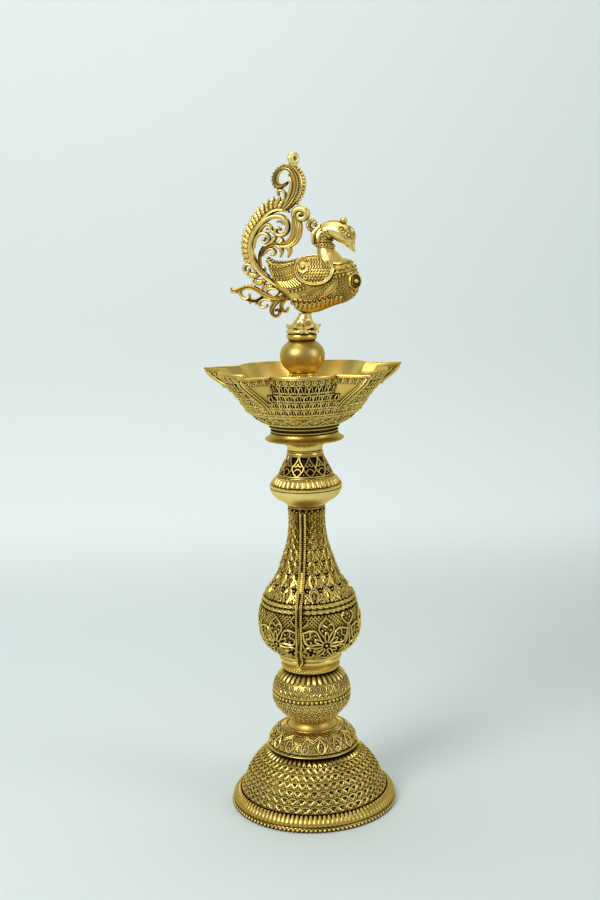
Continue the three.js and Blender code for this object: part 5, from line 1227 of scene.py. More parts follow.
bmesh.ops.spin(
    pan, geom=pan_verts + pan_edges, cent=(0, 0, 0), axis=(0, 0, 1), angle=FULL_TURN,
    steps=PAN_STEPS, use_merge=True, use_duplicate=False,
)
for vert in pan.verts:
    if vert[wall_depth] < 0:
        continue
    turn = math.atan2(vert.co.y, vert.co.x)
    height = (vert.co.z - BOWL_BOTTOM) / BOWL_TALL
    radius = bowl_radius(height, math.degrees(turn), vert[wall_depth])
    vert.co.x, vert.co.y = radius * math.cos(turn), radius * math.sin(turn)
bmesh.ops.recalc_face_normals(pan, faces=pan.faces)
rim_path = [bowl_spot(360 * i / PAN_STEPS, 1.0) for i in range(PAN_STEPS)]
rim_path = [spot * (1 - 0.7 / math.hypot(spot.x, spot.y)) for spot in rim_path]
add_wires(pan, [[(spot.x, spot.y, BOWL_BOTTOM + BOWL_TALL - 0.2) for spot in rim_path]], 0.85, 8, True)
# The pan's brass is a little darker than bright_brass
finish_piece(pan, "bowl_spouted_pan", "bowl", "bright_brass", darker_pan_brass, ["bowl_pan"])

# %% [markdown]
# On the outside each fifth of the bowl has the same work: a frieze of squares with rings under
# the rim, wire lattice on the round wall, plain triangles left bare beside the spout, granulated
# strips along its two lower edges, a line of shot, and small flowers near the foot. Cells are
# spread by true length along the wall, so they don't stretch where a spout runs outwards.

# %% Bowl: frieze under the rim
FRIEZE_LOW, FRIEZE_HIGH = 0.862, 0.972
FRIEZE_PITCH = 4.3


def even_turns(height, start, end, pitch):
    """Directions at even steps of true length along the wall, as edges of cells"""
    fine = [start + (end - start) * i / 200 for i in range(201)]
    spots = [bowl_spot(turn, height) for turn in fine]
    lengths = [0.0]
    for first, second in zip(spots, spots[1:]):
        lengths.append(lengths[-1] + (second - first).length)
    count = max(round(lengths[-1] / pitch), 1)
    edges, k = [], 0
    for i in range(count + 1):
        goal = lengths[-1] * i / count
        while k < 199 and lengths[k + 1] < goal:
            k += 1
        edges.append(fine[k] + (fine[k + 1] - fine[k]) * (goal - lengths[k]) / (lengths[k + 1] - lengths[k]))
    return edges


def bowl_path(path, left, right, low, high, lift):
    """A flat path in shares of a cell, laid on the bowl between two directions and heights"""
    return [
        on_bowl(left + (across + 0.5) * (right - left), low + up * (high - low), lift)
        for across, up in path
    ]


frieze = bmesh.new()
fifth = bmesh.new()
paths, spots = [], []
tip = FIRST_SPOUT
for start, end in ((tip + 0.8, tip + ROOT_TURN), (tip + ROOT_TURN, tip + SPOUT_TURN - ROOT_TURN),
                   (tip + SPOUT_TURN - ROOT_TURN, tip + SPOUT_TURN - 0.8)):
    edges = even_turns(0.92, start, end, FRIEZE_PITCH)
    for left, right in zip(edges, edges[1:]):
        paths.append(bowl_path([(-0.5, 0), (-0.5, 1)], left, right, FRIEZE_LOW, FRIEZE_HIGH, 0.35))
        paths.append(bowl_path(flat_circle(0, 0.5, 0.36, 0.38, 10), left, right, FRIEZE_LOW, FRIEZE_HIGH, 0.45))
        spots.append(bowl_path([(0, 0.5)], left, right, FRIEZE_LOW, FRIEZE_HIGH, 0.4)[0])
        for height in (FRIEZE_LOW, FRIEZE_HIGH):
            paths.append([on_bowl(left + (right - left) * t, height, 0.4) for t in (0, 0.5, 1)])
add_wires(fifth, paths, 0.44, 4)
for spot in spots:
    add_shot(fifth, spot, 0.7)
add_band(frieze, fifth, SPOUTS)
finish_piece(frieze, "bowl_rim_frieze", "bowl", "cast_brass", wire_brass)

# %% Bowl: lattice between the spouts
LATTICE_TURN = 7.2
LATTICE_ROWS = ((0.668, 0.850, 7), (0.520, 0.668, 8), (0.385, 0.520, 10), (0.245, 0.385, 10))
CELL_SIDE = eased([(0.30, 1.0), (0.46, 0.62), (0.46, 0.40), (0.34, 0.0)], 2)
CELL_PATHS = [CELL_SIDE, [(-across, up) for across, up in CELL_SIDE], [(-0.44, 0.30), (0, 0.26), (0.44, 0.30)],
              [(-0.14, 0.36), (-0.22, 0.92)], [(0.14, 0.36), (0.22, 0.92)]]
for fifth_number in range(1, SPOUTS + 1):
    middle = FIRST_SPOUT + SPOUT_TURN * (fifth_number - 0.5)
    lattice = bmesh.new()
    paths = []
    for row, (low, high, count) in enumerate(LATTICE_ROWS):
        first = middle - LATTICE_TURN * count / 2
        paths.append([(*on_bowl(first + LATTICE_TURN * count * t / 24, low, 0.4), 1.5) for t in range(25)])
        for cell in range(count):
            left = first + LATTICE_TURN * cell
            for path in CELL_PATHS:
                paths.append(bowl_path(path, left, left + LATTICE_TURN, low, high, 0.55))
            for across in (-0.24, 0, 0.24):
                add_shot(lattice, bowl_path([(across, 0.28)], left, left + LATTICE_TURN, low, high, 0.75)[0], 0.62, 6, 4)
    add_wires(lattice, paths, 0.38, 4)
    name = f"bowl_lattice_{fifth_number}"
    finish_piece(lattice, name, "bowl", "cast_brass", wire_brass, [f"filigree_panel_{fifth_number}"])

# %% Bowl: dark skin behind the lattice, painted as shade
SKIN_LIFT = 0.12


def add_bowl_patch(bm, turns, heights, lift, thickness):
    """A thin curved patch on the bowl, made from a flat grid that is wrapped and given a wall"""
    made = bmesh.ops.create_grid(bm, x_segments=turns[2], y_segments=heights[2], size=0.5)
    for vert in made["verts"]:
        turn = turns[0] + (vert.co.x + 0.5) * (turns[1] - turns[0])
        height = heights[0] + (vert.co.y + 0.5) * (heights[1] - heights[0])
        vert.co = on_bowl(turn, height, lift)
    faces = list({face for vert in made["verts"] for face in vert.link_faces})
    bmesh.ops.solidify(bm, geom=faces, thickness=thickness)


# A near-black skin just off the wall: painted shade seen through the lattice
backing = bmesh.new()
for fifth_number in range(SPOUTS):
    middle = FIRST_SPOUT + SPOUT_TURN * (fifth_number + 0.5)
    for low, high, count in LATTICE_ROWS:
        half = min(LATTICE_TURN * count / 2, 35.95)
        add_bowl_patch(backing, (middle - half, middle + half, 40), (low, high, 6), SKIN_LIFT, 0.1)
bmesh.ops.recalc_face_normals(backing, faces=backing.faces)
finish_piece(backing, "bowl_dark_backing", "bowl", "cast_brass", painted_shade_ground)

# %% Bowl: strips on the spouts' lower edges
STRIP_LOW, STRIP_HIGH = 0.33, 0.95
STRIP_SPAN = 3.4
for number in range(1, SPOUTS + 1):
    tip_turn = FIRST_SPOUT + SPOUT_TURN * (number - 1)
    strip = bmesh.new()
    steps = 34
    paths = []
    for side in (-1, -0.5, 0, 0.5, 1):
        path = []
        for i in range(steps + 1):
            height = STRIP_LOW + (STRIP_HIGH - STRIP_LOW) * i / steps
            reach = bowl_radius(height, tip_turn)
            turn = tip_turn + math.degrees(side * STRIP_SPAN * (1.15 - 0.75 * i / steps) / reach)
            path.append(on_bowl(turn, height, 0.5 if side else 0.3))
        if side in (-1, 0, 1):
            paths.append(path)
        else:
            for spot, next_spot in zip(path, path[1:]):
                add_shot(strip, (spot + next_spot) / 2, 0.74, 6, 4)
    add_wires(strip, paths, 0.45, 6)
    for i in range(5):
        add_shot(strip, on_bowl(tip_turn, STRIP_LOW + 0.04 + 0.075 * i, 0.6), 0.95)
    finish_piece(strip, f"spout_granulated_strip_{number}", "bowl", "cast_brass", wire_brass, [f"spout_keel_{number}"])

# %% Bowl: shot line and flower band near the foot
FLOWER_COUNT = 14
flowers = bmesh.new()
bowl_low_line = [(bowl_radius(h, FIRST_SPOUT + 36), BOWL_BOTTOM + h * BOWL_TALL) for h in (0.02, 0.05, 0.083, 0.12, 0.16, 0.20, 0.237, 0.26)]
bowl_low_skin = Skin(bowl_low_line)
shot_row(flowers, bowl_low_skin, 110, 0.90, 0.5, 0.4)
ring_wire(flowers, bowl_low_skin, 0.84, 0.38, 0.2)
ring_wire(flowers, bowl_low_skin, 0.12, 0.45, 0.2)
ring_wire(flowers, bowl_low_skin, 0.02, 0.4, 0.2)
CROSS = [[(-0.30, 0.1), (0, 0.5), (0.30, 0.9)], [(-0.30, 0.9), (0, 0.5), (0.30, 0.1)]]
DIAMOND = [[(-0.42, 0.5), (0, 1.0), (0.42, 0.5), (0, 0.0), (-0.42, 0.5)]]
wire_row(flowers, bowl_low_skin, CROSS, FLOWER_COUNT, 0.16, 0.80, 0.42, 0.3, 0, 4)
wire_row(flowers, bowl_low_skin, DIAMOND, FLOWER_COUNT, 0.14, 0.82, 0.34, 0.2, 0.5, 4)
for share, side, size in ((0.48, 0, 0.9), (0.66, 0, 0.6), (0.30, 0, 0.6), (0.48, 0.14, 0.6), (0.48, -0.14, 0.6), (0.48, 0.5, 1.1)):
    shot_row(flowers, bowl_low_skin, FLOWER_COUNT, share, size, 0.25, side)
SMALL_SCALE = eased([(-0.5, 0), (-0.3, 0.7), (0, 0.95), (0.3, 0.7), (0.5, 0)], 1)
for row in range(3):
    low = 0.14 + 0.23 * row
    wire_row(flowers, bowl_low_skin, [SMALL_SCALE], 3 * FLOWER_COUNT, low, low + 0.23, 0.22, 0.08, 0.5 * (row % 2), 4)
finish_piece(flowers, "bowl_shot_and_flowers", "bowl", "cast_brass", wire_brass)

# %% Bowl: flange and foot rings
flange_line = [(21.0, 230.0), (23.2, 230.2), (23.9, 230.7), (23.9, 231.2), (23.3, 231.6)]
flange_line += [(22.9, 231.8), (22.0, 232.4), (21.6, 232.6), (21.2, 233.2), (20.7, 233.8), (20.5, 234.7)]
flange = bmesh.new()
spin_outline(flange, [(12.8, 230.0)] + flange_line + [(12.8, 234.7)])
finish_piece(flange, "bowl_turned_flange", "bowl", "bright_brass", aged_brass, ["bowl_flange"])

ring_lines = [(19.0, 235.0), (19.9, 235.1), (20.5, 235.6), (20.6, 236.2), (20.1, 236.7), (19.5, 236.9)]
ring_lines += [(19.4, 237.3), (20.2, 237.6), (21.2, 238.1), (21.4, 238.7), (20.8, 239.1), (20.4, 239.3), (20.6, 240.0)]
foot_rings = bmesh.new()
spin_outline(foot_rings, [(10.0, 235.0)] + ring_lines + [(10.0, 240.0)])
finish_piece(foot_rings, "bowl_turned_foot_rings", "bowl", "bright_brass", aged_brass, ["bowl_foot_rings"])

# %% [markdown]
# The finial below the bird
#
# A short neck rises out of the bowl and carries a plain satin ball, a ring and a rough little
# cup of leaves. The leaves were left as they came from the mould, so they are bent strips with
# thick edges, and their cup gets a finish of its own with the pits and lumps of raw casting.

# %% Finial: neck, ball and ring
finial_neck = bmesh.new()
finial_neck_line = eased([(8.6, 248.5), (8.4, 250.0), (7.3, 252.0), (6.9, 258.0), (7.0, 264.0), (7.6, 267.0)], 3)
finial_neck_line += [(8.3, 267.4), (8.7, 268.2), (8.5, 269.0), (7.8, 269.4), (7.7, 270.4)]
spin_outline(finial_neck, [(ROD_BORE, 248.5)] + finial_neck_line + [(ROD_BORE, 270.4)])
finish_piece(finial_neck, "finial_turned_neck", "finial", "bright_brass", bright_brass, ["finial_neck"])

BALL_BOTTOM, BALL_TALL, BALL_WIDEST = 270.7, 18.9, 13.4
ball = bmesh.new()
ball_line = eased([
    (7.7, 0.0), (8.5, 0.035), (10.6, 0.14), (12.5, 0.29), (13.35, 0.46), (13.3, 0.62), (12.2, 0.78),
    (10.2, 0.90), (8.7, 0.965), (7.9, 1.0),
], 4)
ball_line = [(radius, BALL_BOTTOM + share * BALL_TALL) for radius, share in ball_line]
spin_outline(ball, [(ROD_BORE, BALL_BOTTOM)] + ball_line + [(ROD_BORE, BALL_BOTTOM + BALL_TALL)])
# The ball's darker brass is a painted reflection of the dark bowl
finish_piece(ball, "finial_satin_ball", "finial", "bright_brass", painted_reflection_brass, ["finial_ball"])

finial_ring = bmesh.new()
finial_ring_line = eased([
    (7.6, 289.9), (8.2, 290.3), (9.0, 291.3), (9.2, 292.4), (8.9, 293.3), (8.3, 293.9), (7.9, 294.1),
], 3)
spin_outline(finial_ring, [(ROD_BORE, 289.9)] + finial_ring_line + [(ROD_BORE, 294.1)])
finish_piece(finial_ring, "finial_rounded_ring", "finial", "cast_brass", cast_brass, ["finial_ring"])

# %% Finial: leaf cup
STEM_LEAN = 2.4
LEAVES = 6
LEAF_STEPS = 12
cup = bmesh.new()
cup_line = eased([
    (8.6, 294.4), (9.4, 295.2), (9.2, 296.0), (7.8, 297.2), (6.6, 299.0), (5.5, 301.4), (4.4, 303.6),
    (3.9, 305.2), (4.1, 305.9),
], 4)
spin_outline(cup, [(ROD_BORE - 1, 294.4)] + cup_line + [(ROD_BORE - 1, 305.9)], 96)
for vert in cup.verts:
    rise = max((vert.co.z - 294.4) / 11.5, 0)
    reach = math.hypot(vert.co.x, vert.co.y)
    lump = 1 + 0.06 * noise.noise(vert.co * 0.55) + 0.03 * noise.noise(vert.co * 1.4) if reach > 5 else 1
    vert.co.x = vert.co.x * lump + STEM_LEAN * rise ** 1.4
    vert.co.y *= lump


def add_leaf(bm, path, widths, thickness, turn):
    """A thick bent leaf that starts at the axis side and points outwards, turned into place"""
    made = bmesh.ops.create_grid(bm, x_segments=4, y_segments=LEAF_STEPS, size=0.5)["verts"]
    for vert in made:
        share = vert.co.y + 0.5
        spot, width = path[round(share * LEAF_STEPS)], widths[round(share * LEAF_STEPS)][0]
        across = vert.co.x * 2
        vert.co = (spot[0], across * width, spot[1] - 0.35 * width * across * across)
    faces = list({face for vert in made for face in vert.link_faces})
    shell = bmesh.ops.solidify(bm, geom=faces, thickness=thickness)["geom"]
    corners = set(made) | {item for item in shell if isinstance(item, bmesh.types.BMVert)}
    bmesh.ops.rotate(bm, verts=list(corners), cent=(0, 0, 0), matrix=Matrix.Rotation(turn, 3, "Z"))
    bmesh.ops.translate(bm, verts=list(corners), vec=(STEM_LEAN / 2, 0, 0))


cup_leaves = bmesh.new()
leaf_path = eased([(3.8, 303.6), (5.2, 301.6), (6.8, 300.0), (8.6, 299.3), (10.4, 299.8)], 3)
leaf_widths = eased([(2.2, 0), (3.1, 0), (3.2, 0), (2.2, 0), (0.5, 0)], 3)
for leaf in range(LEAVES):
    add_leaf(cup_leaves, leaf_path, leaf_widths, 1.7, math.radians(360 * leaf / LEAVES))
bmesh.ops.recalc_face_normals(cup_leaves, faces=cup_leaves.faces)
lower_path = eased([(6.0, 299.0), (7.3, 297.6), (8.8, 296.6), (10.2, 296.7)], 4)
lower_widths = eased([(2.2, 0), (3.0, 0), (2.4, 0), (0.5, 0)], 4)
for leaf in range(LEAVES):
    add_leaf(cup_leaves, lower_path, lower_widths, 1.6, math.radians(360 * (leaf + 0.5) / LEAVES))
bmesh.ops.recalc_face_normals(cup_leaves, faces=cup_leaves.faces)
finish_piece(cup, "leaf_cup_rough_body", "finial", "cast_brass", rough_brass, ["leaf_cup"])
finish_piece(cup_leaves, "leaf_cup_leaves", "finial", "cast_brass", rough_brass)

# %% [markdown]
# The peacock's body
#
# The body is a plump boat of a shape, cast in one piece with rows of shot and combed feathers
# on its skin. A sphere can't be pulled to this shape by eye, so its sections are given: how low,
# how high and how wide it is at shares of its length. A tube spun around the length is then
# moved to those sections, and the same rule puts ornament on the flank.

# %% Body: the rule for its skin
SEAT = 306.1
BIRD_TURN = math.radians(-20)
BIRD_STRETCH = 1 / math.cos(BIRD_TURN)
BODY_REAR, BODY_LONG, BODY_TALL, BODY_WIDE = -19.6, 54.4, 33.5, 25.0
BODY_FORM = eased([
    (0.000, 0.965, 0.985, 0.06), (0.024, 0.779, 0.976, 0.16), (0.085, 0.549, 0.919, 0.36),
    (0.160, 0.379, 0.900, 0.60), (0.252, 0.245, 0.910, 0.80), (0.329, 0.072, 0.940, 0.90),
    (0.419, 0.000, 0.976, 0.96), (0.542, 0.020, 1.000, 1.00), (0.664, 0.099, 0.980, 0.976),
    (0.772, 0.158, 0.940, 0.92), (0.862, 0.218, 0.942, 0.80), (0.925, 0.293, 0.850, 0.64),
    (0.969, 0.403, 0.696, 0.36), (1.000, 0.530, 0.570, 0.08),
], 3)


def body_section(along):
    """The body's middle height, half height and half width at a share of its length"""
    i = 0
    while i < len(BODY_FORM) - 2 and BODY_FORM[i + 1][0] < along:
        i += 1
    low, high = BODY_FORM[i], BODY_FORM[i + 1]
    t = (along - low[0]) / (high[0] - low[0])
    below, above, width = (low[k] + t * (high[k] - low[k]) for k in (1, 2, 3))
    return (below + above) / 2 * BODY_TALL, (above - below) / 2 * BODY_TALL, width * BODY_WIDE / 2


def body_bare(along, angle):
    middle, half_tall, half_wide = body_section(min(max(along, 0), 1))
    angle = math.radians(angle)
    return Vector((
        BODY_REAR + along * BODY_LONG, -half_wide * math.cos(angle),
        SEAT + middle + half_tall * math.sin(angle),
    ))


def body_spot(along, angle, lift=0.0):
    """A spot on the body: 0 degrees is the near flank, 90 the back, 180 the far flank"""
    lengthwise = body_bare(min(along + 0.01, 1), angle) - body_bare(max(along - 0.01, 0), angle)
    around = body_bare(along, angle + 1) - body_bare(along, angle - 1)
    return body_bare(along, angle) + lift * lengthwise.cross(around).normalized()


def flank_spot(x, height, side, lift=0.0):
    """The spot on a flank that shows at a place of the side view; side is 0 for near, 1 for far"""
    drawn = x
    for _ in range(4):
        along = min(max((drawn - BODY_REAR) / BODY_LONG, 0.005), 0.995)
        middle, half_tall, _ = body_section(along)
        angle = math.degrees(math.asin(min(max((height - middle) / half_tall, -0.96), 0.96)))
        drawn = x + math.sin(BIRD_TURN) * body_bare(along, angle).y
    return body_spot(along, 180 - angle if side else angle, lift)


def finish_bird(bm, *about):
    """Turns a piece of the bird, drawn as the side view shows it, towards the viewer"""
    bmesh.ops.scale(bm, vec=(BIRD_STRETCH, 1, 1), verts=bm.verts)
    turned = Matrix.Rotation(BIRD_TURN, 3, "Z")
    bmesh.ops.rotate(bm, verts=bm.verts, cent=(0, 0, 0), matrix=turned)
    return finish_piece(bm, *about)


def crosswise_tube(bm, shares, place, sides):
    """A closed tube: a line of shares is spun once, and place() says where each point goes"""
    line = [bm.verts.new((0, 0, 0))]
    line += [bm.verts.new((1, 0, i)) for i in range(len(shares))]
    line.append(bm.verts.new((0, 0, len(shares) - 1)))
    edges = [bm.edges.new(pair) for pair in zip(line, line[1:])]
    bmesh.ops.spin(
        bm, geom=line + edges, cent=(0, 0, 0), axis=(0, 0, 1), angle=FULL_TURN, steps=sides,
        use_merge=True, use_duplicate=False,
    )
    bmesh.ops.remove_doubles(bm, verts=bm.verts, dist=0.001)
    for vert in bm.verts:
        middle = math.hypot(vert.co.x, vert.co.y) < 0.5
        angle = math.degrees(math.atan2(vert.co.y, vert.co.x))
        vert.co = place(shares[round(vert.co.z)], None if middle else angle)
    bmesh.ops.recalc_face_normals(bm, faces=bm.faces)


def body_place(along, angle):
    if angle is None:
        return (body_bare(along, 90) + body_bare(along, -90)) / 2
    return body_bare(along, angle)


# %% Body: skin, shot and combed feathers
WING_X, WING_HEIGHT = 8.3, 25.4
WING_HALF_LONG, WING_HALF_TALL = 11.2, 8.5
FLANK_SHOT = (
    (((-18.9, 32.7), (-17.0, 30.9), (-14.7, 29.9), (-9.4, 30.1), (-3.5, 31.4)), 0.72),
    (((-19.5, 29.8), (-17.8, 28.1), (-13.8, 26.8), (-9.4, 27.2), (-3.6, 28.9)), 0.76),
    (((-14.7, 20.2), (-10.5, 20.1), (-6.5, 20.9), (-3.2, 22.0)), 0.72),
    (((-6.6, 13.1), (-2.4, 13.6), (2.0, 15.1)), 0.90),
    (((8.6, 9.9), (12.1, 12.5), (15.2, 15.7), (18.6, 19.2), (20.0, 22.6)), 0.70),
    (((-0.2, 10.1), (3.6, 9.9), (7.4, 10.3)), 0.62),
    (((19.9, 25.3), (21.8, 25.4), (24.5, 25.8), (26.8, 26.4), (29.9, 27.4)), 0.92),
    (((20.6, 21.2), (22.9, 21.6), (25.2, 22.2), (29.0, 23.0)), 0.78),
)
FLANK_WIRES = (
    (((-19.3, 31.2), (-17.0, 29.2), (-13.6, 28.3), (-8.3, 28.8), (-3.1, 30.1)), 0.30),
    (((-17.2, 27.0), (-13.3, 25.7), (-9.5, 25.9), (-4.2, 27.2)), 0.30),
    (((-15.6, 21.6), (-10.3, 21.4), (-6.5, 22.1), (-3.2, 23.2)), 0.34),
    (((-7.7, 14.4), (-3.2, 15.0), (-0.1, 16.0), (2.9, 17.5)), 0.42),
    (((-1.7, 11.6), (1.4, 12.5), (4.5, 14.0), (8.2, 16.0)), 0.42),
    (((5.1, 9.6), (10.5, 12.0), (13.6, 15.1), (16.4, 18.1)), 0.38),
    (((11.2, 9.6), (16.2, 11.8), (18.9, 14.0), (20.9, 17.0), (21.6, 20.0)), 0.55),
    (((19.7, 23.3), (22.9, 23.6), (26.8, 24.2), (31.0, 25.5)), 0.45),
)
FLANK_COMBS = (
    (((-17.0, 26.0), (-13.3, 24.9), (-9.5, 25.2), (-3.8, 26.2)), ((-15.2, 22.7), (-12.6, 22.3), (-8.8, 22.6), (-3.6, 23.9)), 0.46),
    (((-12.6, 19.0), (-7.7, 19.0), (-4.6, 19.6), (-1.6, 20.4)), ((-10.0, 15.6), (-5.8, 15.4), (-1.6, 16.2), (1.7, 17.9)), 0.50),
    (((2.0, 12.8), (5.2, 14.3), (9.6, 16.2)), ((4.4, 10.4), (8.6, 12.6), (13.6, 16.3)), 0.32),
)
SADDLE = ((14.6, 33.2), (16.2, 30.9), (18.6, 29.2), (22.3, 28.4), (26.1, 29.2), (29.2, 30.6))


def even_spots(points, pitch):
    """Spots at an even pitch along a curve of the side view"""
    line = Skin(eased(points, 8))
    count = max(round(line.length / pitch), 1)
    return [line.at(i / count)[:2] for i in range(count + 1)]


body = bmesh.new()
crosswise_tube(body, [row[0] for row in BODY_FORM], body_place, 64)
for side in (0, 1):
    for points, size in FLANK_SHOT:
        for x, height in even_spots(points, 2.55 * size):
            add_shot(body, flank_spot(x, height, side, 0.3 * size), size)
    for points, thickness in FLANK_WIRES:
        wire = [flank_spot(x, height, side, 0.3 * thickness) for x, height in even_spots(points, 0.8)]
        add_wires(body, [wire], thickness, 6)
    combs = []
    for high_line, low_line, thickness in FLANK_COMBS:
        highs, lows = Skin(eased(high_line, 8)), Skin(eased(low_line, 8))
        count = round(lows.length / (3.1 * thickness))
        for k in range(count + 1):
            (x0, h0), (x1, h1) = highs.at(k / count)[:2], lows.at(k / count)[:2]
            path = [(x0 + (x1 - x0) * t, h0 + (h1 - h0) * t) for t in (0, 0.33, 0.67, 1)]
            combs.append([(*flank_spot(x, height, side, 0.45 * thickness), 2 * thickness) for x, height in path])
    add_wires(body, combs, 0.5, 6)
    saddle = [flank_spot(x, height, side, 0.2) for x, height in even_spots(SADDLE, 0.8)]
    add_wires(body, [saddle], 0.75, 6)
    lobes = []
    for x, height in even_spots(((-7.4, 6.6), (-3.0, 4.7), (3.0, 4.1), (9.0, 4.9), (16.0, 6.6), (22.6, 8.8)), 2.5):
        lobe = ((0.9, 1.9, 0.7), (0.5, 0.9, 1.0), (0.0, -0.2, 1.0), (-0.5, -1.3, 0.8), (-0.7, -2.2, 0.2))
        lobes.append([(*flank_spot(x + dx, height + dh, side, 0.2), size) for dx, dh, size in lobe])
    add_wires(body, lobes, 1.15, 6)
    for x, height in even_spots(((-3.6, 7.9), (3.6, 7.4), (8.5, 8.0), (16.6, 10.0)), 3.1):
        curl = [(x + r * math.cos(a), height + r * math.sin(a)) for r, a in
                ((1.9, 3.4), (1.9, 4.5), (1.7, 5.6), (1.3, 6.7), (0.8, 7.8))]
        add_wires(body, [[(*flank_spot(*spot, side, 0.25), 1.3 - 0.12 * k) for k, spot in enumerate(curl)]], 0.5, 6)
        add_shot(body, flank_spot(x, height + 0.2, side, 0.2), 0.62)
    for x, height in ((20.8, 9.9), (13.9, 6.4)):
        add_shot(body, flank_spot(x, height, side, 0.3), 0.95)
        ring = [flank_spot(x + 1.9 * math.cos(0.5 * k), height + 1.7 * math.sin(0.5 * k), side, 0.2) for k in range(12)]
        add_wires(body, [ring], 0.45, 6)
for k in range(18):
    add_shot(body, body_spot(0.03 + 0.028 * k, 90, 0.2), 0.66)
for row in range(6):
    along = 0.815 + 0.027 * row
    _, half_tall, half_wide = body_section(along)
    count = round(math.pi * (half_tall + half_wide) / 1.55)
    for k in range(count):
        angle = 360 * (k + 0.5 * (row % 2)) / count - 90
        if abs(angle + 90) < 108 or abs(angle - 270) < 108:
            add_shot(body, body_spot(along, angle, 0.15), 0.62, 6, 4)
for turned in (-77, 257):
    add_wires(body, [[body_spot(0.30 + 0.60 * t / 40, turned, 0.1) for t in range(41)]], 0.42, 4)
finish_bird(body, "peacock_body_skin", "finial", "cast_brass", cast_brass, ["peacock_body"])

# %% Body: wings
for side, name in ((0, "wing_right"), (1, "wing_left")):
    wing = bmesh.new()
    plate = [(0, 0.5), (0.3, 0.5), (0.6, 0.5), (0.84, 0.45), (0.875, 0.9), (0.905, 0.9), (0.93, 0.5), (0.95, 0.95), (1.0, 0.9)]
    spin_outline(wing, plate + [(1.01, 0.2), (1.0, -0.5), (0, -0.5)], 72)
    for vert in wing.verts:
        x, height = WING_X + WING_HALF_LONG * vert.co.x, WING_HEIGHT + WING_HALF_TALL * vert.co.y
        vert.co = flank_spot(x, height, side, vert.co.z)
    bmesh.ops.recalc_face_normals(wing, faces=wing.faces)

    def on_wing(across, up, lift=0.7):
        return flank_spot(WING_X + across, WING_HEIGHT + up, side, lift)

    def inside(across, up, share):
        return math.hypot(across / WING_HALF_LONG, up / WING_HALF_TALL) < share

    for share, thickness in ((0.975, 0.5), (0.885, 0.4)):
        rim = flat_circle(0, 0, WING_HALF_LONG * share, WING_HALF_TALL * share, 64)
        add_wires(wing, [[on_wing(x, y, 1.0) for x, y in rim[:-1]]], thickness, 6, True)
    crescent = []
    for k in range(13):
        angle = math.radians(165 + 17 * k)
        crescent.append((*on_wing(-6.3 + 2.9 * math.cos(angle), 1.6 + 2.9 * math.sin(angle), 0.8), 0.45 + 0.9 * math.sin(math.pi * k / 12)))
    add_wires(wing, [crescent], 0.75, 8)
    add_shot(wing, on_wing(-6.3, 1.5, 0.55), 1.35, 12, 8)
    fan = []
    for k in range(6):
        angle = math.radians(50 + 17 * k)
        fan.append([on_wing(-6.0 + r * math.cos(angle), 2.2 + r * math.sin(angle), 0.7) for r in (2.6, 3.4, 4.3)
                    if inside(-6.0 + r * math.cos(angle), 2.2 + r * math.sin(angle), 0.86)])
    add_wires(wing, [path for path in fan if len(path) > 1], 0.38, 6)
    waves = []
    for column in range(8):
        x = -2.1 + 1.52 * column
        zigzag = [(x + (0.38 if k % 2 else -0.38), 7.3 - 1.15 * k) for k in range(7)]
        waves.append([on_wing(*spot, 0.75) for spot in zigzag if inside(*spot, 0.84)])
    add_wires(wing, [path for path in waves if len(path) > 1], 0.46, 6)
    for row in range(5):
        y = -0.7 - 1.5 * row
        for column in range(-6, 7):
            x = 1.75 * (column + 0.5 * (row % 2))
            if inside(x, y, 0.82):
                add_shot(wing, on_wing(x, y, 0.75), 0.68)
    finish_bird(wing, f"{name}_feathers", "finial", "cast_brass", bird_brass, [name])

# %% Body: boss on the breast
BOSS_PLACE, BOSS_TURN, BOSS_RADIUS = (32.3, -3.9, 18.4), math.radians(-28), 5.0
boss = bmesh.new()
boss_line = [(0, 3.0), (0.13, 2.9), (0.22, 2.5), (0.27, 1.8), (0.30, 0.4), (0.40, 0.2), (0.44, 1.1), (0.50, 1.4)]
boss_line += [(0.57, 1.1), (0.60, 0.3), (0.76, 0.3), (0.80, 1.3), (0.88, 1.6), (0.96, 1.1), (1.0, -0.6), (0.9, -4.0)]
boss_line.append((0, -4.0))
spin_outline(boss, [(BOSS_RADIUS * share, rise) for share, rise in boss_line], 48)
for k in range(22):
    angle = FULL_TURN * k / 22
    reach = 0.68 * BOSS_RADIUS
    add_shot(boss, (reach * math.cos(angle), reach * math.sin(angle), 0.5), 0.40, 6, 4)
bmesh.ops.rotate(boss, verts=boss.verts, cent=(0, 0, 0), matrix=Matrix.Rotation(math.radians(90), 3, "Y"))
bmesh.ops.rotate(boss, verts=boss.verts, cent=(0, 0, 0), matrix=Matrix.Rotation(BOSS_TURN, 3, "Z"))
bmesh.ops.translate(boss, verts=boss.verts, vec=(BOSS_PLACE[0], BOSS_PLACE[1], SEAT + BOSS_PLACE[2]))
finish_bird(boss, "breast_boss_rings", "finial", "cast_brass", cast_brass, ["breast_boss"])

# %% [markdown]
# The peacock's neck and head
#
# Neck, head and beak are one tapering tube along a bent line, which is how the wax for such a
# casting is rolled. Its collar of leaves, necklace, eyes and crest are laid on through a rule
# that knows the line's direction at each place.

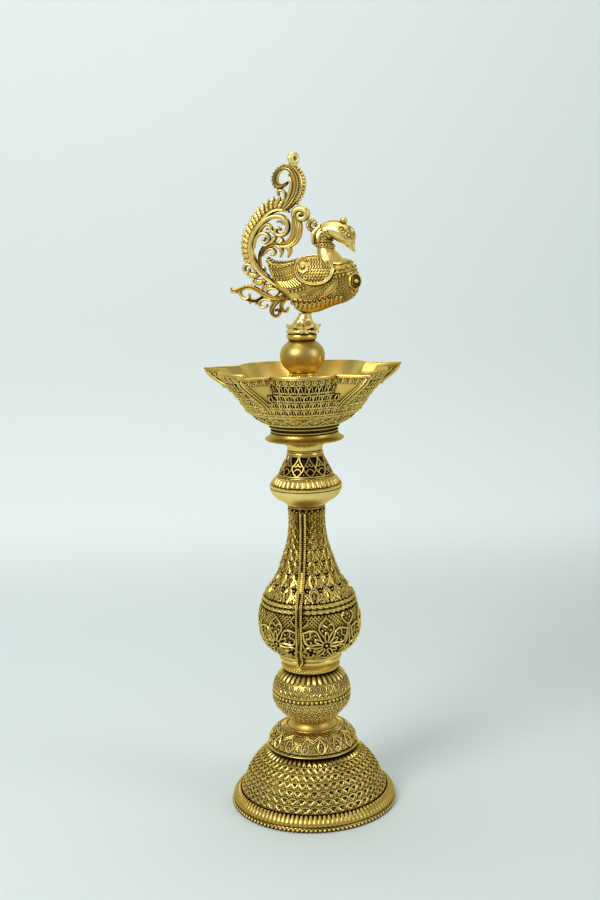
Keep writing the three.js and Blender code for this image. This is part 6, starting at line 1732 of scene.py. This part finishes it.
# %% Neck and head: the rule for the tube
NECK_POINTS = (
    (17.6, 27.0, 9.0), (16.4, 32.0, 7.0), (15.6, 34.8, 5.5), (15.05, 38.0, 4.65), (14.2, 41.3, 4.7),
    (13.9, 44.6, 4.9), (16.1, 47.2, 4.9), (19.4, 48.0, 5.1), (22.7, 47.4, 5.4), (25.8, 45.5, 5.4),
    (27.9, 43.2, 4.7), (29.0, 41.2, 3.6), (29.8, 39.3, 2.4), (30.9, 37.2, 1.5), (32.2, 35.0, 0.35),
)
NECK_LINE = eased(NECK_POINTS, 5)
NECK_SPANS = len(NECK_POINTS) - 1


def along_line(line, share):
    """The place, direction and size at a share of a flat line in the lamp's middle plane"""
    at = min(max(share, 0.0), 1.0) * (len(line) - 1)
    i = min(int(at), len(line) - 2)
    first, second = line[i], line[i + 1]
    t = at - i
    place = [first[k] + t * (second[k] - first[k]) for k in range(3)]
    run, climb = second[0] - first[0], second[1] - first[1]
    size = math.hypot(run, climb)
    return place, (run / size, climb / size)


def line_spot(line, share, across=0.0, deep=0.0):
    """A spot beside a flat line: across to its left, and deep towards the viewer"""
    (x, height, _), (run, climb) = along_line(line, share)
    return Vector((x - climb * across, -deep, SEAT + height + run * across))


def neck_spot(point, angle, lift=0.0):
    """A spot on the neck by the number of its nearest point; 0 degrees is the nape, 90 the near side"""
    share = point / NECK_SPANS
    (_, _, radius), _ = along_line(NECK_LINE, share)
    angle = math.radians(angle)
    reach = radius + lift
    return line_spot(NECK_LINE, share, reach * math.cos(angle), reach * math.sin(angle))


def neck_place(point, angle):
    return line_spot(NECK_LINE, point / NECK_SPANS) if angle is None else neck_spot(point, angle)


def neck_ring(bm, point, thickness, lift=0.0, tilt=0.0):
    """A wire around the neck. A tilted one sits higher on the nape than on the throat."""
    path = [neck_spot(point + tilt * math.cos(math.radians(10 * k)), 10 * k, lift) for k in range(36)]
    add_wires(bm, [path], thickness, 6, True)


# %% Neck, necklace and collar
NECK_ENDS = 7.6
NECKLACE, NECKLACE_TILT, NECKLACE_SHOT = 3.45, 0.5, 22
neck = bmesh.new()
crosswise_tube(neck, [NECK_ENDS * i / 40 for i in range(41)], neck_place, 40)
for turn in (0, 37, 74, -37, -74):
    for beside, length in ((-9, 0.85), (9, 1.0)):
        leaf = [(*neck_spot(5.9 - 1.9 * length * t, turn * (1 + 0.12 * t) + beside * (1 - t), 0.45 + 1.5 * t * t), width)
                for t, width in ((0, 0.5), (0.2, 0.9), (0.5, 1.15), (0.8, 0.85), (1, 0.3))]
        add_wires(neck, [leaf], 0.95, 8)
for side in (1, -1):
    for point, angle, size in ((5.0, 112, 1.5), (6.15, 100, 1.25), (6.5, 138, 1.35)):
        ring = [neck_spot(point + size / 3.2 * math.cos(0.5 * k), side * (angle + 11.5 * size * math.sin(0.5 * k)), 0.35)
                for k in range(13)]
        add_wires(neck, [ring], 0.55, 6)
        add_shot(neck, neck_spot(point, side * angle, 0.1), 0.6)
for tilt_point, thickness, lift in ((4.15, 0.5, 0.45), (4.35, 0.35, 0.3)):
    neck_ring(neck, tilt_point, thickness, lift, 0.3)
for k in range(14):
    add_shot(neck, neck_spot(5.4 + 0.17 * k, 0, 0.15), 0.5)
finish_bird(neck, "peacock_neck_and_collar", "finial", "cast_brass", bird_brass, ["peacock_neck"])

necklace = bmesh.new()
for k in range(NECKLACE_SHOT):
    turn = 360 * k / NECKLACE_SHOT
    add_shot(necklace, neck_spot(NECKLACE + NECKLACE_TILT * math.cos(math.radians(turn)), turn, 0.45), 0.78, 8, 6)
neck_ring(necklace, NECKLACE - 0.26, 0.4, 0.3, NECKLACE_TILT)
neck_ring(necklace, NECKLACE + 0.26, 0.4, 0.3, NECKLACE_TILT)
finish_bird(necklace, "peacock_necklace", "finial", "bright_brass", wire_brass, ["neck_ring"])

# %% Head, eyes and beak
BEAK_STARTS = 11.9
head = bmesh.new()
head_points = [NECK_ENDS - 0.4, NECK_ENDS] + [NECK_ENDS + 0.01 + (NECK_SPANS - NECK_ENDS) * i / 36 for i in range(37)]


def head_place(point, angle):
    """The head's skin, whose first ring slips inside the neck"""
    return neck_place(point, angle) if angle is None or point > NECK_ENDS else neck_spot(point, angle, -0.6)


crosswise_tube(head, head_points, head_place, 40)
for side in (1, -1):
    for point, angle, size in ((10.0, 58, 1.5), (8.7, 62, 1.15)):
        eye = [neck_spot(point + size / 2.7 * math.cos(0.4 * k), side * (angle + 14 * size * math.sin(0.4 * k)), 0.2)
               for k in range(16)]
        add_wires(head, [eye], 0.36, 6)
        add_shot(head, neck_spot(point, side * angle, 0.15), 0.95 if size > 1.4 else 0.6, 10, 8)
    for start, lift in ((24, 0.25), (96, 0.05)):
        brow = [neck_spot(9.2 + 0.22 * k, side * (start + (0.62 if start < 90 else -0.5) * k * k / 2), lift) for k in range(9)]
        add_wires(head, [brow], 0.34, 6)
    lips = [neck_spot(BEAK_STARTS + 0.22 * k, side * 96, 0.03) for k in range(9)]
    add_wires(head, [lips], 0.24, 4)
    add_shot(head, neck_spot(12.3, side * 55, 0), 0.36, 6, 4)
    for k in range(3):
        petal = [(*neck_spot(8.9 + 0.42 * t + 0.25 * k, side * (8 + 13 * k) * (1 - 0.3 * t), 0.3), width)
                 for t, width in ((0, 0.4), (0.5, 1.1), (1.2, 1.0), (2, 0.3))]
        add_wires(head, [petal], 0.6, 6)
for k in range(5):
    add_shot(head, neck_spot(7.8 + 0.17 * k, 0, 0.15), 0.48)
add_shot(head, neck_spot(10.2, 0, 0.15), 0.8)
neck_ring(head, BEAK_STARTS, 0.42, 0.0)
finish_bird(head, "peacock_head_and_beak", "finial", "cast_brass", bird_brass, ["peacock_head"])

# %% Crest: knob and curl
KNOB_X, KNOB_FOOT, KNOB_TOP = 26.1, 49.3, 55.6
crest_knob = bmesh.new()
knob_line = eased([
    (1.9, 0.0), (2.2, 0.14), (1.7, 0.26), (1.35, 0.34), (1.75, 0.46), (1.95, 0.62), (1.8, 0.78), (1.2, 0.92), (0.0, 1.0),
], 3)
spin_outline(crest_knob, [(0, KNOB_FOOT)] + [(r, KNOB_FOOT + t * (KNOB_TOP - KNOB_FOOT)) for r, t in knob_line], 32)
bmesh.ops.translate(crest_knob, verts=crest_knob.verts, vec=(KNOB_X, 0, SEAT))
finish_bird(crest_knob, "crest_bud", "finial", "cast_brass", cast_brass, ["crest_knob"])

CURL_LINE = eased([
    (10.9, 47.0, 1.1), (8.6, 47.9, 1.15), (6.4, 49.1, 1.2), (5.6, 51.3, 1.2), (6.5, 53.2, 1.15),
    (8.2, 53.8, 1.1), (9.5, 52.6, 1.05), (9.3, 50.6, 1.0),
], 5)
CURL_RIBS = 15
crest_curl = bmesh.new()
for k in range(CURL_RIBS):
    (x, height, size), direction = along_line(CURL_LINE, k / (CURL_RIBS - 1))
    across = Vector((-direction[1], 0, direction[0]))
    rib = [line_spot(CURL_LINE, k / (CURL_RIBS - 1)) + across * size * math.cos(0.45 * j) + Vector((0, size * math.sin(0.45 * j), 0))
           for j in range(14)]
    add_wires(crest_curl, [rib], 0.42, 6, True)
add_wires(crest_curl, [[(*line_spot(CURL_LINE, k / 40), along_line(CURL_LINE, k / 40)[0][2]) for k in range(41)]], 0.95, 10)
finish_bird(crest_curl, "crest_shot_curl", "finial", "cast_brass", bird_brass, ["crest_curl"])

# %% [markdown]
# The tail
#
# The tail is an openwork casting, flat enough to hold in one plane but full in section: a smooth
# rib, volutes that end in buds, a ribbed club with a spiral on its end, and an outer edge of
# pointed leaves with shot down their middles. Each scroll is a line with widths, and its section
# is a rounded bar whose faces rise into as many ridges as wanted.

# %% Tail: scrolls, buds and blades
PLUME_DEEP, SCROLL_DEEP = 5.4, 4.3


def add_scroll(bm, points, deep=SCROLL_DEEP, ridges=1, groove=0.32, sides=16, steps=5):
    """A rounded bar along a flat line of (x, height, width), ridged on both faces"""
    line = eased(points, steps)
    bar = bmesh.new()
    shares = [i / (len(line) - 1) for i in range(len(line))]

    def place(share, angle):
        if angle is None:
            return line_spot(line, share)
        (_, _, width), _ = along_line(line, share)
        across, rise = math.cos(math.radians(angle)), math.sin(math.radians(angle))
        ridge = 0.5 - 0.5 * math.cos(math.pi * ridges * (across + 1))
        full = math.copysign(abs(rise) ** 0.6, rise) * (1 - groove * (1 - ridge) if ridges > 1 else 1)
        thick = deep / 2 * min(1.0, 0.45 + width / 5)
        return line_spot(line, share, across * width / 2, full * thick)

    crosswise_tube(bar, shares, place, sides)
    join_part(bm, bar)
    return line


def add_volute(bm, points, bud, ridges=1, deep=SCROLL_DEEP):
    """A scroll with a ball in its eye"""
    line = add_scroll(bm, points, deep, ridges, 0.35)
    add_shot(bm, line_spot(line, 1.0), bud, 12, 9)
    return line


def add_blade(bm, root, tip, width, deep=0.0):
    """A small pointed leaf between two spots of the side view"""
    (x0, h0), (x1, h1) = root, tip
    blade = [(x0 + (x1 - x0) * t, -deep * (1 - 0.6 * t), SEAT + h0 + (h1 - h0) * t, size)
             for t, size in ((0, 0.6), (0.3, 1.0), (0.6, 0.85), (0.85, 0.45), (1, 0.1))]
    add_wires(bm, [blade], width, 8)


# %% Tail: rib and outer leaves
RIB = (
    (-12.5, 15.8, 2.6), (-17.0, 18.8, 2.7), (-21.0, 22.0, 3.0), (-25.2, 26.6, 3.4), (-28.2, 31.6, 4.2), (-29.4, 36.8, 4.2),
    (-29.0, 42.2, 3.6), (-27.0, 47.4, 3.4), (-23.9, 51.9, 3.2), (-20.7, 55.6, 3.1), (-16.5, 59.3, 2.9),
    (-12.3, 60.9, 2.7), (-8.6, 60.6, 2.2), (-5.4, 59.2, 1.2),
)
OUTER_LEAVES = 16
FIRST_LEAF, LAST_LEAF = 0.30, 0.875
tail = bmesh.new()
rib_line = add_scroll(tail, RIB, PLUME_DEEP, 2, 0.12, 28, 4)
for leaf in range(OUTER_LEAVES):
    place = leaf / (OUTER_LEAVES - 1)
    share = FIRST_LEAF + (LAST_LEAF - FIRST_LEAF) * place
    reach = 4.6 + 3.4 * place - 13.0 * max(place - 0.86, 0)
    for layer in (1, -1):
        blade = []
        for t, size in ((0, 1.0), (0.3, 1.1), (0.55, 1.0), (0.75, 0.7), (0.9, 0.4), (1, 0.12)):
            spot = line_spot(rib_line, share + 0.030 * t + 0.012 * t * t, 0.6 + reach * t, layer * 1.1 * (1 - 0.9 * t))
            blade.append((*spot, size))
        add_wires(tail, [blade], 1.6, 8)
        for t, size in ((0.16, 1.0), (0.42, 0.9), (0.64, 0.7)):
            spot = line_spot(rib_line, share + 0.030 * t + 0.012 * t * t, 0.6 + reach * t, layer * (2.5 - 1.5 * t))
            add_shot(tail, spot, size)
for k in range(15):
    share = 0.135 + 0.215 * k / 14
    for layer in (1, -1):
        add_shot(tail, line_spot(rib_line, share, -1.5, layer * 2.05), 0.6)

# %% Tail: volutes beside the rib
add_volute(tail, (
    (-27.9, 42.6, 1.6), (-26.2, 47.6, 2.4), (-23.0, 51.9, 2.9), (-19.2, 55.2, 3.0), (-14.5, 57.0, 3.0), (-9.7, 56.5, 3.0),
    (-6.9, 53.4, 2.8), (-6.5, 49.4, 2.6), (-8.6, 46.4, 2.5), (-11.9, 45.9, 2.3), (-13.8, 48.0, 2.1), (-12.6, 50.2, 2.0),
    (-10.9, 49.4, 1.7),
), 1.0, 1, PLUME_DEEP)
for k in range(6):
    angle = math.radians(28 + 17 * k)
    add_blade(tail, (-11.0 + 3.2 * math.cos(angle), 50.2 + 4.3 * math.sin(angle)),
              (-11.6 + 1.7 * math.cos(angle), 51.2 + 2.0 * math.sin(angle)), 0.62, 1.2)
add_volute(tail, (
    (-27.2, 38.6, 1.6), (-26.2, 43.2, 1.6), (-24.0, 46.4, 1.7), (-20.8, 47.3, 1.9), (-18.2, 45.7, 2.1), (-18.0, 43.0, 2.0),
    (-20.2, 41.8, 1.8), (-21.4, 43.3, 1.6), (-20.2, 44.2, 1.4),
), 0.95)
add_volute(tail, (
    (-23.6, 47.6, 1.5), (-21.4, 51.0, 1.6), (-18.7, 52.6, 1.6), (-16.3, 51.2, 1.6), (-16.3, 48.9, 1.6), (-18.2, 48.4, 1.5),
    (-18.8, 49.6, 1.3),
), 0.8)
add_scroll(tail, ((-19.6, 39.9, 2.1), (-16.5, 41.7, 2.2), (-14.2, 44.4, 2.2), (-14.2, 47.0, 2.0), (-16.4, 48.9, 1.4)))

# %% Tail: the ribbed club and its spiral
club_line = add_scroll(tail, (
    (-22.2, 34.0, 1.5), (-20.9, 37.6, 2.0), (-17.9, 39.8, 2.6), (-14.1, 40.7, 2.9), (-10.6, 40.3, 3.6), (-7.2, 40.4, 4.8),
    (-3.9, 42.4, 6.2), (-1.8, 45.8, 6.8), (-1.0, 50.0, 6.6), (-1.3, 54.0, 5.6), (-1.9, 57.3, 4.2), (-2.1, 59.0, 3.2),
), PLUME_DEEP, 5, 0.24, 40)
add_volute(tail, (
    (-2.6, 56.6, 3.2), (-2.1, 59.5, 3.6), (0.7, 61.0, 3.7), (3.8, 59.9, 3.7), (4.8, 57.2, 3.6), (3.1, 55.0, 3.4),
    (0.7, 55.4, 3.0), (0.1, 57.4, 2.6), (1.6, 58.5, 2.3), (2.7, 57.5, 1.9),
), 1.0, 1, PLUME_DEEP)
for points in (
    ((-13.4, 39.7, 2.6), (-11.0, 38.4, 2.6), (-10.5, 35.7, 2.0), (-11.4, 32.8, 0.5)),
    ((-9.3, 39.4, 3.2), (-6.5, 38.8, 3.2), (-5.6, 36.0, 2.5), (-6.9, 32.6, 0.5)),
    ((-14.1, 40.7, 2.0), (-11.0, 41.5, 2.8), (-9.9, 43.1, 1.9), (-11.0, 45.2, 0.4)),
    ((-18.2, 40.2, 1.8), (-15.8, 41.9, 2.2), (-15.2, 43.4, 1.6), (-16.4, 45.0, 0.4)),
):
    add_scroll(tail, points)
add_volute(tail, (
    (-20.4, 35.4, 1.4), (-18.9, 37.4, 1.5), (-16.2, 38.1, 1.6), (-14.4, 36.6, 1.6), (-14.9, 34.7, 1.5), (-16.7, 34.6, 1.3),
), 0.85)

# %% Tail: grooved strip beside the body
add_scroll(tail, (
    (-21.4, 39.6, 1.2), (-23.4, 35.6, 2.0), (-23.9, 30.4, 2.3), (-22.8, 25.8, 2.3), (-20.0, 21.6, 2.3), (-16.5, 17.6, 2.2),
    (-11.5, 13.0, 2.0), (-6.5, 9.4, 2.2),
), SCROLL_DEEP, 2, 0.5, 24)
add_volute(tail, (
    (-26.0, 24.4, 1.8), (-28.6, 28.2, 2.1), (-31.8, 29.2, 2.1), (-33.4, 26.9, 2.1), (-32.8, 24.7, 2.0), (-30.8, 24.4, 1.8),
    (-30.3, 26.0, 1.6),
), 0.95)
lobed = (
    ((-31.6, 24.6), (-29.4, 23.0), (-26.8, 22.4), (-24.2, 23.4)),
    ((-28.2, 20.4), (-26.0, 18.8), (-23.4, 18.4), (-20.6, 19.6)),
    ((-22.4, 17.0), (-20.2, 15.6), (-17.8, 15.6), (-15.0, 17.0)),
)
for leaf_line in lobed:
    middle = eased(leaf_line, 3)
    leaf_wire = [(x, 0, SEAT + height, 0.35 + 0.75 * math.sin(math.pi * (0.12 + 0.7 * i / 9))) for i, (x, height) in enumerate(middle)]
    add_wires(tail, [leaf_wire], 1.7, 8)
    for i in (1, 3, 5, 7):
        for layer in (1, -1):
            add_shot(tail, (middle[i][0], layer * 1.25, SEAT + middle[i][1] + 0.3), 0.95)
            add_shot(tail, (middle[i][0] - 0.3, layer * 0.7, SEAT + middle[i][1] - 1.3), 0.7)

# %% Tail: leaf and scrolls at the bottom
add_scroll(tail, (
    (-8.0, 9.4, 2.6), (-14.0, 8.8, 3.0), (-19.5, 10.0, 3.6), (-24.8, 13.2, 3.4), (-28.2, 15.0, 3.0), (-32.0, 15.6, 2.8),
    (-35.6, 14.6, 2.9), (-38.6, 13.3, 3.2), (-40.7, 13.9, 2.8), (-41.9, 15.6, 0.9),
), SCROLL_DEEP, 2, 0.4, 24)
add_volute(tail, (
    (-36.8, 14.0, 1.8), (-35.7, 10.5, 2.0), (-33.4, 8.6, 2.1), (-31.2, 9.2, 1.8), (-30.8, 11.0, 1.2),
), 0.9)
add_scroll(tail, ((-33.4, 8.4, 1.2), (-30.6, 7.9, 2.3), (-27.8, 7.4, 2.6), (-25.4, 8.0, 2.2), (-22.4, 10.2, 1.4)), SCROLL_DEEP, 3, 0.4, 20)
add_volute(tail, (
    (-17.4, 7.4, 1.5), (-20.2, 8.2, 1.6), (-23.3, 7.7, 1.7), (-25.0, 6.0, 1.7), (-24.4, 4.1, 1.6), (-22.1, 3.4, 1.6), (-20.2, 4.6, 1.4),
), 0.9)
add_volute(tail, (
    (-7.6, 10.6, 2.6), (-12.3, 8.7, 3.4), (-15.7, 5.7, 3.4), (-17.6, 2.4, 2.7), (-17.2, -0.6, 2.2), (-14.9, -1.9, 2.0),
    (-12.8, -0.2, 1.9), (-13.6, 2.0, 1.7), (-15.3, 1.6, 1.4),
), 0.8, 2)
add_volute(tail, (
    (-6.4, 9.4, 2.2), (-10.3, 6.9, 2.4), (-11.8, 4.2, 2.3), (-10.9, 1.6, 2.1), (-8.7, 1.0, 1.9), (-7.7, 2.9, 1.6),
), 0.95, 2)
add_scroll(tail, (
    (-13.4, 14.4, 1.4), (-17.7, 14.6, 1.6), (-20.5, 12.8, 1.6), (-20.6, 10.6, 1.5),
))
add_scroll(tail, ((-18.2, 9.6, 1.4), (-15.0, 10.6, 1.5), (-12.8, 12.4, 1.4), (-12.6, 15.0, 1.3)))
for root, tip in (
    ((-24.6, 13.0), (-22.0, 15.6)), ((-31.0, 15.6), (-33.6, 18.0)), ((-27.0, 14.8), (-29.4, 17.4)),
    ((-29.4, 8.2), (-31.2, 5.4)), ((-26.4, 7.6), (-27.4, 4.8)), ((-22.6, 27.6), (-19.8, 25.4)),
    ((-40.2, 13.6), (-42.2, 12.2)), ((-29.6, 28.4), (-28.6, 31.4)),
):
    add_blade(tail, root, tip, 1.15)
finish_bird(tail, "peacock_tail_plume", "finial", "cast_brass", bird_brass, ["tail_plume"])

# %% Tail: crescent at the tip
TIP = (
    (-8.6, 60.4, 3.2), (-5.0, 64.0, 5.4), (-2.0, 68.4, 7.0), (-0.5, 72.7, 7.8), (-0.3, 76.8, 7.6), (-1.2, 80.6, 6.6),
    (-3.2, 83.6, 4.8), (-5.9, 84.9, 3.5), (-8.6, 84.5, 3.1), (-11.3, 82.5, 3.1), (-12.8, 79.4, 3.2), (-12.6, 76.2, 3.3),
    (-10.7, 74.2, 3.1), (-8.2, 74.6, 2.4), (-6.2, 76.0, 1.4), (-5.6, 76.9, 0.5),
)
tip = bmesh.new()
tip_line = add_scroll(tip, TIP, PLUME_DEEP, 4, 0.36, 40, 5)
tip_body = Skin([row[:2] for row in tip_line])
add_scroll(tip, (
    (-8.6, 61.6, 1.6), (-6.0, 66.2, 2.3), (-4.2, 70.6, 2.5), (-3.3, 74.5, 2.4), (-3.4, 77.4, 2.1), (-4.4, 79.6, 1.2), (-4.8, 81.0, 0.3),
), PLUME_DEEP * 1.08)
add_volute(tip, (
    (-7.6, 62.8, 1.5), (-7.4, 67.4, 1.6), (-7.6, 70.2, 1.7), (-9.6, 72.0, 1.7), (-11.6, 71.4, 1.6), (-11.4, 69.4, 1.4),
), 0.8)
add_scroll(tip, ((-8.4, 64.6, 1.5), (-10.0, 63.2, 1.5), (-11.9, 62.0, 1.3), (-13.2, 62.6, 0.8)))
for k in range(14):
    share = 0.10 + 0.34 * k / 13
    (_, _, width), _ = along_line(tip_line, share)
    add_shot(tip, line_spot(tip_line, share, -width / 2 - 0.35), 1.25 - 0.04 * abs(k - 6.5), 10, 8)
for k in range(22):
    share = 0.09 + 0.37 * k / 21
    (_, _, width), _ = along_line(tip_line, share)
    for layer in (1, -1):
        add_shot(tip, line_spot(tip_line, share, -width * 0.30, layer * 2.1), 0.5)
for k in range(11):
    share = 0.50 + 0.32 * k / 10
    (_, _, width), _ = along_line(tip_line, share)
    root, end = line_spot(tip_line, share - 0.012, width * -0.3), line_spot(tip_line, share + 0.012, width * -0.5 - 1.3)
    tooth = [(*root.lerp(end, t), size) for t, size in ((0, 1.0), (0.6, 0.8), (1, 0.15))]
    add_wires(tip, [tooth], 0.8, 6)
finish_bird(tip, "tail_tip_crescent", "finial", "cast_brass", bird_brass, ["tail_tip_scroll"])

# %% Hanging loop
LOOP_X, LOOP_TOP, LOOP_OUT, LOOP_WIRE = -2.1, 94.0, 4.1, 1.8
loop = bmesh.new()
loop_height = SEAT + LOOP_TOP - LOOP_OUT
loop_round = flat_circle(0, 0, LOOP_OUT - LOOP_WIRE, LOOP_OUT - LOOP_WIRE, 40)
add_wires(loop, [[(x, 0, z) for x, z in loop_round[:-1]]], LOOP_WIRE, 12, True)
bmesh.ops.rotate(loop, verts=loop.verts, cent=(0, 0, 0), matrix=Matrix.Rotation(math.radians(65), 3, "Z"))
bmesh.ops.translate(loop, verts=loop.verts, vec=(LOOP_X, 0, loop_height))
add_shot(loop, (LOOP_X - 0.6, 0, loop_height - LOOP_OUT + 0.6), 2.2, 14, 10)
finish_bird(loop, "hanging_loop_cast", "finial", "cast_brass", rough_brass, ["hanging_loop"])

# %% [markdown]
# What is left of the solid model
#
# The rods, the nut and washer, the seal and the sheet under the foot have the right shape in the
# solid model, so they keep it and only get finishes: turned steel, pressed fibre, and sheet
# brass with the fine circles of the lathe. Their colour changes with distance from the axis.

# %% Finishes for the inner pieces
def make_turned(name, light, dark, metallic, roughness, ring_scale, bump):
    """A finish with fine rings around the axis and a little mottling"""
    material = bpy.data.materials.new(name)
    material.use_nodes = True
    tree = material.node_tree
    shader = tree.nodes["Principled BSDF"]
    shader.inputs["Metallic"].default_value = metallic
    place = tree.nodes.new("ShaderNodeTexCoord").outputs["Object"]
    rings = tree.nodes.new("ShaderNodeTexWave")
    rings.wave_type, rings.rings_direction = "RINGS", "Z"
    rings.inputs["Scale"].default_value = ring_scale
    rings.inputs["Distortion"].default_value = 0.6
    link(tree, place, rings.inputs["Vector"])
    mottle = add_noise(tree, place, ring_scale * 0.6, 4)
    share = add_range(tree, add_math(tree, "ADD", rings.outputs["Fac"], mottle), 0.4, 1.6, 0, 1)
    link(tree, add_mix(tree, share, dark, light), shader.inputs["Base Color"])
    link(tree, add_range(tree, share, 0, 1, roughness + 0.15, roughness), shader.inputs["Roughness"])
    relief = tree.nodes.new("ShaderNodeBump")
    relief.inputs["Distance"].default_value = 0.00005
    relief.inputs["Strength"].default_value = bump
    link(tree, share, relief.inputs["Height"])
    link(tree, relief.outputs["Normal"], shader.inputs["Normal"])
    return material


turned_steel = make_turned("turned_steel", (0.62, 0.62, 0.60), (0.30, 0.29, 0.27), 1.0, 0.32, 900, 0.6)
sheet_brass = make_turned("sheet_brass", (0.66, 0.47, 0.13), (0.36, 0.24, 0.06), 1.0, 0.34, 420, 0.5)
pressed_fibre = make_turned("pressed_fibre", (0.34, 0.12, 0.07), (0.20, 0.06, 0.035), 0.0, 0.78, 1300, 0.8)
INNER_FINISHES = {"rod_steel": turned_steel, "seal_fibre": pressed_fibre}
for name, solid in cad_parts.items():
    if solid.hide_render:
        continue
    for slot in solid.material_slots:
        slot.material = INNER_FINISHES.get(slot.material.name.split(".")[0], sheet_brass)
    print(f"{name}: {solid.material_slots[0].material.name}")

# %% [markdown]
# At the end the script prints how many pieces and triangles it made.

# %% Count of pieces and triangles
print("total:", total)
